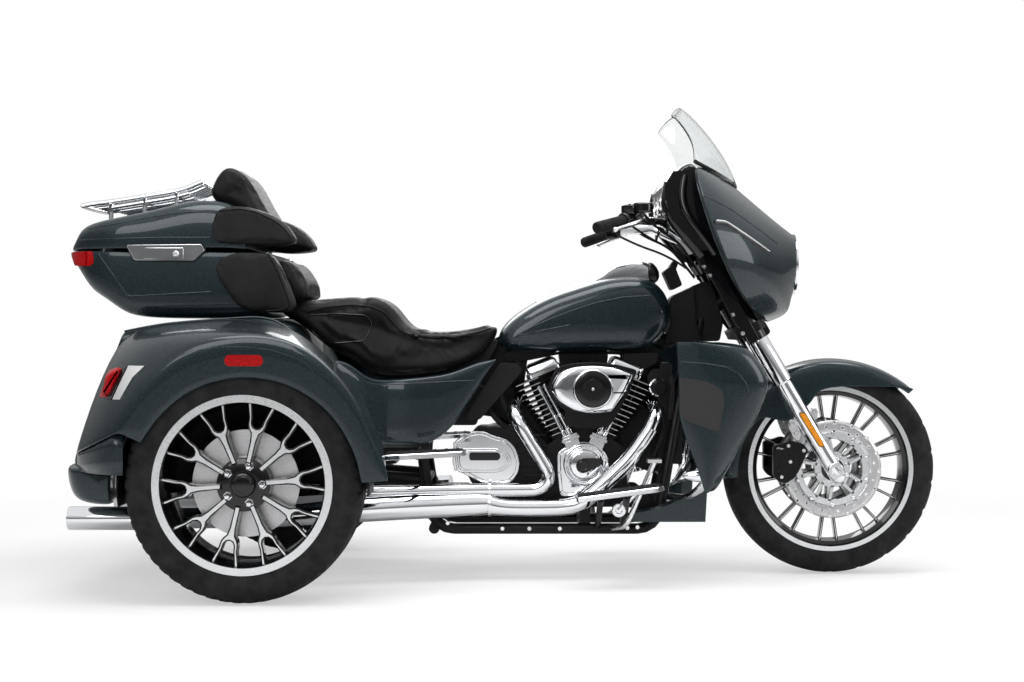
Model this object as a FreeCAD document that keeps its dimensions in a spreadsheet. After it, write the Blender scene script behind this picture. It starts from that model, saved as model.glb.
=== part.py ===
import FreeCAD, Part
import Sketcher
import math
import os

V = FreeCAD.Vector
X_AXIS = V(1, 0, 0)
Y_AXIS = V(0, 1, 0)
Z_AXIS = V(0, 0, 1)

# Driving dimensions, in millimetres and degrees.
# The frame is +X forward, +Y to the rider's left and +Z up, on the floor under the middle.
DIMENSIONS = {
    # Stance and steering
    "overall_length": 2583,
    "overall_width": 1390,
    "wheelbase": 1687.4,
    "rake_angle": 26,
    "fork_angle": 30.5,
    "trail": 100.2,
    "running_gap": 0.3,
    "moving_gap": 6,
    "overrun": 20,
    # Front wheel
    "front_tyre_radius": 319.3,
    "front_tyre_width": 130,
    "front_lip_radius": 250,
    "front_lip_inner": 234,
    "front_rim_width": 118,
    "front_hub_radius": 36,
    "front_hub_width": 155,
    "front_axle_radius": 12,
    "front_disc_radius": 148,
    "disc_thickness": 6,
    "spoke_depth": 30,
    "spoke_stem_width": 24,
    "spoke_tine_width": 15,
    # Rear wheels
    "rear_tyre_radius": 322.5,
    "rear_tyre_width": 215,
    "rear_lip_radius": 243.3,
    "rear_lip_inner": 221,
    "rear_rim_width": 203,
    "rear_wheel_track": 1135,
    "rear_hub_radius": 74,
    "rear_hub_depth": 60,
    "rear_disc_radius": 147,
    "rear_axle_radius": 20,
    "wheel_face_inset": 24,
    # Fork
    "fork_spacing": 240,
    "slider_radius": 25,
    "slider_length": 340,
    "fork_tube_radius": 23,
    "fork_cover_radius": 30,
    "fork_tube_length": 745,
    "lower_clamp_height": 738,
    "upper_clamp_height": 940,
    "clamp_thickness": 28,
    "clamp_depth": 80,
    "stem_radius": 14,
    "head_radius": 27,
    # Handlebar
    "bar_radius": 12.7,
    "bar_bend": 60,
    "bar_half_span": 430,
    "grip_radius": 17,
    "grip_length": 125,
    # Front fender
    "fender_gap": 7,
    "fender_skin": 5,
    "fender_front_angle": 45,
    "fender_rear_angle": 188,
    "fender_skirt_drop": 75,
    # Fairing
    "fairing_width": 790,
    "fairing_rear": 500,
    "fairing_nose": 892,
    "fairing_base": 758,
    "fairing_top": 1228,
    "fairing_skin": 6,
    "headlamp_height": 936,
    "headlamp_radius": 88,
    "screen_thickness": 4,
    "screen_half_width": 248,
    "screen_height": 260.6,
    "screen_lean": 186,
    "screen_sweep": 178,
    # Frame
    "frame_tube_radius": 16,
    "spine_radius": 24,
    "cradle_half_width": 150,
    "cradle_height": 148,
    "frame_bend": 70,
    # Engine
    "crank_ahead": 225,
    "crank_height": 335,
    "crankcase_radius": 112,
    "crankcase_width": 200,
    "cylinder_lean": 22.5,
    "cylinder_foot": 112,
    "tank_clearance": 9.6,
    "fin_count": 12,
    "fin_thickness": 5,
    "barrel_radius": 56,
    "rocker_height": 42,
    "gearbox_length": 230,
    # Exhaust
    "header_radius": 21,
    "muffler_radius": 42,
    "tailpipe_radius": 31,
    "tailpipe_height": 195,
    "tailpipe_offset": 300,
    # Tank and seat
    "tank_rear": -32,
    "tank_length": 518,
    "tank_base": 671,
    "tank_height": 245,
    "tank_width": 300,
    "console_height": 34,
    "seat_rear": -628,
    "seat_length": 606,
    "seat_base": 598,
    "seat_height": 237,
    "seat_width": 380,
    # Rear body
    "body_width": 880,
    "body_skin": 12,
    "body_base": 400,
    "body_height": 378,
    "body_length": 760,
    "door_width": 760,
    "door_thickness": 16,
    "fender_wall": 14,
    "arch_gap": 22,
    "plate_width": 184,
    "plate_height": 104,
    "plate_thickness": 6,
    "plate_hole_span": 150,
    "plate_hole_rise": 76,
    "plate_hole_radius": 3.3,
    # Top case
    "case_width": 580,
    "case_front": -700,
    "case_base": 773,
    "case_split": 970,
    "case_top": 1122,
    "case_skin": 8,
    "lid_gap": 2,
    "hinge_radius": 4.5,
    "hinge_offset": 10.4,
    "hinge_length": 60,
    # Rider's pieces
    "board_width": 105,
    "board_thickness": 18,
    "guard_radius": 13,
    "lower_behind": 196,
    "lower_length": 296,
    "lower_rise": 124,
    "lower_height": 432,
    "lower_skin": 8,
    "chin_behind": 100,
    "chin_length": 240,
    "chin_rise": 30,
    "chin_height": 92,
    "chin_width": 80,
    "pedal_radius": 7.8,
    "pedal_foot": 20,
    "pedal_reach": 100,
    "pad_length": 40,
    "pad_width": 60,
    "pad_thickness": 10,
}

PARTS_FOLDER = "parts"


class Size(float):
    """A length from the sheet that also remembers its formula, for bound properties."""

    def __new__(cls, value, formula=None):
        made = float.__new__(cls, value)
        made.formula = formula if formula is not None else repr(float(value))
        return made

    def _join(self, mark, other, value, turned=False):
        other = other if isinstance(other, Size) else Size(other)
        pair = (other.formula, self.formula) if turned else (self.formula, other.formula)
        return Size(value, "(" + pair[0] + " " + mark + " " + pair[1] + ")")

    def __add__(self, other):
        return self._join("+", other, float(self) + float(other))

    def __radd__(self, other):
        return self._join("+", other, float(other) + float(self), True)

    def __sub__(self, other):
        return self._join("-", other, float(self) - float(other))

    def __rsub__(self, other):
        return self._join("-", other, float(other) - float(self), True)

    def __mul__(self, other):
        return self._join("*", other, float(self) * float(other))

    def __rmul__(self, other):
        return self._join("*", other, float(other) * float(self), True)

    def __truediv__(self, other):
        return self._join("/", other, float(self) / float(other))

    def __neg__(self):
        return self._join("*", Size(-1.0), -float(self))


class Sheet:
    """The spreadsheet of driving dimensions, read back as sizes by name."""

    def __init__(self, document, dimensions):
        self.cells = document.addObject("Spreadsheet::Sheet", "sizes")
        for row, (name, value) in enumerate(dimensions.items(), start=1):
            self.cells.set("A" + str(row), name)
            self.cells.set("B" + str(row), str(value))
            self.cells.setAlias("B" + str(row), name)
        document.recompute()

    def __getattr__(self, name):
        return Size(self.cells.get(name), "sizes." + name)


doc = FreeCAD.newDocument("motorized_trike")
S = Sheet(doc, DIMENSIONS)
NODES = []

# Places worked out from the driving dimensions
FRONT_X = S.overall_length / 2 - S.front_tyre_radius
FRONT_Z = S.front_tyre_radius
REAR_X = FRONT_X - S.wheelbase
REAR_Z = S.rear_tyre_radius
CASE_REAR = -(S.overall_length / 2)
HALF_WIDTH = S.overall_width / 2
RAKE_TAN = math.tan(math.radians(S.rake_angle))
FORK_TAN = math.tan(math.radians(S.fork_angle))


def steering_x(height):
    """Where the steering axis passes at a height."""
    return FRONT_X + S.trail - height * RAKE_TAN


def fork_x(height):
    """Where the line of the fork legs passes at a height."""
    return FRONT_X - (height - FRONT_Z) * FORK_TAN


STEERING_DIRECTION = V(-math.sin(math.radians(S.rake_angle)), 0, math.cos(math.radians(S.rake_angle)))
FORK_DIRECTION = V(-math.sin(math.radians(S.fork_angle)), 0, math.cos(math.radians(S.fork_angle)))


# Bound objects

def bind(made, **sizes):
    """Ties properties to the sheet: a size's formula becomes the property's expression."""
    for name, size in sizes.items():
        if isinstance(size, Size):
            made.setExpression(name, size.formula)
        else:
            setattr(made, name, size)
    return made


def put(made, at, turn=None):
    """Places an object at sizes from the sheet, with a fixed turn."""
    made.Placement = FreeCAD.Placement(V(*[float(value) for value in at]), turn or FreeCAD.Rotation())
    for name, value in zip("xyz", at):
        if isinstance(value, Size):
            made.setExpression("Placement.Base." + name, value.formula)
    return made




def fuse(name, *pieces):
    made = doc.addObject("Part::MultiFuse", name)
    made.Shapes = list(pieces)
    return made


def node(made, label):
    """Names a finished piece, which is written to a file of that name."""
    made.Label = label
    NODES.append(made)
    return made


def shaped(label, shape):
    """A piece whose form comes from Part's own functions."""
    made = doc.addObject("Part::Feature", label + "_solid")
    made.Shape = shape
    return node(made, label)


# Shapes made from outlines

def spread(shares, start, length, base, height):
    """Turns shares of a length and a height into places."""
    return [(start + length * across, base + height * up) for across, up in shares]


def side_wire(points, at_y=0.0):
    corners = [V(float(x), float(at_y), float(z)) for x, z in points]
    return Part.makePolygon(corners + corners[:1])


def side_slab(points, from_y, to_y):
    """A side outline pulled across the trike."""
    return Part.Face(side_wire(points, from_y)).extrude(V(0, float(to_y) - float(from_y), 0))


def front_slab(points, from_x, to_x):
    """A front outline, in (y, z), pulled along the trike."""
    corners = [V(float(from_x), float(y), float(z)) for y, z in points]
    face = Part.Face(Part.makePolygon(corners + corners[:1]))
    return face.extrude(V(float(to_x) - float(from_x), 0, 0))


def plan_slab(points, from_z, to_z):
    """A plan outline, in (x, y), pulled upwards."""
    corners = [V(float(x), float(y), float(from_z)) for x, y in points]
    face = Part.Face(Part.makePolygon(corners + corners[:1]))
    return face.extrude(V(0, 0, float(to_z) - float(from_z)))


def rounded(points, radii):
    """A closed plan wire in (x, y) whose corners are arcs of the given radii."""
    edges = []
    count = len(points)
    ends = []
    for index in range(count):
        before, corner, after = (V(*[float(v) for v in points[(index + step) % count]], 0)
                                 for step in (-1, 0, 1))
        into = (before - corner).normalize()
        out = (after - corner).normalize()
        half = into.getAngle(out) / 2
        reach = float(radii[index]) / math.tan(half)
        middle = corner + (into + out).normalize() * (float(radii[index]) / math.sin(half))
        start = corner + into * reach
        end = corner + out * reach
        through = middle + (corner - middle).normalize() * float(radii[index])
        ends.append((start, through, end))
    for index, (start, through, end) in enumerate(ends):
        edges.append(Part.Arc(start, through, end).toShape())
        edges.append(Part.LineSegment(end, ends[(index + 1) % count][0]).toShape())
    return Part.Wire(edges)


def rounded_plan_slab(points, radii, from_z, to_z):
    face = Part.Face(rounded(points, radii))
    face.translate(V(0, 0, float(from_z)))
    return face.extrude(V(0, 0, float(to_z) - float(from_z)))


def rounded_side_slab(points, radii, from_y, to_y):
    face = Part.Face(rounded(points, radii))
    face.rotate(V(), X_AXIS, 90)
    face.translate(V(0, float(to_y), 0))
    return face.extrude(V(0, float(from_y) - float(to_y), 0))


def mirrored(shape):
    return shape.mirror(V(), Y_AXIS)


def both_sides(shape):
    """A piece on the right and its mirror image on the left, as two solids."""
    return Part.makeCompound([shape, mirrored(shape)])


def one_solid(shape):
    """The single solid of a joined shape, with its seams removed."""
    return shape.removeSplitter()


def bent_path(points, bend):
    """Places along a line through the corners, with chords of a tangent arc at each corner."""
    corners = [V(*[float(value) for value in point]) for point in points]
    path = [corners[0]]
    for before, corner, after in zip(corners, corners[1:], corners[2:]):
        into = (before - corner).normalize()
        out = (after - corner).normalize()
        half = into.getAngle(out) / 2
        shorter = min((before - corner).Length, (after - corner).Length)
        radius = min(float(bend), shorter * PIPE_RUN_SHARE * math.tan(half))
        reach = radius / math.tan(half)
        middle = corner + (into + out).normalize() * (radius / math.sin(half))
        start = corner + into * reach - middle
        axis = start.cross(corner + out * reach - middle)
        turn = 180 - math.degrees(half) * 2
        steps = max(1, math.ceil(turn / BEND_STEP_DEGREES))
        for step in range(steps + 1):
            path.append(middle + FreeCAD.Rotation(axis, turn * step / steps).multVec(start))
    path.append(corners[-1])
    return path


PIPE_RUN_SHARE = 0.45
BEND_STEP_DEGREES = 24
TUBE_SIDES = 16
STEEP_SHARE = 0.9


def pipe(points, radius, bend):
    """A bent bar or tube with a many-sided section, mitred along the chords of its bends."""
    path = bent_path(points, bend)
    runs = [(after - before).normalize() for before, after in zip(path, path[1:])]
    across = runs[0].cross(X_AXIS if abs(runs[0].z) > STEEP_SHARE else Z_AXIS).normalize()
    turn = 360 / TUBE_SIDES
    ring = [path[0] + FreeCAD.Rotation(runs[0], turn * index).multVec(across) * float(radius)
            for index in range(TUBE_SIDES)]
    rings = [ring]
    for index, run in enumerate(runs):
        after = runs[min(index + 1, len(runs) - 1)]
        square = (run + after).normalize()
        ring = [corner + run * ((path[index + 1] - corner).dot(square) / run.dot(square))
                for corner in ring]
        rings.append(ring)
    return skinned(rings)


def skinned(rings):
    """A solid whose skin joins like rings of corners with flat facets."""
    faces = [flat_face(rings[0]), flat_face(rings[-1])]
    for first, second in zip(rings, rings[1:]):
        for index in range(len(first)):
            faces.append(flat_face([first[index - 1], first[index], second[index], second[index - 1]]))
    return Part.Solid(Part.Shell(faces))


def flat_face(corners):
    return Part.Face(Part.makePolygon(corners + corners[:1]))


def straight_bar(start, end, radius):
    """A straight bar with the many-sided section of the bent ones."""
    return pipe([start, end], radius, 0)


def rod(start, end, radius):
    """A straight round form between two places, for bores and for what turns in them."""
    first = V(*[float(value) for value in start])
    last = V(*[float(value) for value in end])
    return Part.makeCylinder(float(radius), (last - first).Length, first, last - first)


# Sketches whose corners follow the sheet

def plane_of(body, role):
    return [plane for plane in body.Origin.OriginFeatures if plane.Role == role][0]


def sketch_outline(body, name, role, corners):
    """A closed outline in a body's own plane, each corner bound to sizes from the sheet."""
    sketch = body.newObject("Sketcher::SketchObject", name)
    sketch.AttachmentSupport = [(plane_of(body, role), "")]
    sketch.MapMode = "FlatFace"
    count = len(corners)
    for index in range(count):
        start = V(float(corners[index][0]), float(corners[index][1]), 0)
        after = corners[(index + 1) % count]
        sketch.addGeometry(Part.LineSegment(start, V(float(after[0]), float(after[1]), 0)), False)
    for index in range(count):
        sketch.addConstraint(Sketcher.Constraint("Coincident", index, 2, (index + 1) % count, 1))
    for index, corner in enumerate(corners):
        for kind, value in zip(("DistanceX", "DistanceY"), corner):
            placed = sketch.addConstraint(Sketcher.Constraint(kind, -1, 1, index, 1, float(value)))
            if isinstance(value, Size):
                sketch.setExpression("Constraints[" + str(placed) + "]", value.formula)
    return sketch


def sketch_circle(body, name, role, centre, radius):
    """A circle in a body's own plane, bound to sizes from the sheet."""
    sketch = body.newObject("Sketcher::SketchObject", name)
    sketch.AttachmentSupport = [(plane_of(body, role), "")]
    sketch.MapMode = "FlatFace"
    middle = V(float(centre[0]), float(centre[1]), 0)
    sketch.addGeometry(Part.Circle(middle, Z_AXIS, float(radius)), False)
    for kind, value in zip(("DistanceX", "DistanceY"), centre):
        placed = sketch.addConstraint(Sketcher.Constraint(kind, -1, 1, 0, 3, float(value)))
        if isinstance(value, Size):
            sketch.setExpression("Constraints[" + str(placed) + "]", value.formula)
    placed = sketch.addConstraint(Sketcher.Constraint("Radius", 0, float(radius)))
    if isinstance(radius, Size):
        sketch.setExpression("Constraints[" + str(placed) + "]", radius.formula)
    return sketch


def revolved(body, sketch, name):
    """Turns a sketch on the body's YZ plane, in (y, z), about the wheel's axis Y."""
    turned = body.newObject("PartDesign::Revolution", name)
    turned.Profile = sketch
    turned.ReferenceAxis = (sketch, ["H_Axis"])
    turned.Angle = 360
    return turned


def padded(body, sketch, name, length):
    pad = body.newObject("PartDesign::Pad", name)
    pad.Profile = sketch
    pad.SideType = "Symmetric"
    return bind(pad, Length=length)


def patterned(body, features, name, count, sketch):
    """Repeats features evenly about the wheel's axis Y."""
    pattern = body.newObject("PartDesign::PolarPattern", name)
    pattern.Originals = features
    pattern.Axis = (plane_axis(body, "Y_Axis"), [""])
    pattern.Angle = 360
    pattern.Occurrences = count
    body.Tip = pattern
    return pattern


def plane_axis(body, role):
    return [axis for axis in body.Origin.OriginFeatures if axis.Role == role][0]


SPOKE_COUNT = 10
# Shares of the rim's inner radius: the fork of the spoke, its crotch and its stem's foot
SPOKE_FORK_SHARE = 0.61
SPOKE_CROTCH_SHARE = 0.72
TINE_SPREAD_DEGREES = 8.2


def tyre(label, radius, width, rim_radius, centre):
    """One tyre as a solid ring: tread, shoulders, sidewalls and the bore that sits on the rim."""
    body = doc.addObject("PartDesign::Body", label + "_body")
    shoulder = radius - (radius - rim_radius) * TYRE_SHOULDER_SHARE
    tread = width * TREAD_FLAT_SHARE
    corners = [
        (-(width / 2), rim_radius),
        (width / 2, rim_radius),
        (width / 2, shoulder),
        (tread, radius),
        (-tread, radius),
        (-(width / 2), shoulder),
    ]
    sketch = sketch_outline(body, label + "_section", "YZ_Plane", corners)
    revolved(body, sketch, label + "_ring")
    put(body, centre)
    return node(body, label)


TYRE_SHOULDER_SHARE = 0.32
TREAD_FLAT_SHARE = 0.36


def spoked_rim(label, centre, lip_radius, lip_inner, rim_width, hub_radius,
               hub_start, hub_end, bore_radius, spoke_middle, turn):
    """A cast wheel: rim with machined lips, ten forked spokes and a bored hub."""
    body = doc.addObject("PartDesign::Body", label + "_body")
    rim_corners = [
        (-(rim_width / 2), lip_inner),
        (-(rim_width / 2), lip_radius - S.running_gap),
        (rim_width / 2, lip_radius - S.running_gap),
        (rim_width / 2, lip_inner),
    ]
    revolved(body, sketch_outline(body, label + "_rim_section", "YZ_Plane", rim_corners), label + "_rim")
    hub_corners = [
        (hub_start, bore_radius),
        (hub_start, hub_radius),
        (hub_end, hub_radius),
        (hub_end, bore_radius),
    ]
    tine = math.radians(TINE_SPREAD_DEGREES)
    reach = lip_inner + (lip_radius - lip_inner) / 2
    stem = S.spoke_stem_width / 2
    half = S.spoke_tine_width / 2
    foot = hub_radius - S.spoke_tine_width / 2
    fork = lip_inner * SPOKE_FORK_SHARE
    crotch = lip_inner * SPOKE_CROTCH_SHARE
    tip_out = reach * math.cos(tine)
    tip_side = reach * math.sin(tine)
    spoke_corners = [
        (-stem, foot), (stem, foot), (stem * STEM_TAPER_SHARE, fork),
        (tip_side + half, tip_out), (tip_side - half, tip_out), (Size(0.0), crotch),
        (half - tip_side, tip_out), (-(tip_side) - half, tip_out), (-(stem * STEM_TAPER_SHARE), fork),
    ]
    sketch = sketch_outline(body, label + "_spoke_outline", "XZ_Plane", spoke_corners)
    sketch.AttachmentOffset = FreeCAD.Placement(V(0, 0, -float(spoke_middle)), FreeCAD.Rotation())
    sketch.setExpression("AttachmentOffset.Base.z", (-spoke_middle).formula)
    spoke = padded(body, sketch, label + "_spoke", S.spoke_depth)
    patterned(body, [spoke], label + "_spokes", SPOKE_COUNT, sketch)
    hub_sketch = sketch_outline(body, label + "_hub_section", "YZ_Plane", hub_corners)
    hub = revolved(body, hub_sketch, label + "_hub")
    body.Tip = hub
    return put(body, centre, FreeCAD.Rotation(Y_AXIS, turn))


STEM_TAPER_SHARE = 0.8


def brake_disc(label, centre, radius, hub_radius, thickness):
    """A brake disc with a ring of windows between its rotor and its carrier."""
    body = doc.addObject("PartDesign::Body", label + "_body")
    padded(body, sketch_circle(body, label + "_rim", "XZ_Plane", (Size(0.0), Size(0.0)), radius),
           label + "_plate", thickness)
    hole = sketch_circle(body, label + "_bore", "XZ_Plane", (Size(0.0), Size(0.0)), hub_radius)
    bore = body.newObject("PartDesign::Pocket", label + "_bore_cut")
    bore.Profile = hole
    bore.Type = "ThroughAll"
    bore.SideType = "Symmetric"
    low = radius * DISC_WINDOW_LOW_SHARE
    high = radius * DISC_WINDOW_HIGH_SHARE
    narrow = low * DISC_WINDOW_WIDTH_SHARE
    wide = high * DISC_WINDOW_WIDTH_SHARE
    window = sketch_outline(body, label + "_window", "XZ_Plane",
                            [(-narrow, low), (narrow, low), (wide, high), (-wide, high)])
    opening = body.newObject("PartDesign::Pocket", label + "_window_cut")
    opening.Profile = window
    opening.Type = "ThroughAll"
    opening.SideType = "Symmetric"
    patterned(body, [opening], label + "_windows", DISC_WINDOW_COUNT, window)
    put(body, centre)
    return body


DISC_WINDOW_LOW_SHARE = 0.42
DISC_WINDOW_HIGH_SHARE = 0.62
DISC_WINDOW_WIDTH_SHARE = 0.3
DISC_WINDOW_COUNT = 6


def joined_pair(label, right, left):
    """Two like solids that share a node."""
    made = doc.addObject("Part::Compound", label + "_pair")
    made.Links = [right, left]
    return node(made, label)


def make_front_wheel():
    centre = (FRONT_X, Size(0.0), FRONT_Z)
    tyre("front_tyre", S.front_tyre_radius, S.front_tyre_width, S.front_lip_radius, centre)
    rim = spoked_rim("front_wheel", centre, S.front_lip_radius, S.front_lip_inner,
                     S.front_rim_width, S.front_hub_radius, -(S.front_hub_width / 2), S.front_hub_width / 2,
                     S.front_axle_radius + S.running_gap, Size(0.0), FRONT_SPOKE_TURN)
    node(rim, "front_rim")
    offset = S.front_hub_width / 2 + S.disc_thickness / 2
    bore = S.front_axle_radius + S.moving_gap
    discs = []
    for side, name in ((-1, "right"), (1, "left")):
        place = (FRONT_X, offset * side, FRONT_Z)
        discs.append(brake_disc("front_disc_" + name, place, S.front_disc_radius, bore, S.disc_thickness))
    joined_pair("front_discs", discs[0], discs[1])


def make_rear_wheels():
    for side, name in ((-1, "right"), (1, "left")):
        centre = (REAR_X, S.rear_wheel_track / 2 * side, REAR_Z)
        tyre("rear_tyre_" + name, S.rear_tyre_radius, S.rear_tyre_width, S.rear_lip_radius, centre)
        face = S.rear_rim_width / 2 - S.wheel_face_inset
        hub_ends = sorted([face * side, (face - S.rear_hub_depth) * side], key=float)
        spoke_middle = (face - S.spoke_depth / 2) * side
        rim = spoked_rim("rear_rim_" + name, centre, S.rear_lip_radius, S.rear_lip_inner,
                         S.rear_rim_width, S.rear_hub_radius, hub_ends[0], hub_ends[1],
                         S.rear_axle_radius + S.running_gap, spoke_middle, REAR_SPOKE_TURN)
        inner_face = S.rear_wheel_track / 2 + face - S.rear_hub_depth - S.disc_thickness / 2
        disc = brake_disc("rear_disc_" + name, (REAR_X, inner_face * side, REAR_Z), S.rear_disc_radius,
                          S.rear_axle_radius + S.moving_gap, S.disc_thickness)
        node(fuse("rear_wheel_" + name, rim, disc), "rear_rim_" + name)


FRONT_SPOKE_TURN = 0.0
REAR_SPOKE_TURN = 13.3


# Fork, yoke and steering head

def fork_leg(side):
    """One leg: slider at the axle, chromed cover and inner tube up to the upper clamp."""
    offset = S.fork_spacing / 2 * side
    foot = V(float(FRONT_X), float(offset), float(FRONT_Z)) - FORK_DIRECTION * float(S.slider_radius)
    slider_end = foot + FORK_DIRECTION * float(S.slider_length)
    slider = straight_bar(foot, slider_end, S.slider_radius)
    rest = float(S.fork_tube_length + S.slider_radius - S.slider_length)
    cover_length = float(cover_reach()) - float(S.slider_length)
    cover = straight_bar(slider_end, slider_end + FORK_DIRECTION * cover_length, S.fork_cover_radius)
    tube = straight_bar(slider_end, slider_end + FORK_DIRECTION * rest, S.fork_tube_radius)
    boss = straight_bar((FRONT_X, offset - S.slider_radius, FRONT_Z),
                        (FRONT_X, offset + S.slider_radius, FRONT_Z),
               S.slider_radius)
    return one_solid(slider.fuse([cover, tube, boss]))


def cover_reach():
    """How far up the leg the lower clamp's underside lies."""
    height = S.lower_clamp_height - S.clamp_thickness / 2 - FRONT_Z - S.clamp_depth * RAKE_TAN * CLAMP_UNDER_SHARE
    return height / math.cos(math.radians(S.fork_angle)) + S.slider_radius


def clamp(height, legs):
    """A yoke plate square to the steering axis, bored for both fork legs."""
    middle = V(float(steering_x(height)), 0, float(height))
    shift = float(fork_x(height) - steering_x(height)) / 2
    length = float(S.clamp_depth) + abs(shift) * 2
    width = float(S.fork_spacing + S.fork_cover_radius * 2)
    thickness = float(S.clamp_thickness)
    plate = Part.makeBox(length, width, thickness, V(-length / 2 + shift, -width / 2, -thickness / 2))
    plate = plate.makeFillet(float(S.clamp_depth) * CLAMP_CORNER_SHARE,
                             [edge for edge in plate.Edges if edge.tangentAt(0).isEqual(Z_AXIS, FLATNESS)
                              or edge.tangentAt(0).isEqual(-Z_AXIS, FLATNESS)])
    plate.rotate(V(), Y_AXIS, -float(S.rake_angle))
    plate.translate(middle)
    return plate.cut(legs)


CLAMP_CORNER_SHARE = 0.4
CLAMP_UNDER_SHARE = 0.25
FLATNESS = 1e-6


def make_fork():
    right = fork_leg(-1)
    left = fork_leg(1)
    axle = rod((FRONT_X, -(S.fork_spacing / 2), FRONT_Z), (FRONT_X, S.fork_spacing / 2, FRONT_Z),
               S.front_axle_radius)
    shaped("fork_legs", one_solid(right.fuse([left, axle])))
    lower = clamp(S.lower_clamp_height, [right, left])
    upper = clamp(S.upper_clamp_height, [right, left])
    start = V(float(steering_x(S.lower_clamp_height)), 0, float(S.lower_clamp_height))
    end = V(float(steering_x(S.upper_clamp_height)), 0, float(S.upper_clamp_height))
    stem = Part.makeCylinder(float(S.stem_radius), (end - start).Length, start, STEERING_DIRECTION)
    risers = []
    for side in (-1, 1):
        foot = (steering_x(S.upper_clamp_height), S.bar_radius * RISER_SPACING * side, S.upper_clamp_height)
        top = bar_centre()
        risers.append(straight_bar(foot, (top[0], S.bar_radius * RISER_SPACING * side,
                                          top[1] - S.bar_radius),
                          S.bar_radius * RISER_SHARE))
    yoke = one_solid(lower.fuse([upper, stem] + risers))
    yoke = yoke.cut(bar_shape())
    shaped("fork_yoke", yoke)


RISER_SPACING = 3.6
RISER_SHARE = 1.1


RISER_HEIGHT_SHARE = 4


def bar_centre():
    """Middle of the handlebar, in (x, z)."""
    return (steering_x(S.upper_clamp_height) - S.bar_radius * 2,
            S.upper_clamp_height + S.bar_radius * RISER_HEIGHT_SHARE)


BAR_SHARES = [(1.0, -0.94, 0.57), (0.76, -0.69, 1.0), (0.42, -0.38, 1.0), (0.17, -0.05, 0.0)]


def bar_shape():
    """The handlebar, swept from grip end to grip end."""
    middle_x, middle_z = bar_centre()
    pull_back = S.bar_half_span * BAR_PULL_SHARE
    rise = S.bar_half_span * BAR_RISE_SHARE
    right = [(middle_x + pull_back * back, -(S.bar_half_span * out), middle_z + rise * up)
             for out, back, up in BAR_SHARES]
    left = [(x, -y, z) for x, y, z in reversed(right)]
    return pipe(right + left, S.bar_radius, S.bar_bend)


BAR_PULL_SHARE = 0.83
BAR_RISE_SHARE = 0.15


def bar_point(share):
    """A place on the right grip's line, share 0 at the bar's end."""
    middle_x, middle_z = bar_centre()
    pull_back = S.bar_half_span * BAR_PULL_SHARE
    rise = S.bar_half_span * BAR_RISE_SHARE
    (out, back, up), (out2, back2, up2) = BAR_SHARES[:2]
    end = V(float(middle_x + pull_back * back), -float(S.bar_half_span * out), float(middle_z + rise * up))
    bend = V(float(middle_x + pull_back * back2), -float(S.bar_half_span * out2),
             float(middle_z + rise * up2))
    return end + (bend - end) * share, (bend - end).normalize()


def make_handlebar():
    bar = bar_shape()
    shaped("handlebar", bar)
    start, direction = bar_point(0)
    grip_start = start - direction * float(S.bar_radius)
    house_start = grip_start + direction * float(S.grip_length)
    grip = straight_bar(grip_start, house_start, S.grip_radius)
    house_end = house_start + direction * float(S.grip_length * HOUSING_LENGTH_SHARE)
    housing = straight_bar(house_start, house_end, S.grip_radius * HOUSING_SHARE)
    lever_root = house_start + direction * float(S.bar_radius) + V(float(S.grip_radius) * 2, 0, 0)
    lever_tip = start + V(float(S.grip_radius) * LEVER_REACH_SHARE, 0, 0)
    lever = straight_bar(lever_root, lever_tip, S.bar_radius * LEVER_SHARE)
    arm = straight_bar(house_start + direction * float(S.bar_radius), lever_root,
                       S.bar_radius * LEVER_SHARE)
    tank = Part.makeBox(*[float(S.grip_radius) * share for share in RESERVOIR_SHARES])
    tank.translate(house_start + V(0, -float(S.grip_radius) / 2, float(S.grip_radius)))
    shaped("hand_controls", both_sides(one_solid(grip.fuse([housing, lever, arm, tank]).cut(bar))))


HOUSING_SHARE = 1.45
HOUSING_LENGTH_SHARE = 0.4
LEVER_SHARE = 0.5
LEVER_REACH_SHARE = 3.4
RESERVOIR_SHARES = (2.6, 1.8, 1.6)


FENDER_BEVEL_SHARE = 3


def make_front_fender():
    """A hooped fender: crown over the tyre, skirts beside it and stays to the fork legs."""
    inner = S.front_tyre_radius + S.fender_gap
    outer = inner + S.fender_skin
    half = S.front_tyre_width / 2 + S.fender_gap
    side = half + S.fender_skin
    drop = outer - S.fender_skirt_drop
    bevel = S.fender_skin * FENDER_BEVEL_SHARE
    thin = S.fender_skin * 2
    section = [(-side, drop), (-side, outer - bevel), (-side + bevel, outer), (side - bevel, outer),
               (side, outer - bevel), (side, drop), (half, drop), (half, inner - bevel), (half - thin, inner),
               (-half + thin, inner), (-half, inner - bevel), (-half, drop)]
    corners = [V(0, float(y), float(z)) for y, z in section]
    face = Part.Face(Part.makePolygon(corners + corners[:1]))
    face.rotate(V(), Y_AXIS, 90 - float(S.fender_front_angle))
    hoop = face.revolve(V(), -Y_AXIS, float(S.fender_rear_angle - S.fender_front_angle))
    hoop.translate(V(float(FRONT_X), 0, float(FRONT_Z)))
    stays = []
    for reach in FENDER_STAY_SHARES:
        place = V(float(FRONT_X), 0, float(FRONT_Z)) + FORK_DIRECTION * float(outer * reach)
        stays.append(straight_bar((place.x, -(S.fork_spacing / 2), place.z), (place.x, -half, place.z),
                         S.front_axle_radius))
    legs = fork_leg(-1)
    stays = [stay.cut(legs) for stay in stays]
    stays = stays + [mirrored(stay) for stay in stays]
    shaped("front_fender", one_solid(hoop.fuse(stays)))


FENDER_STAY_SHARES = (0.82, 0.93)


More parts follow.
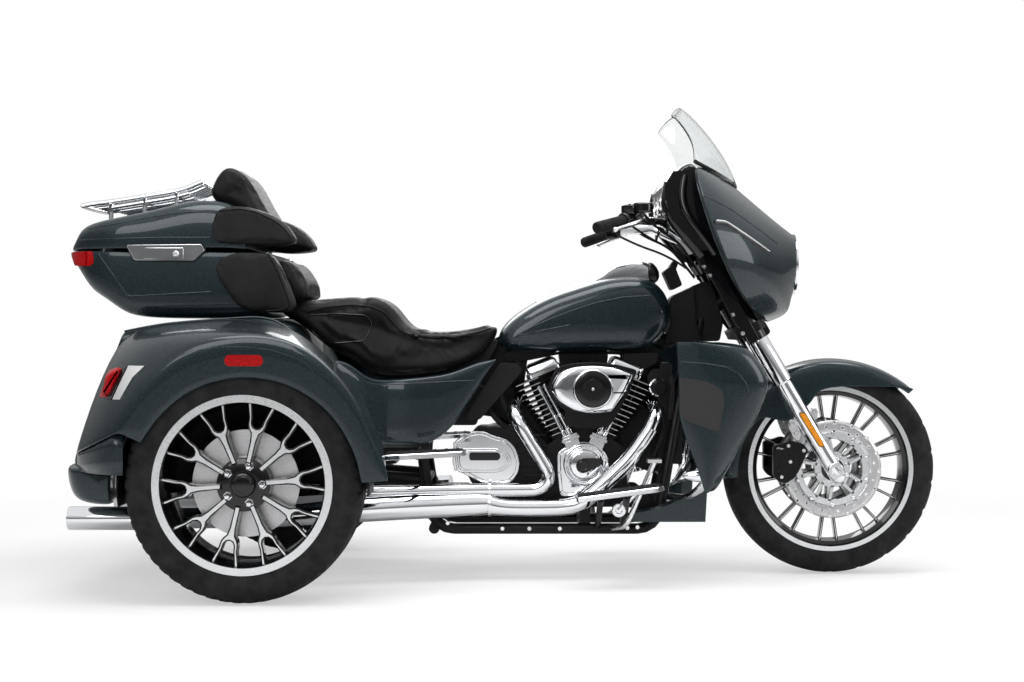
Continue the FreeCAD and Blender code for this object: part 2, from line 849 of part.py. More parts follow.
def make_front_calipers():
    """One caliper behind each slider, slotted over its disc."""
    disc_inner = S.front_hub_width / 2
    disc_outer = disc_inner + S.disc_thickness
    near = disc_inner - S.moving_gap - S.disc_thickness
    far = S.fork_spacing / 2 + S.slider_radius * CALIPER_OUT_SHARE
    radius = S.front_disc_radius
    corners = spread(CALIPER_SHARES, FRONT_X, radius, FRONT_Z, radius)
    block = side_slab(corners, -far, -near)
    slot = rod((FRONT_X, -disc_outer - S.moving_gap, FRONT_Z),
               (FRONT_X, -disc_inner + S.moving_gap, FRONT_Z),
               radius + S.moving_gap)
    block = block.cut([slot, fork_leg(-1)])
    shaped("front_calipers", both_sides(max(block.Solids, key=lambda solid: solid.Volume)))


CALIPER_OUT_SHARE = 0.3
CALIPER_SHARES = [(-1.25, 0.1), (-1.2, -0.28), (-0.78, -0.34), (-0.3, -0.12), (-0.3, 0.34), (-0.6, 0.62),
                  (-1.1, 0.6)]


# Fairing, screen and lamp

# Half rings round the fairing's skin, as shares of its length, half width and height. Each runs
# from the top round one side to the bottom: the rear edge, the widest part, the nose and the brow.
EDGE_SHARES = [(0.503, 0, 0.872), (0.408, 0.233, 0.898), (0.25, 0.461, 0.949), (0.102, 0.663, 0.991),
               (0.092, 0.805, 0.887), (0.128, 0.922, 0.728), (0.194, 0.977, 0.547), (0.286, 0.957, 0.355),
               (0.408, 0.805, 0.185), (0.551, 0.547, 0.077), (0.684, 0.273, 0.021), (0.765, 0, 0.004)]
WIDE_SHARES = [(0.612, 0, 0.787), (0.556, 0.233, 0.796), (0.469, 0.456, 0.804), (0.383, 0.648, 0.783),
               (0.357, 0.79, 0.698), (0.372, 0.876, 0.579), (0.418, 0.891, 0.44), (0.485, 0.825, 0.298),
               (0.571, 0.663, 0.17), (0.673, 0.446, 0.089), (0.781, 0.233, 0.043), (0.837, 0, 0.03)]
NOSE_SHARES = [(0.821, 0, 0.634), (0.796, 0.182, 0.634), (0.755, 0.349, 0.621), (0.714, 0.486, 0.579),
               (0.694, 0.587, 0.506), (0.694, 0.633, 0.421), (0.714, 0.618, 0.328), (0.75, 0.542, 0.234),
               (0.796, 0.42, 0.157), (0.842, 0.284, 0.106), (0.883, 0.147, 0.077), (0.898, 0, 0.068)]
BROW_SHARES = [(0.969, 0, 0.562), (0.959, 0.096, 0.553), (0.939, 0.177, 0.523), (0.918, 0.243, 0.477),
               (0.906, 0.278, 0.417), (0.898, 0.284, 0.362), (0.893, 0.263, 0.298), (0.893, 0.223, 0.243),
               (0.898, 0.167, 0.196), (0.903, 0.106, 0.166), (0.908, 0.051, 0.149), (0.911, 0, 0.145)]
LAMP_RIM_SHARE = 0.31
LAMP_SEAT_SHARE = 0.76


def fairing_ring(shares):
    """A ring round the fairing's skin: one side from its shares, the other its mirror image."""
    length = S.fairing_nose - S.fairing_rear
    height = S.fairing_top - S.fairing_base
    half = [V(float(S.fairing_rear + length * ahead), float(S.fairing_width / 2 * out),
              float(S.fairing_base + height * up)) for ahead, out, up in shares]
    return half + [V(corner.x, -corner.y, corner.z) for corner in reversed(half[1:-1])]


def lamp_ring(ahead):
    """A ring that just clears the headlamp's bowl."""
    count = len(EDGE_SHARES) * 2 - 2
    radius = float(S.headlamp_radius + S.running_gap) / math.cos(math.pi / count)
    turns = [math.pi * 2 * index / count for index in range(count)]
    return [V(float(ahead), radius * math.sin(turn), float(S.headlamp_height) + radius * math.cos(turn))
            for turn in turns]


def drawn_in(rings, depth):
    """Rings moved square to the skin that they span, towards its inside."""
    inner = []
    for place, ring in enumerate(rings):
        before = rings[max(place - 1, 0)]
        after = rings[min(place + 1, len(rings) - 1)]
        moved = []
        for index, corner in enumerate(ring):
            along = ring[(index + 1) % len(ring)] - ring[index - 1]
            across = after[index] - before[index]
            moved.append(corner + along.cross(across).normalize() * float(depth))
        inner.append(moved)
    return inner


def facets(rings):
    """Triangles between closed rings of corners, laid alike on the right and the left."""
    faces = []
    for first, second in zip(rings, rings[1:]):
        for index in range(len(first)):
            corners = [first[index - 1], first[index], second[index], second[index - 1]]
            if 0 < index <= len(first) // 2:
                corners = corners[1:] + corners[:1]
            faces.append(flat_face([corners[0], corners[1], corners[2]]))
            faces.append(flat_face([corners[0], corners[2], corners[3]]))
    return faces


def outwards(faces):
    """The solid that faces close, with its skin turned outwards."""
    solid = Part.Solid(Part.Shell(faces))
    return solid if solid.Volume > 0 else solid.reversed()


def fairing_space(rings):
    """The space within rings of the fairing, run on straight behind its edge and before its nose."""
    depth = (S.fairing_nose - S.fairing_rear) / 2
    back = [V(float(S.fairing_rear - depth), corner.y, corner.z) for corner in rings[0]]
    front = [V(float(S.fairing_nose + S.overrun), corner.y, corner.z) for corner in rings[-1]]
    return outwards([flat_face(back), flat_face(front)] + facets([back] + rings + [front]))


def make_fairing():
    """A shell from its rear edge round the nose to the seat of the headlamp, and back inside."""
    outer = [fairing_ring(shares) for shares in (EDGE_SHARES, WIDE_SHARES, NOSE_SHARES, BROW_SHARES)]
    inner = drawn_in(outer, S.fairing_skin)[:-1]
    rim = [lamp_ring(S.fairing_nose - S.headlamp_radius * share)
           for share in (LAMP_RIM_SHARE, LAMP_SEAT_SHARE)]
    skins = facets(outer + rim) + facets(inner)
    edges = facets([outer[0], inner[0]]) + facets([rim[-1], inner[-1]])
    shaped("fairing_outer", outwards(skins + edges))
    return outer


def make_headlamp():
    """A round lamp set in the fairing's nose, with a domed lens."""
    back = S.fairing_nose - S.headlamp_radius * LAMP_DEPTH_SHARE
    edge = back + S.headlamp_radius * LAMP_BOWL_SHARE
    bowl = rod((back, Size(0.0), S.headlamp_height), (edge, Size(0.0), S.headlamp_height),
               S.headlamp_radius)
    lens = Part.makeCone(float(S.headlamp_radius), float(S.headlamp_radius) * LENS_FACE_SHARE,
                         float(S.headlamp_radius) * LENS_DEPTH_SHARE,
                         V(float(edge), 0, float(S.headlamp_height)), X_AXIS)
    shaped("headlamp", bowl.fuse(lens))


LAMP_DEPTH_SHARE = 1.25
LAMP_BOWL_SHARE = 0.8
LENS_FACE_SHARE = 0.7
LENS_DEPTH_SHARE = 0.24

INNER_SHARES = [(0.03, 0.56), (-0.07, 0.64), (-0.12, 0.78), (-0.12, 0.86), (-0.06, 0.94), (0.1, 0.95),
                (0.3, 0.86), (0.36, 0.6), (0.3, 0.45), (0.14, 0.45)]


def make_fairing_inner(outer):
    """The dashboard that closes the back of the fairing."""
    length = S.fairing_nose - S.fairing_rear
    height = S.fairing_top - S.fairing_base
    half = S.fairing_width / 2 * INNER_WIDTH_SHARE
    points = spread(INNER_SHARES, S.fairing_rear, length, S.fairing_base, height)
    room = fairing_space(drawn_in(outer, S.fairing_skin + S.running_gap)[:-1])
    made = side_slab(points, -half, half).common(room)
    made = made.cut([bar_shape(), doc.getObject("fork_yoke_solid").Shape,
                     doc.getObject("fork_legs_solid").Shape])
    shaped("fairing_inner", max(made.Solids, key=lambda solid: solid.Volume))


INNER_WIDTH_SHARE = 0.66
# Rows of the screen from its foot up: how far each leans back and rises, how far its sides lie
# behind and above its middle, and how wide it is
SCREEN_ROW_SHARES = [(0.0, 0.0, 1.0, 0.37, 1.0), (0.129, 0.221, 0.822, 0.212, 1.025),
                     (0.419, 0.574, 0.612, 0.028, 1.05), (0.634, 0.764, 0.507, -0.063, 1.034),
                     (0.839, 0.915, 0.403, -0.156, 0.992), (1.0, 1.0, 0.298, -0.247, 0.944)]
# Places across the screen: how far out, and how much of the way back that its sides lie
SCREEN_ACROSS_SHARES = [(0.0, 0.0), (0.242, 0.06), (0.484, 0.24), (0.706, 0.5), (0.887, 0.78), (1.0, 1.0)]
SCREEN_FOOT_SHARE = 0.53
SCREEN_SINK_SHARE = 0.168


def border(grid):
    """The corners round a grid's edge, in order."""
    right = [row[-1] for row in grid[1:-1]]
    left = [row[0] for row in grid[-2:0:-1]]
    return grid[0] + right + grid[-1][::-1] + left


def make_windshield(outer):
    """A clear curved screen that leans back from the fairing's brow and stands on its skin."""
    foot_x = S.fairing_rear + (S.fairing_nose - S.fairing_rear) * SCREEN_FOOT_SHARE
    foot_z = S.fairing_top - (S.fairing_top - S.fairing_base) * SCREEN_SINK_SHARE
    face = []
    for lean, rise, back, lift, wide in SCREEN_ROW_SHARES:
        half = [V(float(foot_x - S.screen_lean * lean - S.screen_sweep * back * sweep),
                  float(S.screen_half_width * wide * out),
                  float(foot_z + S.screen_height * rise + S.screen_sweep * lift * sweep * sweep))
                for out, sweep in SCREEN_ACROSS_SHARES]
        face.append([V(corner.x, -corner.y, corner.z) for corner in half[:0:-1]] + half)
    back = []
    for place, row in enumerate(face):
        below = face[max(place - 1, 0)]
        above = face[min(place + 1, len(face) - 1)]
        moved = []
        for index, corner in enumerate(row):
            along = row[min(index + 1, len(row) - 1)] - row[max(index - 1, 0)]
            moved.append(corner - along.cross(above[index]
                                              - below[index]).normalize() * float(S.screen_thickness))
        back.append(moved)
    faces = facets([border(face), border(back)])
    for grid in (face, back):
        for first, second in zip(grid, grid[1:]):
            for index in range(1, len(first)):
                faces.append(flat_face([first[index - 1], first[index], second[index]]))
                faces.append(flat_face([first[index - 1], second[index], second[index - 1]]))
    screen = outwards(faces).cut([fairing_space(outer), doc.getObject("fairing_inner_solid").Shape])
    shaped("windshield", max(screen.Solids, key=lambda solid: solid.Volume))


# Frame and engine

SPINE_X = S.tank_rear + S.tank_length
CRANK_X = S.crank_ahead
CRANK_Z = S.crank_height
# The inner corners of the leaning rocker boxes clear the tank, which sets how tall the fins stand
ROCKER_INNER_SHARE = 0.66
LEAN = math.radians(S.cylinder_lean)
ROCKER_DIP = S.barrel_radius * ROCKER_INNER_SHARE * math.sin(LEAN)
ROCKER_ROOM = S.tank_base - S.tank_clearance - CRANK_Z - ROCKER_DIP
FIN_STACK_TOP = ROCKER_ROOM / math.cos(LEAN) - S.rocker_height
CRADLE_AHEAD_SHARE = 1.9
CRADLE_FRONT = CRANK_X + S.crankcase_radius * CRADLE_AHEAD_SHARE
CRADLE_BEHIND_SHARE = 4.0
CRADLE_REAR = CRANK_X - S.crankcase_radius * CRADLE_BEHIND_SHARE
SPINE_OVER_SHARE = 1.3
SPINE_Z = S.tank_base + S.spine_radius * SPINE_OVER_SHARE


def head_range():
    """Lower and upper ends of the steering head, between the clamps."""
    room = S.clamp_thickness / 2 + S.moving_gap + S.clamp_depth * HEAD_ROOM_SHARE
    return S.lower_clamp_height + room, S.upper_clamp_height - room


HEAD_ROOM_SHARE = 0.02


HEAD_BORE_SHARE = 4
SPINE_DROP_SHARE = 4
RAIL_UNDER_SHARE = 1.6
DOWNTUBE_RISE_SHARE = 1.6


def make_frame():
    """Twin-tube cradle frame with one spine, steering head and rear rails under the trunk."""
    low, high = head_range()
    start = V(float(steering_x(low)), 0, float(low))
    end = V(float(steering_x(high)), 0, float(high))
    head = Part.makeCylinder(float(S.head_radius), (end - start).Length, start, STEERING_DIRECTION)
    bore = Part.makeCylinder(float(S.stem_radius + S.running_gap), float(S.clamp_depth) * HEAD_BORE_SHARE,
                             start - STEERING_DIRECTION * float(S.clamp_depth), STEERING_DIRECTION)
    middle = (low + high) / 2
    half = S.cradle_half_width
    spine = pipe([(steering_x(middle), 0, middle), (SPINE_X, 0, SPINE_Z), (S.tank_rear, 0, SPINE_Z),
                  (S.tank_rear - S.spine_radius * SPINE_DROP_SHARE, 0,
                   S.seat_base - S.spine_radius * SPINE_OVER_SHARE),
                  (CRADLE_REAR, 0,
                   S.seat_base - S.spine_radius * RAIL_UNDER_SHARE)], S.spine_radius, S.frame_bend)
    tubes = []
    for side in (-1, 1):
        tubes.append(pipe([
            (SPINE_X + (steering_x(middle) - SPINE_X) * DOWNTUBE_TOP_SHARE, S.spine_radius / 2 * side,
             SPINE_Z + (middle - SPINE_Z) * DOWNTUBE_TOP_SHARE),
            (CRADLE_FRONT + S.frame_bend, half * DOWNTUBE_SHARE * side,
             CRANK_Z + S.crankcase_radius * DOWNTUBE_RISE_SHARE),
            (CRADLE_FRONT, half * side, S.cradle_height),
            (CRADLE_REAR, half * side, S.cradle_height),
            (CRADLE_REAR - S.frame_bend / 2, half * side, S.body_base - S.frame_bend / 2),
            (CRADLE_REAR, S.spine_radius * side, S.seat_base - S.spine_radius * RAIL_UNDER_SHARE),
        ], S.frame_tube_radius, S.frame_bend))
    tubes.append(straight_bar((CRADLE_REAR, -half, S.cradle_height), (CRADLE_REAR, half, S.cradle_height),
                     S.frame_tube_radius))
    seat_rise = CRANK_Z - S.crankcase_radius * MOUNT_RISE_SHARE - S.cradle_height
    saddle = Part.makeBox(float(S.frame_tube_radius * 2), float(half * 2), float(seat_rise),
                          V(float(CRANK_X - S.frame_tube_radius), -float(half), float(S.cradle_height)))
    case = rod((CRANK_X, -half, CRANK_Z), (CRANK_X, half, CRANK_Z), S.crankcase_radius)
    frame = spine.fuse([head, saddle] + tubes).cut([bore, case])
    rails = rear_rails()
    frame = frame.fuse(rails)
    shaped("frame", one_solid(frame))


MOUNT_RISE_SHARE = 0.96
DOWNTUBE_SHARE = 0.6
DOWNTUBE_TOP_SHARE = 0.58


def rear_rails():
    """Two rails from the cradle's rear uprights back under the trunk floor."""
    radius = S.frame_tube_radius
    height = S.body_base - radius - S.running_gap
    rails = []
    for side in (-1, 1):
        offset = S.cradle_half_width * side
        rails.append(straight_bar((CRADLE_REAR - S.frame_bend / 2, offset, height),
                                  (REAR_X - S.frame_bend * 2, offset, height),
                         radius))
    return rails


def cylinder_frame(shape, lean):
    """Leans a shape built upright over the crank, towards the front for a positive lean."""
    shape.rotate(V(), Y_AXIS, lean)
    shape.translate(V(float(CRANK_X), 0, float(CRANK_Z)))
    return shape


FIN_OUTER_FOOT_SHARE = 1.3
FIN_OUTER_TOP_SHARE = 2.02
FIN_DEPTH_FOOT_SHARE = 1.3
FIN_DEPTH_TOP_SHARE = 1.55


VEE_SIZE_SHARE = 4


def finned_cylinder(lean):
    """Barrel and head with cooling fins that widen upwards, cut square to each other in the vee."""
    foot = S.cylinder_foot
    height = FIN_STACK_TOP - foot
    barrel = pipe([(0, 0, foot), (0, 0, foot + height)], S.barrel_radius, 0)
    outwards = 1 if lean > 0 else -1
    slope = math.tan(math.radians(S.cylinder_lean))
    pitch = (height - S.fin_thickness) / (S.fin_count - 1)
    fins = []
    for index in range(int(S.fin_count)):
        share = index / (S.fin_count - 1)
        level = foot + pitch * index
        outer = S.barrel_radius * (FIN_OUTER_FOOT_SHARE
                                   + (FIN_OUTER_TOP_SHARE - FIN_OUTER_FOOT_SHARE) * share)
        depth = S.barrel_radius * (FIN_DEPTH_FOOT_SHARE
                                   + (FIN_DEPTH_TOP_SHARE - FIN_DEPTH_FOOT_SHARE) * share)
        inner = level * slope - S.fin_thickness
        start = -inner if outwards > 0 else -outer
        fins.append(Part.makeBox(float(inner + outer), float(depth * 2), float(S.fin_thickness),
                                 V(float(start), -float(depth), float(level))))
    vee = Part.makeBox(float(height * VEE_SIZE_SHARE), float(height * VEE_SIZE_SHARE),
                       float(height * VEE_SIZE_SHARE))
    stack = barrel.fuse(fins)
    made = cylinder_frame(stack, lean)
    limit = float(S.fin_thickness) / 2
    if outwards > 0:
        vee.translate(V(float(CRANK_X) + limit, -float(height * 2), float(CRANK_Z)))
    else:
        vee.translate(V(float(CRANK_X - height * VEE_SIZE_SHARE) - limit, -float(height * 2),
                        float(CRANK_Z)))
    return one_solid(made.common(vee))


ROCKER_OUTER_SHARE = 1.1
ROCKER_LEFT_SHARE = 1.5


def rocker_box(lean):
    """The cover on top of a cylinder head."""
    top = FIN_STACK_TOP
    half = S.barrel_radius
    lower = [(-half * ROCKER_INNER_SHARE, -half * 2.0), (half * ROCKER_OUTER_SHARE, -half * 2.0),
             (half * ROCKER_OUTER_SHARE, half * ROCKER_LEFT_SHARE),
             (-half * ROCKER_INNER_SHARE, half * ROCKER_LEFT_SHARE)]
    if lean < 0:
        lower = [(-x, y) for x, y in reversed(lower)]
    radii = [half * ROCKER_CORNER_SHARE] * len(lower)
    block = rounded_plan_slab(lower, radii, top, top + S.rocker_height)
    return cylinder_frame(block, lean)


ROCKER_CORNER_SHARE = 0.4


DECK_LENGTH_SHARE = 2.1
DECK_WIDTH_SHARE = 1.5


def make_engine():
    """The crankcase and vee of two finned cylinders."""
    half = S.crankcase_width / 2
    radius = S.crankcase_radius
    case = rod((CRANK_X, -half, CRANK_Z), (CRANK_X, half, CRANK_Z), radius)
    sump = side_slab(spread(SUMP_SHARES, CRANK_X, radius, CRANK_Z, radius), -half, half)
    decks = []
    for lean in (-float(S.cylinder_lean), float(S.cylinder_lean)):
        deck = Part.makeBox(float(S.barrel_radius * DECK_LENGTH_SHARE), float(half * DECK_WIDTH_SHARE),
                            float(S.cylinder_foot),
                            V(-float(S.barrel_radius * DECK_LENGTH_SHARE / 2),
                              -float(half * DECK_WIDTH_SHARE / 2), 0))
        decks.append(cylinder_frame(deck, lean))
    for name, lean in (("cylinder_rear", -float(S.cylinder_lean)),
                       ("cylinder_front", float(S.cylinder_lean))):
        shaped(name, finned_cylinder(lean))
    case = case.fuse([sump] + decks)
    case = case.cut([doc.getObject("cylinder_rear_solid").Shape,
                     doc.getObject("cylinder_front_solid").Shape])
    shaped("crankcase", one_solid(case))
    boxes = [rocker_box(-float(S.cylinder_lean)), rocker_box(float(S.cylinder_lean))]
    shaped("rocker_boxes", Part.makeCompound(boxes))


SUMP_SHARES = [(-1.02, -0.9), (0.95, -0.95), (1.16, -0.6), (1.1, 0.45), (0.4, 0.9), (-0.4, 0.9),
               (-1.02, 0.5)]


CAM_DOME_DEPTH_SHARE = 1.5
TAPPET_WIDTH_SHARE = 0.34
TAPPET_HEIGHT_SHARE = 0.65
TAPPET_BASE_SHARE = 0.2
ROD_SPACING_SHARE = 0.09
ROD_FOOT_SHARE = 0.8
ROD_RADIUS_SHARE = 0.07


def make_cam_cover():
    """Chromed timing cover on the right of the crankcase, with the tappet blocks over it."""
    outer = -(S.crankcase_width / 2)
    radius = S.crankcase_radius
    depth = radius * CAM_DEPTH_SHARE
    plate = rounded_side_slab(spread(CAM_SHARES, CRANK_X, radius, CRANK_Z, radius),
                              [radius * CAM_CORNER_SHARE] * len(CAM_SHARES), outer - depth, outer)
    dome = rod((CRANK_X, outer - depth * CAM_DOME_DEPTH_SHARE, CRANK_Z), (CRANK_X, outer, CRANK_Z),
               radius * CAM_DOME_SHARE)
    blocks = []
    for side in (-1, 1):
        middle = CRANK_X + radius * TAPPET_SHARE * side
        blocks.append(Part.makeBox(float(radius * TAPPET_WIDTH_SHARE), float(depth),
                                   float(radius * TAPPET_HEIGHT_SHARE),
                                   V(float(middle - radius * TAPPET_WIDTH_SHARE / 2), float(outer - depth),
                                     float(CRANK_Z + radius * TAPPET_BASE_SHARE))))
    rods = []
    for side in (-1, 1):
        for inner in (-1, 1):
            foot_x = CRANK_X + radius * TAPPET_SHARE * side + radius * ROD_SPACING_SHARE * inner
            foot = V(float(foot_x), float(outer - depth / 2), float(CRANK_Z + radius * ROD_FOOT_SHARE))
            lean = math.radians(float(S.cylinder_lean) * side * PUSHROD_LEAN_SHARE)
            direction = V(math.sin(lean), 0, math.cos(lean))
            length = float(FIN_STACK_TOP - radius)
            rods.append(straight_bar(foot, foot + direction * length, radius * ROD_RADIUS_SHARE))
    boxes = doc.getObject("rocker_boxes_solid").Shape
    trimmed = [max(made.cut(boxes).Solids, key=lambda solid: -solid.CenterOfMass.z) for made in rods]
    shaped("cam_cover", one_solid(plate.fuse([dome] + blocks + trimmed)))


CAM_SHARES = [(-0.72, -0.88), (0.58, -0.88), (0.62, 0.35), (0.3, 0.6), (-0.4, 0.6), (-0.76, 0.3)]
CAM_DEPTH_SHARE = 0.24
CAM_CORNER_SHARE = 0.2
CAM_DOME_SHARE = 0.55
TAPPET_SHARE = 0.48
PUSHROD_LEAN_SHARE = 1.25


GEARBOX_GAP_SHARE = 1.02
GEARBOX_HEIGHT_SHARE = 1.6
GEARBOX_BASE_SHARE = 0.62
GEARBOX_WIDTH_SHARE = 0.9
GEARBOX_CORNER_SHARE = 0.12
GEARBOX_FACE_SHARE = 1.42


def make_gearbox():
    """Gearbox behind the crankcase, with its chromed side cover."""
    rear = CRANK_X - S.crankcase_radius * GEARBOX_GAP_SHARE - S.gearbox_length
    front = CRANK_X - S.crankcase_radius * GEARBOX_GAP_SHARE
    half = S.crankcase_width / 2
    height = S.crankcase_radius * GEARBOX_HEIGHT_SHARE
    base = CRANK_Z - S.crankcase_radius * GEARBOX_BASE_SHARE
    points = spread(GEARBOX_SHARES, rear, S.gearbox_length, base, height)
    case = doc.getObject("crankcase_solid").Shape
    main = side_slab(points, -half * GEARBOX_WIDTH_SHARE, half * GEARBOX_WIDTH_SHARE).cut(case)
    cover_points = spread(GEARBOX_COVER_SHARES, rear, S.gearbox_length, base, height)
    cover = rounded_side_slab(cover_points, [height * GEARBOX_CORNER_SHARE] * len(cover_points),
                              -half * GEARBOX_FACE_SHARE, -half * GEARBOX_WIDTH_SHARE)
    shaped("gearbox", one_solid(main.fuse(cover)))


GEARBOX_SHARES = [(0.0, 0.1), (0.1, 0.0), (1.0, 0.0), (1.02, 0.3), (1.02, 0.75), (0.8, 1.0), (0.1, 1.0),
                  (0.0, 0.85)]
GEARBOX_COVER_SHARES = [(0.02, 0.35), (0.3, 0.04), (0.72, 0.04), (0.86, 0.45), (0.82, 0.85), (0.55, 0.98),
                        (0.02, 0.9)]


PRIMARY_DEPTH_SHARE = 0.5
PRIMARY_FRONT_SHARE = 0.9
PRIMARY_REACH_SHARE = 1.1
PRIMARY_REAR_SHARE = 1.02
DERBY_DEPTH_SHARE = 0.1
DERBY_RADIUS_SHARE = 0.7


def make_primary_cover():
    """The long chromed clutch cover on the left."""
    inner = S.crankcase_width / 2 + S.running_gap
    outer = inner + S.crankcase_radius * PRIMARY_DEPTH_SHARE
    front = rod((CRANK_X, inner, CRANK_Z), (CRANK_X, outer, CRANK_Z),
                S.crankcase_radius * PRIMARY_FRONT_SHARE)
    rear_x = CRANK_X - S.gearbox_length * PRIMARY_REACH_SHARE
    rear = rod((rear_x, inner, CRANK_Z), (rear_x, outer, CRANK_Z), S.crankcase_radius * PRIMARY_REAR_SHARE)
    web = side_slab([(rear_x, CRANK_Z - S.crankcase_radius * PRIMARY_REAR_SHARE),
                     (CRANK_X, CRANK_Z - S.crankcase_radius * PRIMARY_FRONT_SHARE),
                     (CRANK_X, CRANK_Z + S.crankcase_radius * PRIMARY_FRONT_SHARE),
                     (rear_x, CRANK_Z + S.crankcase_radius * PRIMARY_REAR_SHARE)], inner, outer)
    derby = rod((rear_x, outer, CRANK_Z), (rear_x, outer + S.crankcase_radius * DERBY_DEPTH_SHARE, CRANK_Z),
                S.crankcase_radius * DERBY_RADIUS_SHARE)
    shaped("primary_cover", one_solid(front.fuse([rear, web, derby])))


AIR_BASE_SHARE = 0.522
AIR_RODS_SHARE = 0.22
AIR_GAP_SHARE = 0.06
AIR_DEPTH_SHARE = 0.75
AIR_CORNER_SHARE = 0.12
AIR_MIDDLE_SHARE = 0.5
AIR_NECK_RISE_SHARE = 0.62
AIR_NECK_SHARE = 0.3
AIR_INSERT_SHARE = 0.36


def make_air_cleaner():
    """The chromed air cleaner between the cylinders, on its backing plate."""
    length = S.crankcase_radius * AIR_LENGTH_SHARE
    height = (FIN_STACK_TOP + S.rocker_height) * AIR_HEIGHT_SHARE
    start = CRANK_X - S.crankcase_radius
    base = CRANK_Z + FIN_STACK_TOP * AIR_BASE_SHARE
    points = spread(AIR_SHARES, start, length, base, height)
    plate_face = -(S.barrel_radius * FIN_DEPTH_FOOT_SHARE)
    rods_clear = -(S.crankcase_width / 2) - S.crankcase_radius * AIR_RODS_SHARE
    cover_back = rods_clear - S.crankcase_radius * AIR_GAP_SHARE
    cover_face = cover_back - S.crankcase_radius * AIR_DEPTH_SHARE
    cover = rounded_side_slab(points, [height * AIR_CORNER_SHARE] * len(points), cover_face, cover_back)
    middle = start + length * AIR_MIDDLE_SHARE
    neck = rod((middle, plate_face, base + height * AIR_NECK_RISE_SHARE),
               (middle, cover_back, base + height * AIR_NECK_RISE_SHARE),
               S.crankcase_radius * AIR_NECK_SHARE)
    insert = rod((middle, cover_face - S.moving_gap, base + height * AIR_MIDDLE_SHARE),
                 (middle, cover_face, base + height * AIR_MIDDLE_SHARE),
                 height * AIR_INSERT_SHARE)
    made = one_solid(cover.fuse([neck, insert]))
    names = ("cam_cover_solid", "cylinder_rear_solid", "cylinder_front_solid", "rocker_boxes_solid")
    made = made.cut([doc.getObject(name).Shape for name in names])
    shaped("air_cleaner", max(made.Solids, key=lambda solid: solid.Volume))


AIR_LENGTH_SHARE = 2.42
AIR_HEIGHT_SHARE = 0.4475
AIR_SHARES = [(0.0, 0.5), (0.14, 0.85), (0.28, 0.97), (0.54, 1.0), (0.82, 0.95), (1.0, 0.86), (0.86, 0.44),
              (0.73, 0.02), (0.54, 0.0), (0.34, 0.06), (0.14, 0.22)]


EXHAUST_OUT_SHARE = 0.75
MERGE_BEHIND_SHARE = 2.4
MERGE_UNDER_SHARE = 0.8
PORT_SHARE = 0.86
REAR_HEADER_SHARE = 1.25
REAR_HEADER_FOOT_SHARE = 1.35
FRONT_HEADER_LEAN_SHARE = 0.8
FRONT_HEADER_OUT_SHARE = 0.9
FRONT_HEADER_SHARE = 1.6
FRONT_HEADER_KNEE_SHARE = 0.3
FRONT_HEADER_FOOT_SHARE = 0.9
MUFFLER_END_SHARE = 0.75
MUFFLER_OUT_SHARE = 0.88
TAIL_START_SHARE = 0.4
TAIL_BEND_SHARE = 4
CROSSOVER_SHARE = 1.1
CROSSOVER_SIZE_SHARE = 0.9


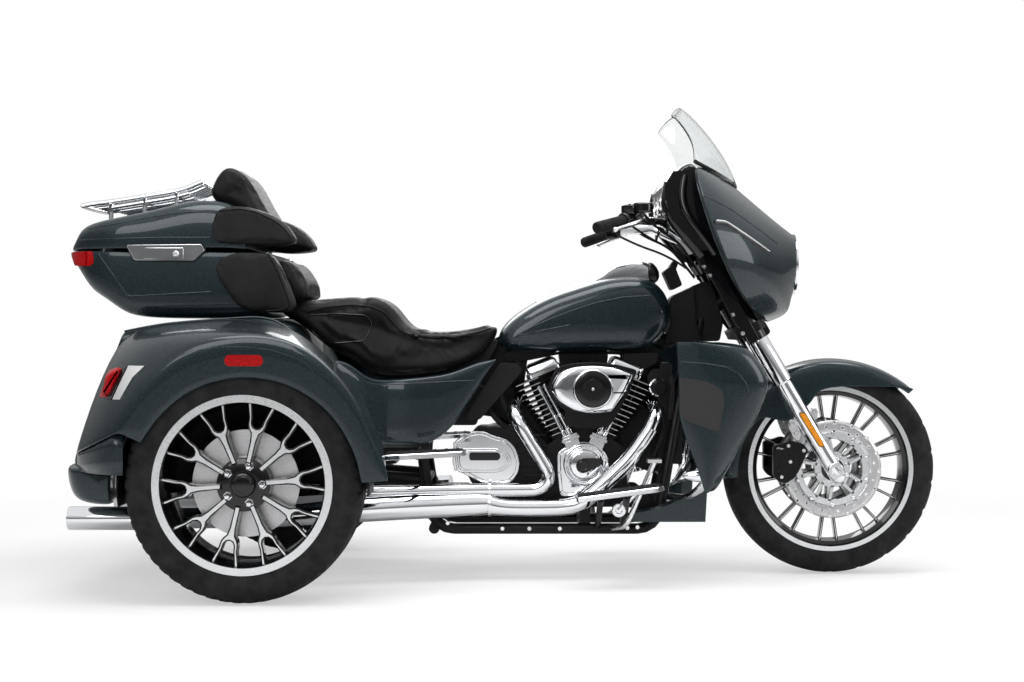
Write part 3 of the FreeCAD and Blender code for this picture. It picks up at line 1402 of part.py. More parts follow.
def make_exhausts():
    """Right: two headers, a muffler and a tailpipe. Left: a crossover, a muffler and a tailpipe."""
    out = S.crankcase_width / 2 + S.crankcase_radius * EXHAUST_OUT_SHARE
    radius = S.header_radius
    merge = (CRANK_X - S.crankcase_radius * MERGE_BEHIND_SHARE, -out,
             CRANK_Z - S.crankcase_radius * MERGE_UNDER_SHARE)
    lean = math.radians(S.cylinder_lean)
    port = FIN_STACK_TOP * PORT_SHARE
    reach = S.barrel_radius * HEADER_REACH_SHARE
    headers = []
    rear_port = (CRANK_X - port * math.sin(lean) - reach, -(S.barrel_radius),
                 CRANK_Z + port * math.cos(lean) - reach / 2)
    front_port = (CRANK_X + port * math.sin(lean) + reach, -(S.barrel_radius),
                  CRANK_Z + port * math.cos(lean) - reach / 2)
    headers.append(pipe([
        rear_port,
        (rear_port[0] - radius * 2.0, -out, rear_port[2] - radius * 2),
        (CRANK_X - S.crankcase_radius * REAR_HEADER_SHARE, -out, CRANK_Z),
        (CRANK_X - S.crankcase_radius * REAR_HEADER_FOOT_SHARE, -out, merge[2] + radius),
        (merge[0], -out, merge[2] + radius),
    ], radius, S.frame_bend))
    headers.append(pipe([
        front_port,
        (front_port[0] + radius * FRONT_HEADER_LEAN_SHARE, -out * FRONT_HEADER_OUT_SHARE,
         front_port[2] - radius * 2),
        (CRANK_X + S.crankcase_radius * FRONT_HEADER_SHARE, -out,
         CRANK_Z - S.crankcase_radius * FRONT_HEADER_KNEE_SHARE),
        (CRANK_X + S.crankcase_radius * FRONT_HEADER_FOOT_SHARE, -out, merge[2] - radius),
        (merge[0], -out, merge[2] - radius),
    ], radius, S.frame_bend))
    muffler_end = (REAR_X + S.rear_tyre_radius * MUFFLER_END_SHARE,
                   -S.tailpipe_offset * MUFFLER_OUT_SHARE, S.tailpipe_height + radius)
    start = (merge[0] + radius, merge[1], merge[2])
    muffler = straight_bar(start, muffler_end, S.muffler_radius)
    tail = pipe([muffler_end, (REAR_X - S.rear_tyre_radius * TAIL_START_SHARE, -S.tailpipe_offset,
                               S.tailpipe_height),
                 (CASE_REAR + S.overrun, -S.tailpipe_offset, S.tailpipe_height)],
                S.tailpipe_radius, S.frame_bend * TAIL_BEND_SHARE)
    heads = [doc.getObject(name).Shape for name in ("cylinder_rear_solid", "cylinder_front_solid")]
    right = one_solid(muffler.fuse(headers + [tail]).cut(heads))
    right = max(right.Solids, key=lambda solid: solid.Volume)
    shaped("exhaust_right", right)
    gearbox_rear = CRANK_X - S.gearbox_length * CROSSOVER_SHARE - S.crankcase_radius * GEARBOX_GAP_SHARE
    cross_x = gearbox_rear - S.muffler_radius
    along = (cross_x - start[0]) / (muffler_end[0] - start[0])
    left_start = (cross_x, -(start[1] + (muffler_end[1] - start[1]) * along),
                  start[2] + (muffler_end[2] - start[2]) * along)
    left_end = (muffler_end[0], -muffler_end[1], muffler_end[2])
    cross = straight_bar((cross_x - radius / 2, -left_start[1], left_start[2]),
                (cross_x - radius / 2, left_start[1], left_start[2]), radius * CROSSOVER_SIZE_SHARE)
    left_muffler = straight_bar(left_start, left_end, S.muffler_radius)
    left = one_solid(left_muffler.fuse([cross, mirrored(tail)]).cut(right))
    shaped("exhaust_left", max(left.Solids, key=lambda solid: solid.Volume))


HEADER_REACH_SHARE = 1.75


HOUSING_SIZE_SHARE = 1.9


def make_rear_axle():
    """Axle housing with stub shafts, final drive and swing arms."""
    housing_half = S.rear_wheel_track / 2 - S.rear_tyre_width / 2 - S.fender_wall * 2
    hub_face = S.rear_wheel_track / 2 + S.rear_rim_width / 2 - S.wheel_face_inset
    shaft = rod((REAR_X, -hub_face, REAR_Z), (REAR_X, hub_face, REAR_Z), S.rear_axle_radius)
    housing = straight_bar((REAR_X, -housing_half, REAR_Z), (REAR_X, housing_half, REAR_Z),
                           S.rear_axle_radius * HOUSING_SIZE_SHARE)
    drive = rod((REAR_X, -S.rear_hub_radius, REAR_Z), (REAR_X, S.rear_hub_radius, REAR_Z),
                S.rear_hub_radius)
    arms = []
    pivot_z = S.cradle_height + S.frame_bend * 2
    upright = S.body_base - S.frame_bend / 2 - S.cradle_height
    pivot_x = CRADLE_REAR - S.frame_bend / 2 * ((pivot_z - S.cradle_height) / upright)
    for side in (-1, 1):
        offset = S.cradle_half_width * ARM_PLACE_SHARE * side
        arms.append(straight_bar((pivot_x, offset, pivot_z), (REAR_X, offset, REAR_Z),
                                 S.frame_tube_radius * ARM_SIZE_SHARE))
    pivot = straight_bar((pivot_x, -S.cradle_half_width, pivot_z), (pivot_x, S.cradle_half_width, pivot_z),
                S.frame_tube_radius * PIVOT_SIZE_SHARE)
    frame = doc.getObject("frame_solid").Shape
    made = shaft.fuse([housing, drive, pivot] + arms).cut(frame)
    shaped("rear_axle", one_solid(max(made.Solids, key=lambda solid: solid.Volume)))


ARM_PLACE_SHARE = 0.8
ARM_SIZE_SHARE = 1.3
PIVOT_SIZE_SHARE = 0.8

# Tank, console and seat

TANK_SIDE_SHARES = [(0.0, 0.1), (0.0, 0.2), (0.05, 0.36), (0.145, 0.52), (0.29, 0.7), (0.48, 0.85),
                    (0.62, 0.975), (0.77, 1.0), (0.87, 0.955), (0.94, 0.87), (0.99, 0.7), (1.0, 0.47),
                    (0.97, 0.26), (0.91, 0.06), (0.86, 0.0), (0.05, 0.0)]
# Tank half-width layers: share of the half width, and how far the outline is drawn in there
TANK_LAYERS_SHARES = [(0.0, 0.0), (0.4, 0.0), (0.74, 0.055), (0.93, 0.14), (1.0, 0.25)]
TANK_MIDDLE_SHARES = (0.56, 0.42)
# The corners of the side outline that the console follows
CONSOLE_RUN = slice(3, 10)


def layered(points, layers, middle, half, height):
    """Half a rounded body: side outlines drawn in towards a middle point as they lie further out."""
    wires = []
    for out, inset in layers:
        drawn = []
        for x, z in points:
            drawn.append((x + (middle[0] - x) * inset, z + (middle[1] - z) * inset))
        wires.append(side_wire(drawn, -(half * out)))
    return Part.makeLoft(wires, True, True)


def make_tank():
    points = spread(TANK_SIDE_SHARES, S.tank_rear, S.tank_length, S.tank_base, S.tank_height)
    middle = (S.tank_rear + S.tank_length * TANK_MIDDLE_SHARES[0],
              S.tank_base + S.tank_height * TANK_MIDDLE_SHARES[1])
    right = layered(points, TANK_LAYERS_SHARES, middle, S.tank_width / 2, S.tank_height)
    tank = right.fuse(mirrored(right))
    tunnel_half = S.spine_radius + S.moving_gap
    tunnel = Part.makeBox(float(S.tank_length * 2), float(tunnel_half * 2),
                          float(SPINE_Z + S.spine_radius * SADDLE_SHARE - S.tank_base),
                          V(float(S.tank_rear - S.tank_length / 2), -float(tunnel_half),
                            float(S.tank_base)))
    frame = doc.getObject("frame_solid").Shape
    tank = one_solid(tank.cut([tunnel, frame]))
    shaped("fuel_tank", max(tank.Solids, key=lambda solid: solid.Volume))
    crown = points[CONSOLE_RUN]
    console_points = [(x, z + S.console_height) for x, z in crown]
    console_points = console_points + [(x, z - S.console_height) for x, z in reversed(crown)]
    console = side_slab(console_points, -S.tank_width * CONSOLE_SHARE / 2, S.tank_width * CONSOLE_SHARE / 2)
    console = console.cut(tank)
    shaped("tank_console", max(console.Solids, key=lambda solid: solid.CenterOfMass.z))


CONSOLE_SHARE = 0.3
SADDLE_SHARE = 0.9

SEAT_SHARES = [(0.0, 0.73), (0.09, 0.955), (0.16, 0.98), (0.29, 1.0), (0.34, 0.97), (0.4, 1.0),
               (0.47, 0.91), (0.525, 0.66), (0.567, 0.56), (0.66, 0.55), (0.78, 0.56), (0.885, 0.62),
               (0.968, 0.68), (1.0, 0.66), (0.985, 0.53), (0.93, 0.32), (0.845, 0.18), (0.74, 0.07),
               (0.575, 0.03), (0.4, 0.0), (0.34, 0.1), (0.25, 0.28), (0.17, 0.3)]
SEAT_PLAN_SHARES = [(0.0, 0.72), (0.12, 0.92), (0.36, 1.0), (0.5, 0.95), (0.62, 0.98), (0.76, 0.92),
                    (0.9, 0.6), (1.0, 0.4)]


def make_seat():
    """Two-up seat pan and cushion, as one plain solid."""
    half = S.seat_width / 2
    points = spread(SEAT_SHARES, S.seat_rear, S.seat_length, S.seat_base, S.seat_height)
    block = side_slab(points, -half, half)
    right = [(S.seat_rear + S.seat_length * ahead, -(half * out)) for ahead, out in SEAT_PLAN_SHARES]
    plan = plan_slab(right + [(x, -y) for x, y in reversed(right)], S.seat_base - S.overrun,
                     S.seat_base + S.seat_height + S.overrun)
    seat = block.common(plan)
    keep_off = [doc.getObject(name).Shape for name in ("frame_solid", "fuel_tank_solid",
                                                       "tank_console_solid")]
    seat = seat.cut(keep_off)
    shaped("seat", max(seat.Solids, key=lambda solid: solid.Volume))


# Rear body, fenders and side covers

BODY_FRONT_SHARE = 0.3
BODY_FRONT = REAR_X + S.body_length * BODY_FRONT_SHARE
BODY_SHARES = [(0.0, 0.0), (0.0, 0.1), (0.195, 0.885), (0.22, 0.905), (0.31, 0.935), (0.45, 0.965),
               (0.72, 1.0), (0.84, 0.88), (0.9, 0.62), (1.0, 0.42), (1.0, 0.2), (0.93, 0.0)]
BODY_TAIL_SHARE = 0.26


TAIL_RISE_SHARE = 0.16
BELLY_SHARE = 0.9


def body_points(inset):
    """The trunk's side outline, drawn in by a skin."""
    start = CASE_REAR + S.overall_length * TAIL_TUCK_SHARE
    length = BODY_FRONT - start
    drop = S.body_height * BODY_TAIL_SHARE
    base = S.body_base + inset
    top = S.body_base + S.body_height - inset
    points = spread(BODY_SHARES[2:], start, length, base, top - base)
    tail = [(start + inset, base - drop), (start + inset, base - drop + S.body_height * TAIL_RISE_SHARE)]
    belly = [(REAR_X - S.rear_tyre_radius * BELLY_SHARE - inset, base),
             (REAR_X - S.rear_tyre_radius * BELLY_SHARE - inset, base - drop)]
    shifted = []
    for x, z in points:
        pull = inset if x < REAR_X else -inset
        shifted.append((x + pull, z))
    return tail + shifted + belly


TAIL_TUCK_SHARE = 0.025


def door_line():
    """Lower and upper ends of the trunk door's outer face, in (x, z)."""
    points = body_points(Size(0.0))
    low, high = points[1], points[2]
    lower = (low[0] + (high[0] - low[0]) * DOOR_LOW_SHARE, low[1] + (high[1] - low[1]) * DOOR_LOW_SHARE)
    upper = (low[0] + (high[0] - low[0]) * DOOR_HIGH_SHARE, low[1] + (high[1] - low[1]) * DOOR_HIGH_SHARE)
    return lower, upper


DOOR_LOW_SHARE = 0.06
DOOR_HIGH_SHARE = 0.93


def door_panel(grow, depth):
    """The slanted panel that fills the trunk's rear opening, grown by a gap on its edges."""
    lower, upper = door_line()
    along = V(float(upper[0] - lower[0]), 0, float(upper[1] - lower[1]))
    unit = V(along).normalize()
    into = V(unit.z, 0, -unit.x)
    start = V(float(lower[0]), 0, float(lower[1])) - unit * float(grow)
    end = start + unit * (along.Length + float(grow) * 2)
    back = into * float(depth)
    out = into * -float(grow)
    half = S.door_width / 2 + grow
    corners = [start + out, end + out, end + back, start + back]
    return side_slab([(point.x, point.z) for point in corners], -half, half)


DOOR_CUT_SHARE = 6


def make_trunk():
    """Hollow trunk body with its rear opening, and the drop-down door."""
    half = S.body_width / 2
    block = side_slab(body_points(Size(0.0)), -half, half)
    hollow = side_slab(body_points(S.body_skin), -half + S.body_skin, half - S.body_skin)
    shell = block.cut(hollow)
    opening = door_panel(S.moving_gap, S.body_skin * DOOR_CUT_SHARE)
    shell = shell.cut(opening)
    shaped("trunk_body", max(shell.Solids, key=lambda solid: solid.Volume))
    lower, upper = door_line()
    reach = S.door_width / 2 + S.moving_gap - S.running_gap
    barrel = rod((lower[0], -reach, lower[1]), (lower[0], reach, lower[1]), S.hinge_radius)
    shaped("trunk_door", one_solid(door_panel(Size(0.0), S.door_thickness).fuse(barrel)))


# Shares of the tyre's radius, from the axle: the outline at the flank and where it meets the trunk
FENDER_OUTER_SHARES = [(-1.02, 0.436), (-0.94, 0.7), (-0.735, 0.92), (-0.514, 1.11), (-0.257, 1.21),
                       (0.056, 1.254), (0.37, 1.22), (0.63, 1.09), (0.85, 0.87), (1.0, 0.646), (1.1, 0.37),
                       (1.2, 0.2), (1.23, 0.04), (1.02, 0.03), (0.0, 0.0), (-1.0, 0.3)]
FENDER_INNER_SHARES = [(-1.57, 0.18), (-1.38, 0.77), (-1.147, 1.279), (-0.877, 1.338), (-0.55, 1.38),
                       (0.109, 1.406), (0.38, 1.28), (0.58, 1.13), (0.76, 0.95), (0.95, 0.7), (1.09, 0.4),
                       (1.15, 0.2), (1.15, 0.04), (1.0, 0.03), (0.0, 0.0), (-1.4, 0.12)]
# Layers across the fender: share of its width, and how far the outline has moved to the flank's
FENDER_LAYERS_SHARES = [(0.0, 0.0), (0.45, 0.22), (0.8, 0.6), (1.0, 1.0)]


ARCH_AHEAD_SHARE = 0.04
ARCH_DROP_SHARE = 0.05
SHAFT_GAP_SHARE = 3.2


def fender():
    """A wide rear fender over one wheel, open below, with an arch in its outer wall."""
    radius = S.rear_tyre_radius
    inner = S.body_width / 2
    depth = HALF_WIDTH - inner
    wires = []
    for out, share in FENDER_LAYERS_SHARES:
        drawn = []
        for (x, z), (flank_x, flank_z) in zip(FENDER_INNER_SHARES, FENDER_OUTER_SHARES):
            drawn.append((REAR_X + radius * (x + (flank_x - x) * share),
                          REAR_Z + radius * (z + (flank_z - z) * share)))
        wires.append(side_wire(drawn, -(inner + depth * out)))
    block = Part.makeLoft(wires, True, True)
    room = radius + S.arch_gap
    well_inner = inner + S.fender_wall
    well_outer = HALF_WIDTH - S.fender_wall
    well = rod((REAR_X, -well_outer, REAR_Z), (REAR_X, -well_inner, REAR_Z), room)
    pit = Part.makeBox(float(room * 2), float(well_outer - well_inner), float(room * 2),
                       V(float(REAR_X - room), -float(well_outer), float(REAR_Z - room * 2)))
    arch_radius = radius * ARCH_SHARE
    arch = rod((REAR_X + radius * ARCH_AHEAD_SHARE, -HALF_WIDTH - S.overrun,
                REAR_Z - radius * ARCH_DROP_SHARE),
               (REAR_X + radius * ARCH_AHEAD_SHARE, -well_outer + S.overrun,
                REAR_Z - radius * ARCH_DROP_SHARE), arch_radius)
    gate = Part.makeBox(float(arch_radius * 2), float(S.overrun * 2 + S.fender_wall), float(room * 2),
                        V(float(REAR_X + radius * ARCH_AHEAD_SHARE - arch_radius),
                          -float(HALF_WIDTH + S.overrun),
                          float(REAR_Z - radius * ARCH_DROP_SHARE - room * 2)))
    shaft_gap = rod((REAR_X, -well_inner - S.overrun, REAR_Z), (REAR_X, -inner + S.overrun, REAR_Z),
                    S.rear_axle_radius * SHAFT_GAP_SHARE)
    slot = Part.makeBox(float(S.rear_axle_radius * SHAFT_GAP_SHARE * 2),
                        float(S.fender_wall + S.overrun * 2), float(radius * 2),
                        V(float(REAR_X - S.rear_axle_radius * SHAFT_GAP_SHARE),
                          -float(well_inner + S.overrun),
                          float(REAR_Z - radius * 2)))
    made = block.cut([well, pit, arch, gate, shaft_gap, slot, marker_block()])
    return max(made.Solids, key=lambda solid: solid.Volume)


MARKER_LENGTH_SHARE = 0.3
MARKER_HEIGHT_SHARE = 0.08
MARKER_BEHIND_SHARE = 0.12


def marker_block():
    """The red marker let into the flank of the right fender."""
    radius = S.rear_tyre_radius
    return Part.makeBox(float(radius * MARKER_LENGTH_SHARE), float(S.fender_wall / 2),
                        float(radius * MARKER_HEIGHT_SHARE),
                        V(float(REAR_X - radius * MARKER_BEHIND_SHARE), -float(HALF_WIDTH),
                          float(REAR_Z + radius * 1.0)))


ARCH_SHARE = 0.955


def make_fenders():
    right = fender()
    body = doc.getObject("trunk_body_solid").Shape
    right = max(right.cut(body).Solids, key=lambda solid: solid.Volume)
    shaped("fender_right", right)
    shaped("fender_left", mirrored(right))


SIDE_COVER_SHARES = [(0.0, 1.0), (0.07, 0.97), (0.21, 0.755), (0.26, 0.72), (0.26, 0.79), (0.59, 0.8),
                     (0.75, 0.88), (0.88, 0.97), (1.0, 1.0), (0.9, 0.75), (0.69, 0.17), (0.56, 0.0),
                     (0.31, 0.0), (0.17, 0.1), (0.0, 0.5)]


COVER_TOP_SHARE = 0.24
COVER_TAPER_SHARE = 0.45
COVER_STEP_SHARE = 3


def make_side_covers():
    """Painted covers below the seat, wider towards the fenders."""
    front = S.tank_rear
    rear = BODY_FRONT + S.running_gap
    length = front - rear
    base = S.body_base
    height = S.seat_base + S.seat_height * COVER_TOP_SHARE - base
    points = spread(SIDE_COVER_SHARES, rear, length, base, height)
    near = S.cradle_half_width + S.frame_tube_radius + S.running_gap * 2
    far = S.body_width / 2
    block = side_slab(points, -far, -near)
    wedge = plan_slab([(front + S.overrun, -near - S.overrun),
                       (rear + length * COVER_TAPER_SHARE, -near - S.overrun * COVER_STEP_SHARE),
                       (rear - S.overrun, -far), (rear - S.overrun, -far * 2),
                       (front + S.overrun, -far * 2)], base - S.overrun, base + height + S.overrun)
    cover = block.cut([wedge, doc.getObject("seat_solid").Shape])
    cover = max(cover.Solids, key=lambda solid: solid.Volume)
    shaped("side_covers", both_sides(cover))


BUMPER_LENGTH_SHARE = 0.36
BUMPER_HEIGHT_SHARE = 0.3
BUMPER_TUCK_SHARE = 0.0175
BUMPER_DROP_SHARE = 0.45
BUMPER_WING_SHARE = 7
PLATE_DROP_SHARE = 0.4


def make_bumper():
    """The rounded lower valance across the tail."""
    points = body_points(Size(0.0))
    low = points[0]
    length = S.body_height * BUMPER_LENGTH_SHARE
    height = S.body_height * BUMPER_HEIGHT_SHARE
    start = CASE_REAR + S.overall_length * BUMPER_TUCK_SHARE
    outline = spread(BUMPER_SHARES, start, length, low[1] - height * BUMPER_DROP_SHARE, height)
    half = S.body_width / 2 + S.fender_wall * BUMPER_WING_SHARE
    block = side_slab(outline, -half, half)
    body = doc.getObject("trunk_body_solid").Shape
    right = doc.getObject("fender_right_solid").Shape
    plate_base = low[1] - height * PLATE_DROP_SHARE
    plate = Part.makeBox(float(S.plate_thickness + length * PLATE_BLOCK_SHARE), float(S.plate_width),
                         float(S.plate_height),
                         V(float(start - S.plate_thickness), -float(S.plate_width / 2), float(plate_base)))
    holes = []
    for side in (-1, 1):
        for end in (-1, 1):
            level = plate_base + S.plate_height / 2 + S.plate_hole_rise / 2 * end
            holes.append(rod((start - S.plate_thickness - S.overrun, S.plate_hole_span / 2 * side, level),
                             (start + S.plate_thickness, S.plate_hole_span / 2 * side,
                              level), S.plate_hole_radius))
    bumper = block.fuse(plate).cut([body, right, mirrored(right)] + holes)
    shaped("rear_bumper", max(bumper.Solids, key=lambda solid: solid.Volume))


PLATE_BLOCK_SHARE = 0.3
BUMPER_SHARES = [(0.02, 0.6), (0.0, 0.95), (0.16, 1.0), (1.0, 0.9), (1.0, 0.0), (0.25, 0.08), (0.08, 0.3)]


LAMP_LENS_SHARE = 2.6
LAMP_HEIGHT_SHARE = 0.3
LAMP_BEHIND_SHARE = 1.2
LAMP_RISE_SHARE = 0.78
LAMP_LENGTH_SHARE = 0.35
LAMP_WIDTH_SHARE = 3.6


def make_lamps():
    """Tail lamps on the backs of the fenders and side markers on their flanks."""
    fender_shape = doc.getObject("fender_right_solid").Shape
    radius = S.rear_tyre_radius
    middle = (S.body_width / 2 + HALF_WIDTH) / 2
    lens = S.fender_wall * LAMP_LENS_SHARE
    tall = radius * LAMP_HEIGHT_SHARE
    place = V(float(REAR_X - radius * LAMP_BEHIND_SHARE), -float(middle),
              float(REAR_Z + radius * LAMP_RISE_SHARE))
    lamp = Part.makeBox(float(radius * LAMP_LENGTH_SHARE), float(lens * LAMP_WIDTH_SHARE), float(tall),
                        V(place.x, place.y - float(lens * LAMP_WIDTH_SHARE / 2), place.z))
    lamp = lamp.cut(fender_shape)
    lamp = min(lamp.Solids, key=lambda solid: solid.CenterOfMass.x)
    shaped("tail_lamps", both_sides(lamp))
    shaped("side_markers", both_sides(marker_block()))


# Top case

CASE_SIDE_SHARES = [(0.0, 1.0), (0.045, 0.77), (0.06, 0.7), (0.13, 0.4), (0.2, 0.28), (0.32, 0.03),
                    (0.42, 0.0), (1.0, 0.0), (1.0, 1.0)]
LID_SIDE_SHARES = [(0.0, 0.0), (0.028, 0.12), (0.075, 0.43), (0.135, 0.54), (0.24, 0.63), (0.45, 0.81),
                   (0.6, 0.97), (0.7, 1.0), (0.8, 0.95), (0.86, 0.6), (0.9, 0.0)]


def case_slab(side_shares, inset, base, top):
    """One half of the case: its side outline and its rounded plan, drawn in by a skin."""
    length = S.case_front - CASE_REAR
    half = S.case_width / 2 - inset
    points = spread(side_shares, CASE_REAR + inset, length - inset * 2, base, top - base)
    block = side_slab(points, -half, half)
    corner = S.case_width * CASE_CORNER_SHARE - inset
    front_corner = S.case_width * CASE_FRONT_CORNER_SHARE - inset
    rear, front = CASE_REAR + inset, S.case_front - inset
    plan = rounded_plan_slab([(rear, -half), (front, -half), (front, half), (rear, half)],
                             [corner, front_corner, front_corner,
                              corner], base - S.overrun, top + S.overrun)
    return block.common(plan)


CASE_CORNER_SHARE = 0.24
CASE_FRONT_CORNER_SHARE = 0.1


FOOT_WIDTH_SHARE = 0.5
FOOT_HEIGHT_SHARE = 4


def make_case():
    """Hollow base and lid, which meet at the split line with a small gap."""
    split = S.case_split
    outer = case_slab(CASE_SIDE_SHARES, Size(0.0), S.case_base, split)
    inner = case_slab(CASE_SIDE_SHARES, S.case_skin, S.case_base + S.case_skin, split + S.overrun)
    feet = []
    for share in CASE_FOOT_SHARES:
        place = CASE_REAR + (S.case_front - CASE_REAR) * share
        feet.append(Part.makeBox(float(S.body_skin * 2), float(S.case_width * FOOT_WIDTH_SHARE),
                                 float(S.case_skin * FOOT_HEIGHT_SHARE),
                                 V(float(place), -float(S.case_width * FOOT_WIDTH_SHARE / 2),
                                   float(S.case_base - S.case_skin * FOOT_HEIGHT_SHARE))))
    body = doc.getObject("trunk_body_solid").Shape
    base = outer.cut(inner).fuse(feet + [lid_hinge(0)]).cut(body)
    shaped("case_base", one_solid(max(base.Solids, key=lambda solid: solid.Volume)))
    low = split + S.lid_gap
    outer = case_slab(LID_SIDE_SHARES, Size(0.0), low, S.case_top)
    inner = case_slab(LID_SIDE_SHARES, S.case_skin, low - S.overrun, S.case_top - S.case_skin)
    lid = outer.cut(inner).fuse(lid_hinge(1))
    shaped("case_lid", max(lid.Solids, key=lambda solid: solid.Volume))


def lid_hinge(upper):
    """One knuckle of the hinge on the case's left, with the leaf that carries it."""
    line_y = S.case_width / 2 + S.hinge_offset
    line_z = S.case_split + S.lid_gap / 2
    start = CASE_REAR + (S.case_front - CASE_REAR) * HINGE_PLACE_SHARE + (S.hinge_length
                                                                          + S.running_gap) * upper
    knuckle = rod((start, line_y, line_z), (start + S.hinge_length, line_y, line_z), S.hinge_radius)
    low = line_z + S.lid_gap / 2 if upper else line_z - S.lid_gap / 2 - S.lid_gap
    leaf = Part.makeBox(float(S.hinge_length), float(S.hinge_offset + S.lid_gap), float(S.lid_gap),
                        V(float(start), float(S.case_width / 2 - S.lid_gap), float(low)))
    return knuckle.fuse(leaf)


HINGE_PLACE_SHARE = 0.36
CASE_FOOT_SHARES = (0.45, 0.85)


CASE_LAMP_LENGTH_SHARE = 0.14
CASE_LAMP_HEIGHT_SHARE = 0.2
CASE_LAMP_OUT_SHARE = 1.1
CASE_LAMP_RISE_SHARE = 0.22


def make_case_lamps():
    """Red lamps that wrap the rear corners of the case base."""
    length = S.case_front - CASE_REAR
    height = S.case_split - S.case_base
    base = doc.getObject("case_base_solid").Shape
    corner = case_slab(CASE_SIDE_SHARES, -S.case_skin / 2, S.case_base, S.case_split)
    band = Part.makeBox(float(length * CASE_LAMP_LENGTH_SHARE), float(S.case_width),
                        float(height * CASE_LAMP_HEIGHT_SHARE),
                        V(float(CASE_REAR - S.overrun), -float(S.case_width * CASE_LAMP_OUT_SHARE),
                          float(S.case_split - height * CASE_LAMP_RISE_SHARE)))
    lamp = corner.common(band).cut(case_slab(CASE_SIDE_SHARES, Size(0.0), S.case_base, S.case_split))
    lamp = lamp.cut(base)
    keep = Part.makeBox(float(S.overall_length), float(S.case_width), float(height),
                        V(float(CASE_REAR), -float(S.case_width * CASE_LAMP_OUT_SHARE), float(S.case_base)))
    lamp = lamp.common(keep)
    shaped("case_lamps", both_sides(max(lamp.Solids, key=lambda solid: solid.Volume)))




RACK_WIDTH_SHARE = 0.28
RACK_RADIUS_SHARE = 0.6
RACK_REAR_SHARE = 0.05
RACK_FRONT_SHARE = 0.6
RACK_TILT_SHARE = 0.06
RACK_BAR_SIZE_SHARE = 0.8
RACK_BAR_SHARES = (0.3, 0.62)


def make_rack():
    """Chromed luggage rack: a bent rail with two cross bars on four short posts."""
    lid = doc.getObject("case_lid_solid").Shape
    length = S.case_front - CASE_REAR
    half = S.case_width * RACK_WIDTH_SHARE
    radius = S.guard_radius * RACK_RADIUS_SHARE
    height = S.case_top + radius * 2
    rear = CASE_REAR + length * RACK_REAR_SHARE
    front = CASE_REAR + length * RACK_FRONT_SHARE
    low = height - length * RACK_TILT_SHARE
    rail = pipe([(front, -half, height), (rear, -half, low), (rear, half, low), (front, half, height)],
                radius,
                S.frame_bend)
    bars = [rail]
    for share in RACK_BAR_SHARES:
        place = rear + (front - rear) * share
        level = low + (height - low) * share
        bars.append(straight_bar((place, -half, level), (place, half, level), radius * RACK_BAR_SIZE_SHARE))
        for side in (-1, 1):
            bars.append(straight_bar((place, half * side, level),
                                     (place, half * side, S.case_split + S.case_skin), radius))
    cross = straight_bar((front, -half, height), (front, half, height), radius)
    made = rail.fuse(bars[1:] + [cross])
    whole_lid = case_slab(LID_SIDE_SHARES, Size(0.0), S.case_split + S.lid_gap, S.case_top)
    made = made.cut([whole_lid, lid])
    shaped("luggage_rack", one_solid(max(made.Solids, key=lambda solid: solid.Volume)))


UPPER_PAD_SHARES = [(0.66, 0.75), (0.68, 1.15), (0.73, 1.68), (0.79, 1.75), (0.87, 1.52), (0.965, 0.75),
                    (1.06, 0.1), (0.9, 0.06), (0.9, 0.5)]
ARM_SHARES = [(0.72, 0.06), (0.74, 0.8), (0.86, 0.86), (1.0, 0.72), (1.1, 0.47), (1.15, 0.2), (1.13, 0.06)]


UPPER_PAD_WIDTH_SHARE = 0.31
ARM_INNER_SHARE = 0.36
ARM_LINK_SHARES = [(0.92, 0.06), (0.92, 0.8), (1.02, 0.6), (1.06, 0.06)]


def make_upper_backrest():
    """Backrest pad and two armrests carried by the lid."""
    length = S.case_front - CASE_REAR
    low = S.case_split + S.lid_gap
    height = S.case_top - low
    half = S.case_width * UPPER_PAD_WIDTH_SHARE
    pad = side_slab(spread(UPPER_PAD_SHARES, CASE_REAR, length, low, height), -half, half)
    arm_out = S.case_width / 2 + S.case_skin
    arm_in = S.case_width * ARM_INNER_SHARE
    arm = side_slab(spread(ARM_SHARES, CASE_REAR, length, low, height), -arm_out, -arm_in)
    link = side_slab(spread(ARM_LINK_SHARES, CASE_REAR, length, low, height),
                     -arm_out, -half + S.overrun)
    whole = case_slab(LID_SIDE_SHARES, Size(0.0), low, S.case_top)
    made = pad.fuse([arm, link, mirrored(arm), mirrored(link)])
    made = made.cut([whole, doc.getObject("luggage_rack_solid").Shape])
    shaped("backrest_upper", one_solid(max(made.Solids, key=lambda solid: solid.Volume)))


SIDE_PAD_SHARES = [(0.76, 1.0), (0.985, 1.0), (1.03, 0.85), (1.12, 0.28), (1.13, 0.14), (1.09, 0.05),
                   (0.85, 0.06), (0.8, 0.3), (0.69, 0.76)]
LOWER_PAD_SHARES = [(1.0, 0.9), (1.08, 0.9), (1.14, 0.6), (1.2, 0.28), (1.12, 0.24), (1.0, 0.24)]


LOWER_PAD_WIDTH_SHARE = 0.34
PAD_TIP_SHARES = [(0.97, 1.0), (0.97, 0.06), (1.09, 0.05), (1.13, 0.14), (1.12, 0.28), (1.03, 0.85),
                  (0.985, 1.0)]


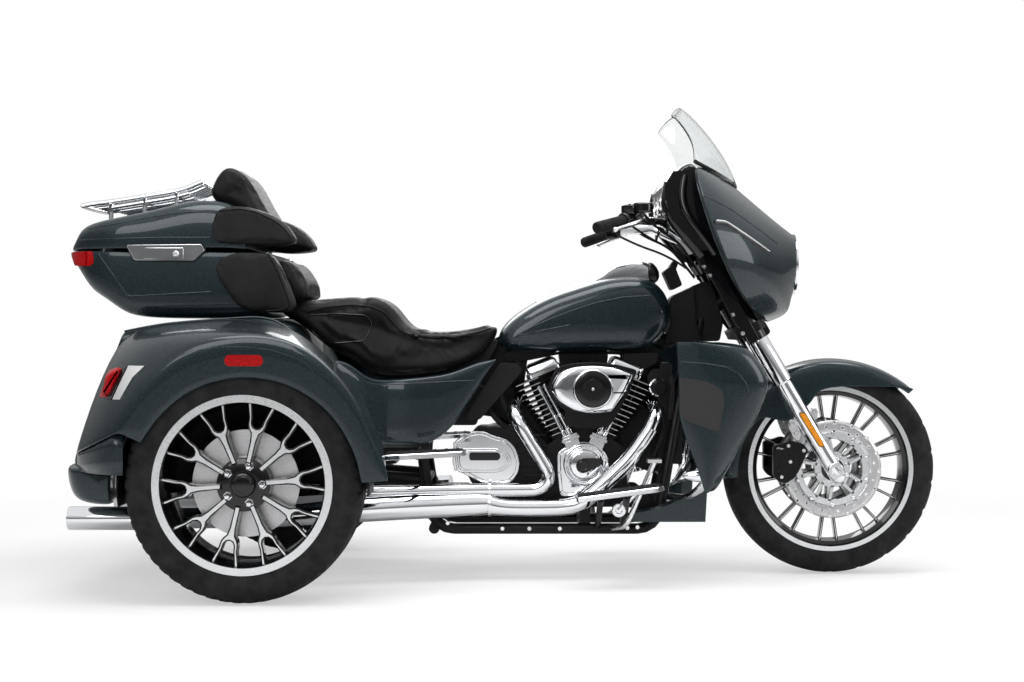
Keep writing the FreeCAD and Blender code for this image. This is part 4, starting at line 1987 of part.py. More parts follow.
def make_base_pads():
    """Padded flanks and lower backrest carried by the case base."""
    length = S.case_front - CASE_REAR
    low = S.case_base
    height = S.case_split - S.case_base - S.lid_gap
    inner = S.case_width / 2 + S.running_gap
    outer = inner + S.case_skin
    flank = side_slab(spread(SIDE_PAD_SHARES, CASE_REAR, length, low, height), -outer, -inner)
    tip = side_slab(spread(PAD_TIP_SHARES, CASE_REAR, length, low, height), -outer,
                    -S.case_width * ARM_INNER_SHARE)
    base = case_slab(CASE_SIDE_SHARES, Size(0.0), S.case_base, S.case_split)
    pad = flank.fuse(tip).cut(base)
    shaped("side_pads", both_sides(max(pad.Solids, key=lambda solid: solid.Volume)))
    lower = side_slab(spread(LOWER_PAD_SHARES, CASE_REAR, length + S.running_gap, low, height),
                      -S.case_width * LOWER_PAD_WIDTH_SHARE, S.case_width * LOWER_PAD_WIDTH_SHARE)
    lower = lower.cut([base, doc.getObject("seat_solid").Shape])
    shaped("backrest_lower", max(lower.Solids, key=lambda solid: solid.Volume))


LATCH_LENGTH_SHARE = 0.38
LATCH_HEIGHT_SHARE = 2.2
LATCH_PLACE_SHARE = 0.31


def make_latch():
    """The chromed latch plate on the right of the split."""
    length = S.case_front - CASE_REAR
    outer = S.case_width / 2
    plate = Part.makeBox(float(length * LATCH_LENGTH_SHARE), float(S.case_skin),
                         float(S.case_skin * LATCH_HEIGHT_SHARE),
                         V(float(CASE_REAR + length * LATCH_PLACE_SHARE),
                           -float(outer + S.case_skin + S.running_gap),
                           float(S.case_split + S.lid_gap)))
    shaped("case_latch", plate.cut(doc.getObject("backrest_upper_solid").Shape))


# Front lower bodywork, guards and boards

LOWER_SHARES = [(0.06, 0.66), (0.08, 1.0), (0.5, 0.985), (0.76, 0.955), (0.88, 0.9), (0.94, 0.82),
                (1.0, 0.71), (0.94, 0.6), (0.8, 0.42), (0.6, 0.12), (0.5, 0.0), (0.42, 0.05), (0.5, 0.42),
                (0.3, 0.46), (0.14, 0.5)]


LOWER_NEAR_SHARE = 1.7
LOWER_FAR_SHARE = 2.5
LOWER_HOLLOW_SHARE = 1.5
WEB_PLACE_SHARE = 0.36
WEB_LENGTH_SHARE = 0.26
WEB_REACH_SHARE = 0.6
WEB_BACK_SHARE = 0.2
WEB_RISE_SHARE = 0.8


def make_lower_fairings():
    """Leg shields beside the front of the engine: outer skin and front wall, open behind."""
    start = FRONT_X - S.front_tyre_radius - S.lower_behind
    length = S.lower_length
    base = S.cradle_height + S.lower_rise
    height = S.lower_height
    points = spread(LOWER_SHARES, start, length, base, height)
    near = S.cradle_half_width * LOWER_NEAR_SHARE
    far = S.cradle_half_width * LOWER_FAR_SHARE
    block = side_slab(points, -far, -near)
    skin = S.lower_skin
    hollow = [(x - skin * LOWER_HOLLOW_SHARE, z) for x, z in points]
    inside = side_slab(hollow, -far + skin, -near - skin)
    made = block.cut(inside)
    web_front = start + length * WEB_PLACE_SHARE
    web = Part.makeBox(float(length * WEB_LENGTH_SHARE),
                       float(near - S.cradle_half_width * WEB_REACH_SHARE), float(skin),
                       V(float(web_front - length * WEB_BACK_SHARE), -float(near),
                         float(base + height * WEB_RISE_SHARE)))
    made = made.fuse(web).cut(doc.getObject("frame_solid").Shape)
    right = one_solid(max(made.Solids, key=lambda solid: solid.Volume))
    shaped("lower_fairings", both_sides(right))


def make_chin():
    """The dark panels low in front of the engine, one each side of the cradle."""
    points = spread(CHIN_SHARES, CRADLE_FRONT - S.chin_behind, S.chin_length, S.cradle_height + S.chin_rise,
                    S.chin_height)
    near = S.cradle_half_width + S.frame_tube_radius + S.running_gap
    panel = side_slab(points, -near - S.chin_width, -near)
    panel = panel.cut([doc.getObject("frame_solid").Shape, doc.getObject("lower_fairings_solid").Shape])
    shaped("chin_panels", both_sides(max(panel.Solids, key=lambda solid: solid.Volume)))


CHIN_SHARES = [(0.05, 0.0), (0.98, 0.0), (1.0, 0.95), (0.8, 0.85), (0.4, 0.4), (0.15, 0.3)]


def make_oil_cooler():
    """Finned oil cooler in front of the downtubes."""
    width = S.cradle_half_width * COOLER_WIDTH_SHARE
    height = S.crankcase_radius * COOLER_HEIGHT_SHARE
    depth = S.frame_tube_radius * COOLER_DEPTH_SHARE
    front = CRADLE_FRONT + S.frame_bend * COOLER_PLACE_SHARE
    block = Part.makeBox(float(depth), float(width), float(height),
                         V(float(front), -float(width / 2), float(CRANK_Z)))
    frame = doc.getObject("frame_solid").Shape
    shaped("oil_cooler", max(block.cut(frame).Solids, key=lambda solid: solid.Volume))


COOLER_WIDTH_SHARE = 1.36
COOLER_HEIGHT_SHARE = 1.2
COOLER_DEPTH_SHARE = 1.8
COOLER_PLACE_SHARE = 0.75


GUARD_LOW_SHARE = 0.8
# Corners of the guard and ends of its peg: how far ahead, out and up they lie
GUARD_SHARES = [(0.4, 0.8, 0), (1.2, 1.6, 0), (2.0, 2.2, 6), (2.1, 2.2, 14), (1.7, 0.62, 20)]
PEG_SHARES = [(2.0, 2.2, 6), (0.6, 2.3, 6)]
PEG_SIZE_SHARE = 0.9


def make_guard():
    """Chromed tube guard with highway pegs, bolted to the downtubes."""
    radius = S.guard_radius
    half = S.cradle_half_width
    low = CRANK_Z - S.crankcase_radius * GUARD_LOW_SHARE
    places = [(CRADLE_FRONT + S.frame_bend * ahead, -half * out, low + radius * up)
              for ahead, out, up in GUARD_SHARES + PEG_SHARES]
    rail = pipe(places[:-2], radius, S.frame_bend)
    peg = straight_bar(places[-2], places[-1], radius * PEG_SIZE_SHARE)
    made = rail.fuse(peg)
    names = ("frame_solid", "lower_fairings_solid", "chin_panels_solid", "oil_cooler_solid",
             "exhaust_right_solid")
    made = made.cut([doc.getObject(name).Shape for name in names])
    right = max(made.Solids, key=lambda solid: solid.Volume)
    shaped("engine_guards", both_sides(right))


BOARD_LENGTH_SHARE = 2.3
BOARD_BACK_SHARE = 0.32
BOARD_OUT_SHARE = 2.75
BOARD_DROP_SHARE = 0.75
BRACKET_OUT_SHARE = 2.4
BRACKET_DROP_SHARE = 0.52
STEP_DROP_SHARE = 1.4
STEP_LENGTH_SHARE = 0.92
STEP_BACK_SHARE = 0.52
STEP_OUT_SHARE = 3.1
STEP_ARM_SHARE = 2.5
STEP_ARM_SIZE_SHARE = 0.7


def make_boards():
    """Rider and passenger boards on their brackets."""
    frame = doc.getObject("frame_solid").Shape
    exhaust = doc.getObject("exhaust_right_solid").Shape
    half = S.cradle_half_width
    length = S.crankcase_radius * BOARD_LENGTH_SHARE
    board = Part.makeBox(float(length), float(S.board_width), float(S.board_thickness))
    board.rotate(V(), Y_AXIS, -RIDER_BOARD_TILT)
    board.translate(V(float(CRANK_X - S.crankcase_radius * BOARD_BACK_SHARE),
                      -float(half * BOARD_OUT_SHARE),
                      float(CRANK_Z - S.crankcase_radius * BOARD_DROP_SHARE)))
    bracket = straight_bar((CRANK_X + S.crankcase_radius, -half, S.cradle_height),
                  (CRANK_X + S.crankcase_radius, -half * BRACKET_OUT_SHARE,
                   CRANK_Z - S.crankcase_radius * BRACKET_DROP_SHARE), S.guard_radius)
    made = board.fuse(bracket).cut([frame, exhaust])
    shaped("rider_boards", both_sides(max(made.Solids, key=lambda solid: solid.Volume)))
    height = S.body_base - S.board_thickness * STEP_DROP_SHARE
    step = Part.makeBox(float(length * STEP_LENGTH_SHARE), float(S.board_width), float(S.board_thickness),
                        V(float(CRADLE_REAR + length * -STEP_BACK_SHARE), -float(half * STEP_OUT_SHARE),
                          float(height)))
    arm = straight_bar((CRADLE_REAR - S.frame_bend / 2, -half, height + S.board_thickness / 2),
              (CRADLE_REAR - S.frame_bend / 2, -half * STEP_ARM_SHARE,
               height + S.board_thickness / 2), S.guard_radius * STEP_ARM_SIZE_SHARE)
    names = ("frame_solid", "side_covers_solid", "fender_right_solid", "rear_axle_solid")
    made = step.fuse(arm).cut([doc.getObject(name).Shape for name in names])
    shaped("passenger_boards", both_sides(max(made.Solids, key=lambda solid: solid.Volume)))


RIDER_BOARD_TILT = 7.5
PEDAL_PLACE_SHARE = 0.85
PEDAL_BEND_SHARE = 1.75
PEDAL_OUT_SHARE = 1.85


def make_foot_controls():
    """Brake pedal on the right and shift lever on the left, pivoted beside the boards."""
    half = S.cradle_half_width
    place = CRANK_X + S.crankcase_radius * PEDAL_PLACE_SHARE
    tip = half * PEDAL_OUT_SHARE
    level = CRANK_Z + S.pedal_foot
    made = pipe([(place - S.pedal_foot, -half, S.cradle_height),
                 (place + S.pedal_foot, -half * PEDAL_BEND_SHARE, S.cradle_height + S.pedal_foot),
                 (place + S.pedal_reach, -tip, level)], S.pedal_radius, S.frame_bend / 2)
    pad = Part.makeBox(float(S.pad_length), float(S.pad_width), float(S.pad_thickness),
                       V(float(place + S.pedal_reach - S.pad_length / 2), -float(tip + S.pad_width / 2),
                         float(level)))
    names = ("frame_solid", "rider_boards_solid", "exhaust_right_solid", "chin_panels_solid",
             "engine_guards_solid", "lower_fairings_solid")
    made = made.fuse(pad).cut([doc.getObject(name).Shape for name in names])
    shaped("foot_controls", both_sides(max(made.Solids, key=lambda solid: solid.Volume)))


def build():
    make_front_wheel()
    make_rear_wheels()
    make_fork()
    make_handlebar()
    make_front_fender()
    make_front_calipers()
    outer = make_fairing()
    make_headlamp()
    make_fairing_inner(outer)
    make_windshield(outer)
    make_frame()
    make_engine()
    make_cam_cover()
    make_gearbox()
    make_primary_cover()
    make_air_cleaner()
    make_exhausts()
    make_rear_axle()
    make_tank()
    make_seat()
    make_trunk()
    make_fenders()
    make_side_covers()
    make_bumper()
    make_lamps()
    make_case()
    make_case_lamps()
    make_rack()
    make_upper_backrest()
    make_base_pads()
    make_latch()
    make_lower_fairings()
    make_chin()
    make_oil_cooler()
    make_guard()
    make_boards()
    make_foot_controls()


def check_and_write():
    """Stops on any failed object, then writes each piece to its own file."""
    doc.recompute()
    failed = [made.Name for made in doc.Objects if "Invalid" in made.State or "Error" in made.State]
    if failed:
        raise RuntimeError("objects that failed: " + ", ".join(failed))
    for made in NODES:
        if made.Shape.isNull() or not made.Shape.isValid() or not made.Shape.Solids:
            raise RuntimeError("bad shape: " + made.Label)
    os.makedirs(PARTS_FOLDER, exist_ok=True)
    for made in NODES:
        made.Shape.exportStep(os.path.join(PARTS_FOLDER, made.Label + ".step"))
        print(made.Label, len(made.Shape.Solids), "solids", round(made.Shape.Volume / 1000.0), "cm3")


build()
check_and_write()
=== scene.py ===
# %% [markdown]
# A full-dress motorized trike: two car-type wheels behind, one forked wheel in front,
# an air-cooled V-twin open to view, and a lot of lacquered bodywork over it. The packed
# CAD model comes in as the fixed frame. Blender adds the looks: rounded panels, tread,
# spokes with machined faces, piped leather, cast and polished metal. A piece that
# stands for a CAD node sits where that node sits, and trims are laid on the skins.

import math

import bmesh
import bpy
from mathutils import Matrix, Vector
from mathutils.bvhtree import BVHTree


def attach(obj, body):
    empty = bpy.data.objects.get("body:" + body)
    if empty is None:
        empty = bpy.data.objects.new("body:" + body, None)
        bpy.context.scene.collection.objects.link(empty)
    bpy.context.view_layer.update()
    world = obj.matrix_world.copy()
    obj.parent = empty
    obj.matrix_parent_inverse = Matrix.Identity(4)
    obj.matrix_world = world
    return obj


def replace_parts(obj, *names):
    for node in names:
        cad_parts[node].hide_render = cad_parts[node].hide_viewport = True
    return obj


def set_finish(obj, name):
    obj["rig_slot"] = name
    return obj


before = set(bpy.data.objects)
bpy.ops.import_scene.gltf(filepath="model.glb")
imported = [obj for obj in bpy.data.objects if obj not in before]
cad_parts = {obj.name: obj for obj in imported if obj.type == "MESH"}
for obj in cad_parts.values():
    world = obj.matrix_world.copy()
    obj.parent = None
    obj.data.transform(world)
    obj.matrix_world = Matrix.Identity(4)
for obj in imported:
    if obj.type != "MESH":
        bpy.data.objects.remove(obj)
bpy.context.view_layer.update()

# %% [markdown]
# The photograph is a straight side view from the trike's right. A long lens stands 5.4 m
# away at the height of the tank, so the near wheels are a little larger than the far ones.
# The tiny downward tilt puts the horizon where the tyres' ellipses say it is.

# %% Camera at the photograph's viewpoint
FOCAL_LENGTH = 62.14
TILT_DOWN = 0.486
lens = bpy.data.cameras.new("photo_lens")
lens.sensor_width = 36
lens.lens = FOCAL_LENGTH
camera = bpy.data.objects.new("photo_camera", lens)
camera.location = (0.0084, -5.4, 0.75)
camera.rotation_euler = (math.radians(90 - TILT_DOWN), 0, 0)
bpy.context.collection.objects.link(camera)
bpy.context.scene.camera = camera
bpy.context.scene.view_settings.view_transform = "Standard"
print("camera", lens.lens, "mm at", tuple(camera.location))

# %% [markdown]
# Shading is wired from nodes. Two short helpers make a node with its values and join nodes
# up, so that each finish below reads as a list of what it is made of.

# %% Helpers for nodes
def node(tree, kind, values=None, operation=None):
    """A new node with some of its inputs set."""
    made = tree.nodes.new(kind)
    if operation:
        made.operation = operation
    for key, value in (values or {}).items():
        made.inputs[key].default_value = value
    return made


def wired(tree, *pairs):
    """Joins each output to its input."""
    for source, target in pairs:
        tree.links.new(source, target)


def seen_rays(tree):
    """1 for camera and transmission rays, 0 for the rays that light things."""
    rays = node(tree, "ShaderNodeLightPath")
    either = node(tree, "ShaderNodeMath", operation="MAXIMUM")
    wired(tree, (rays.outputs["Is Camera Ray"], either.inputs[0]),
          (rays.outputs["Is Transmission Ray"], either.inputs[1]))
    return either.outputs[0]


print("node helpers ready")

# %% [markdown]
# A studio with a white sweep. The world is white to the camera, but in reflections it runs
# from dark at the horizon to white overhead, as a studio with its lamps above does. So the
# flanks stay deep and every crease and chrome edge catches a bright line. Rays that pass
# through the clear screen count as seen, or the screen would turn grey.

# %% World
WHITE = (1, 1, 1, 1)
studio = bpy.data.worlds.new("studio")
bpy.context.scene.world = studio
studio.use_nodes = True
sky = studio.node_tree
sky.nodes.clear()
sky_seen = node(sky, "ShaderNodeBackground", {"Color": WHITE, "Strength": 1.0})
sky_light = node(sky, "ShaderNodeBackground", {"Color": WHITE, "Strength": 0.42})
sky_gloss = node(sky, "ShaderNodeBackground")
sky_split = node(sky, "ShaderNodeSeparateXYZ")
sky_rise = node(sky, "ShaderNodeMapRange", {"From Min": 0.0, "From Max": 0.55, "To Min": 0.12,
                                            "To Max": 1.15})
sky_rays = node(sky, "ShaderNodeLightPath")
sky_only = node(sky, "ShaderNodeMath", operation="SUBTRACT")
sky_only.use_clamp = True
sky_mix = node(sky, "ShaderNodeMixShader")
sky_last = node(sky, "ShaderNodeMixShader")
wired(sky, (node(sky, "ShaderNodeTexCoord").outputs["Object"], sky_split.inputs[0]),
      (sky_split.outputs["Z"], sky_rise.inputs["Value"]),
      (sky_rise.outputs["Result"], sky_gloss.inputs["Strength"]),
      (seen_rays(sky), sky_mix.inputs["Fac"]),
      (sky_light.outputs[0], sky_mix.inputs[1]),
      (sky_seen.outputs[0], sky_mix.inputs[2]),
      (sky_rays.outputs["Is Glossy Ray"], sky_only.inputs[0]),
      (sky_rays.outputs["Is Transmission Ray"], sky_only.inputs[1]),
      (sky_only.outputs[0], sky_last.inputs["Fac"]),
      (sky_mix.outputs[0], sky_last.inputs[1]),
      (sky_gloss.outputs[0], sky_last.inputs[2]),
      (sky_last.outputs[0], node(sky, "ShaderNodeOutputWorld").inputs["Surface"]))
print("world ready")

# %% [markdown]
# The floor takes the soft shadow near the trike. Farther out it fades into plain white, as
# the sweep of a photographer's paper does, so that no horizon shows.

# %% Floor
bpy.ops.mesh.primitive_plane_add(size=40, location=(0, 0, -0.001))
floor = bpy.context.active_object
floor.name = "studio_floor"
sweep = bpy.data.materials.new("white_sweep")
sweep.use_nodes = True
paper = sweep.node_tree
paper.nodes.clear()
paper_diffuse = node(paper, "ShaderNodeBsdfDiffuse", {"Color": (0.9, 0.9, 0.9, 1)})
paper_glow = node(paper, "ShaderNodeEmission", {"Strength": 1.0})
paper_share = node(paper, "ShaderNodeMath", operation="MULTIPLY")
paper_reach = node(paper, "ShaderNodeVectorMath", operation="LENGTH")
paper_fade = node(paper, "ShaderNodeMapRange", {"From Min": 1.5, "From Max": 3.4, "To Min": 0.5,
                                                "To Max": 1.0})
paper_mix = node(paper, "ShaderNodeMixShader")
wired(paper, (node(paper, "ShaderNodeTexCoord").outputs["Object"], paper_reach.inputs[0]),
      (paper_reach.outputs["Value"], paper_fade.inputs["Value"]),
      (paper_fade.outputs["Result"], paper_share.inputs[1]),
      (seen_rays(paper), paper_share.inputs[0]),
      (paper_share.outputs[0], paper_mix.inputs["Fac"]),
      (paper_diffuse.outputs[0], paper_mix.inputs[1]),
      (paper_glow.outputs[0], paper_mix.inputs[2]),
      (paper_mix.outputs[0], node(paper, "ShaderNodeOutputMaterial").inputs["Surface"]))
floor.data.materials.append(sweep)
print("studio ready")

# %% [markdown]
# Big soft lamps stand above, at the camera's side, ahead and behind. They are wide, so that
# shadows stay soft and chrome shows long bright bands and not points.

# %% Soft lamps
def soft_lamp(name, place, aim, width, height, power):
    data = bpy.data.lights.new(name, "AREA")
    data.shape = "RECTANGLE"
    data.size = width
    data.size_y = height
    data.energy = power
    lamp = bpy.data.objects.new(name, data)
    bpy.context.collection.objects.link(lamp)
    lamp.location = place
    lamp.rotation_euler = (Vector(aim) - Vector(place)).to_track_quat("-Z", "Y").to_euler()


soft_lamp("overhead", (0.2, -0.6, 3.6), (0, 0, 0.5), 4.2, 1.6, 120)
soft_lamp("camera_side", (-1.5, -4.5, 2.6), (0, 0, 0.6), 2.5, 2.0, 60)
soft_lamp("front_side", (4.2, -1.2, 1.8), (0.6, 0, 0.6), 2.0, 2.0, 45)
soft_lamp("far_side", (-0.5, 4.0, 2.6), (0, 0, 0.6), 3.0, 2.0, 50)
print("lamps", len(bpy.data.lights))

# %% [markdown]
# Materials. Each finish is one function or one short cell of nodes on Object coordinates,
# which stay put on a piece from every side. A base shader holds the plain values. Noise
# adds what a real surface has: flake in lacquer, haze in chrome, grain in leather.

# %% Helpers for finishes
def shader_of(material):
    return material.node_tree.nodes["Principled BSDF"]


def tuned(material, values):
    """Sets plain values on the base shader."""
    for key, value in values.items():
        shader_of(material).inputs[key].default_value = value
    return material


def plain(name, colour, roughness, metallic=0.0):
    """A new material with the values that are the same all over."""
    material = bpy.data.materials.new(name)
    material.use_nodes = True
    return tuned(material, {"Base Color": (*colour, 1), "Roughness": roughness,
                            "Metallic": metallic, "Specular IOR Level": 0.17})


def noise_on(material, scale, detail=3.0, stretch=(1, 1, 1)):
    """A noise pattern fixed to the piece; stretch makes it long one way, as brushing is."""
    tree = material.node_tree
    place = node(tree, "ShaderNodeTexCoord")
    turn = node(tree, "ShaderNodeMapping", {"Scale": stretch})
    noise = node(tree, "ShaderNodeTexNoise", {"Scale": scale, "Detail": detail})
    wired(tree, (place.outputs["Object"], turn.inputs["Vector"]),
          (turn.outputs[0], noise.inputs["Vector"]))
    return noise.outputs["Fac"]


def ramp_between(material, pattern, socket, low, high, start=0.35, end=0.65):
    """Spreads a pattern between two values or colours on one socket of the shader."""
    tree = material.node_tree
    ramp = node(tree, "ShaderNodeValToRGB")
    for stop, place, value in zip(ramp.color_ramp.elements, (start, end), (low, high)):
        stop.position = place
        stop.color = (*value, 1) if isinstance(value, tuple) else (value, value, value, 1)
    wired(tree, (pattern, ramp.inputs["Fac"]),
          (ramp.outputs["Color"], shader_of(material).inputs[socket]))


def varied(material, scale, detail, low, high, socket="Roughness"):
    """Lets noise spread one socket between two values or colours."""
    ramp_between(material, noise_on(material, scale, detail), socket, low, high)


def bump_from(material, pattern, height, strength=1.0):
    """Raises the surface's shading by a pattern; height is in metres."""
    tree = material.node_tree
    bump = node(tree, "ShaderNodeBump", {"Strength": strength, "Distance": height})
    wired(tree, (pattern, bump.inputs["Height"]),
          (bump.outputs[0], shader_of(material).inputs["Normal"]))


print("finish helpers ready")

# %% [markdown]
# The bodywork is a dark metallic lacquer, between teal and charcoal, under a clear coat.
# Voronoi cells about a millimetre across stand for the flake: each takes its own tone, so
# the lacquer sparkles close up and reads as one deep colour from afar.

# %% Lacquer
FLAKE_SCALE = 900


def lacquer(name, deep, bright):
    material = plain(name, deep, 0.32, 0.35)
    tree = material.node_tree
    place = node(tree, "ShaderNodeTexCoord")
    flake = node(tree, "ShaderNodeTexVoronoi", {"Scale": FLAKE_SCALE})
    split = node(tree, "ShaderNodeSeparateColor")
    wired(tree, (place.outputs["Object"], flake.inputs["Vector"]),
          (flake.outputs["Color"], split.inputs["Color"]))
    ramp_between(material, split.outputs[0], "Base Color", deep, bright, 0.45, 1.0)
    ramp_between(material, split.outputs[1], "Roughness", 0.26, 0.42, 0.2, 0.9)
    return tuned(material, {"Specular IOR Level": 0.2, "Coat Weight": 0.6, "Coat Roughness": 0.03})


teal_lacquer = lacquer("teal_lacquer", (0.005, 0.012, 0.015), (0.022, 0.042, 0.049))
print("lacquer", teal_lacquer.name)

# %% [markdown]
# Metals. Chrome is nearly a mirror with a little haze. Satin and machined faces are rougher,
# and machining leaves fine lines along one way. Powder coat is black with a fine grain.

# %% Chrome, steel and cast metal
BRUSHING = (1, 0.1, 1)
chrome = plain("polished_chrome", (0.78, 0.79, 0.81), 0.06, 1.0)
varied(chrome, 9, 4, 0.035, 0.11)
satin_chrome = plain("satin_chrome", (0.80, 0.80, 0.81), 0.22, 1.0)
varied(satin_chrome, 14, 4, 0.17, 0.30)
machined = plain("machined_alloy", (0.74, 0.75, 0.76), 0.3, 1.0)
ramp_between(machined, noise_on(machined, 260, 2, BRUSHING), "Roughness", 0.27, 0.33)
bump_from(machined, noise_on(machined, 900, 2, BRUSHING), 0.0001, 0.08)
disc_steel = plain("brushed_disc_steel", (0.56, 0.56, 0.57), 0.34, 1.0)
varied(disc_steel, 420, 3, 0.26, 0.44)
cast_black = plain("black_powder_coat", (0.007, 0.007, 0.008), 0.38)
varied(cast_black, 30, 4, 0.3, 0.46)
bump_from(cast_black, noise_on(cast_black, 700, 3), 0.0003, 0.35)
gloss_black = tuned(plain("gloss_black", (0.004, 0.004, 0.005), 0.16), {"Coat Weight": 0.6})
varied(gloss_black, 12, 3, 0.12, 0.22)
fin_alloy = plain("bright_fin_edge", (0.62, 0.62, 0.63), 0.28, 1.0)
varied(fin_alloy, 300, 2, 0.22, 0.36)
print("metals ready")

# %% [markdown]
# Soft and black finishes. Rubber and leather vary a little in tone, since wear and handling
# never leave them even. Leather's grain is a net of cells a few millimetres across.

# %% Plastics, rubber and leather
grained_plastic = plain("grained_black_plastic", (0.009, 0.009, 0.010), 0.5)
varied(grained_plastic, 40, 4, 0.42, 0.6)
bump_from(grained_plastic, noise_on(grained_plastic, 1400, 2), 0.0004, 0.5)
rubber = plain("tyre_rubber", (0.013, 0.013, 0.014), 0.7)
varied(rubber, 22, 5, (0.006, 0.006, 0.007), (0.015, 0.015, 0.016), "Base Color")
varied(rubber, 60, 4, 0.55, 0.78)
bump_from(rubber, noise_on(rubber, 1100, 3), 0.0004, 0.4)
leather = plain("black_leather", (0.014, 0.014, 0.015), 0.45)
varied(leather, 12, 5, (0.005, 0.005, 0.0055), (0.013, 0.012, 0.012), "Base Color")
varied(leather, 90, 4, 0.36, 0.56)
grain = node(leather.node_tree, "ShaderNodeTexVoronoi", {"Scale": 420})
grain.feature = "DISTANCE_TO_EDGE"
grain_place = node(leather.node_tree, "ShaderNodeTexCoord")
wired(leather.node_tree, (grain_place.outputs["Object"], grain.inputs["Vector"]))
bump_from(leather, grain.outputs["Distance"], 0.0005, 0.5)
print("soft finishes ready")

# %% [markdown]
# Lenses and glass. Tinted lenses are bright plastic under a thin gloss. The lamp's glass and
# the screen let light through, and the screen bends it less, since it is a thin sheet.

# %% Lenses and glass
red_lens = tuned(plain("red_lens", (0.42, 0.006, 0.008), 0.12), {"Coat Weight": 0.35})
varied(red_lens, 200, 2, (0.24, 0.001, 0.003), (0.46, 0.003, 0.004), "Base Color")
amber_lens = plain("amber_lens", (0.75, 0.27, 0.02), 0.2)
varied(amber_lens, 300, 2, (0.62, 0.20, 0.015), (0.85, 0.34, 0.03), "Base Color")
clear_lens = tuned(plain("clear_lens", (0.95, 0.96, 0.97), 0.03),
                   {"Transmission Weight": 0.9, "IOR": 1.45})
varied(clear_lens, 20, 2, 0.02, 0.06)
screen_clear = tuned(plain("clear_screen", (0.88, 0.90, 0.90), 0.02),
                     {"Transmission Weight": 1.0, "IOR": 1.3})
varied(screen_clear, 8, 2, 0.0, 0.03)
print("clear finishes ready")

# %% [markdown]
# Pieces are made from a few kinds of move. A ring of corners is drawn from measured
# places, rings are bridged into a skin, and a subdivision surface rounds it as a pressed
# panel is round. Wheels are profiles spun about their axle. All places are millimetres
# in the CAD frame: x forward, y to the rider's left, z up from the floor.

# %% Rings and skins
OUT = {"right": -1, "left": 1}


def mm(x, y, z):
    return Vector((x, y, z)) / 1000


def ring_of(bm, points, closed=True):
    """Corners joined by edges, as the start of a skin."""
    corners = [bm.verts.new(mm(*point)) for point in points]
    edges = [bm.edges.new(pair) for pair in zip(corners, corners[1:])]
    if closed:
        edges.append(bm.edges.new((corners[-1], corners[0])))
    return edges


def skin_over(bm, sections, closed=True, capped=True):
    """Bridges each section to the next, and fills the two ends."""
    bm.edges.layers.float.new("crease_edge")
    rings = [ring_of(bm, section, closed) for section in sections]
    for first, second in zip(rings, rings[1:]):
        bmesh.ops.bridge_loops(bm, edges=first + second)
    if capped:
        for ring in (rings[0], rings[-1]):
            bmesh.ops.contextual_create(bm, geom=ring)
    return rings


print("ring helpers ready")

# %% Pieces and what rounds them
def finished(bm, name, body, materials, slot, crease=35):
    """Turns the bmesh into a piece: merged, facing outwards, smooth up to the crease angle."""
    bmesh.ops.remove_doubles(bm, verts=bm.verts, dist=0.00001)
    bmesh.ops.recalc_face_normals(bm, faces=bm.faces)
    mesh = bpy.data.meshes.new(name)
    bm.to_mesh(mesh)
    bm.free()
    mesh.shade_smooth()
    mesh.set_sharp_from_angle(angle=math.radians(crease))
    for material in materials if isinstance(materials, list) else [materials]:
        mesh.materials.append(material)
    piece = bpy.data.objects.new(name, mesh)
    bpy.context.collection.objects.link(piece)
    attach(piece, body)
    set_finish(piece, slot)
    return piece


def rounded_by(piece, levels=2):
    soft = piece.modifiers.new("rounding", "SUBSURF")
    soft.levels = levels
    soft.render_levels = levels
    return piece


def edged_by(piece, width, segments=2, angle=35):
    edge = piece.modifiers.new("edges", "BEVEL")
    edge.width = width / 1000
    edge.segments = segments
    edge.limit_method = "ANGLE"
    edge.angle_limit = math.radians(angle)
    edge.harden_normals = False
    return piece


print("piece helpers ready")

# %% Spins and twins
def spun(bm, profile, centre, steps):
    """Spins a closed profile of (y, radius) about an axle that lies along y."""
    ring = ring_of(bm, [(centre[0], centre[1] + y, centre[2] + radius) for y, radius in profile])
    corners = list({corner for edge in ring for corner in edge.verts})
    bmesh.ops.spin(bm, geom=corners + ring, cent=mm(*centre), axis=(0, 1, 0), dvec=(0, 0, 0),
                   angle=math.tau, steps=steps, use_merge=True, use_duplicate=False)


def mirrored_twin(piece, name, body):
    """The same piece on the other side of the trike's middle plane."""
    mesh = piece.data.copy()
    bm = bmesh.new()
    bm.from_mesh(mesh)
    bmesh.ops.scale(bm, vec=(1, -1, 1), verts=bm.verts)
    bmesh.ops.reverse_faces(bm, faces=bm.faces)
    bm.to_mesh(mesh)
    bm.free()
    twin = bpy.data.objects.new(name, mesh)
    bpy.context.collection.objects.link(twin)
    for old in piece.modifiers:
        new = twin.modifiers.new(old.name, old.type)
        for key in ("levels", "render_levels", "width", "segments", "limit_method", "angle_limit",
                    "thickness", "offset"):
            if hasattr(old, key):
                setattr(new, key, getattr(old, key))
    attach(twin, body)
    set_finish(twin, piece["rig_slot"])
    return twin


print("spin helpers ready")
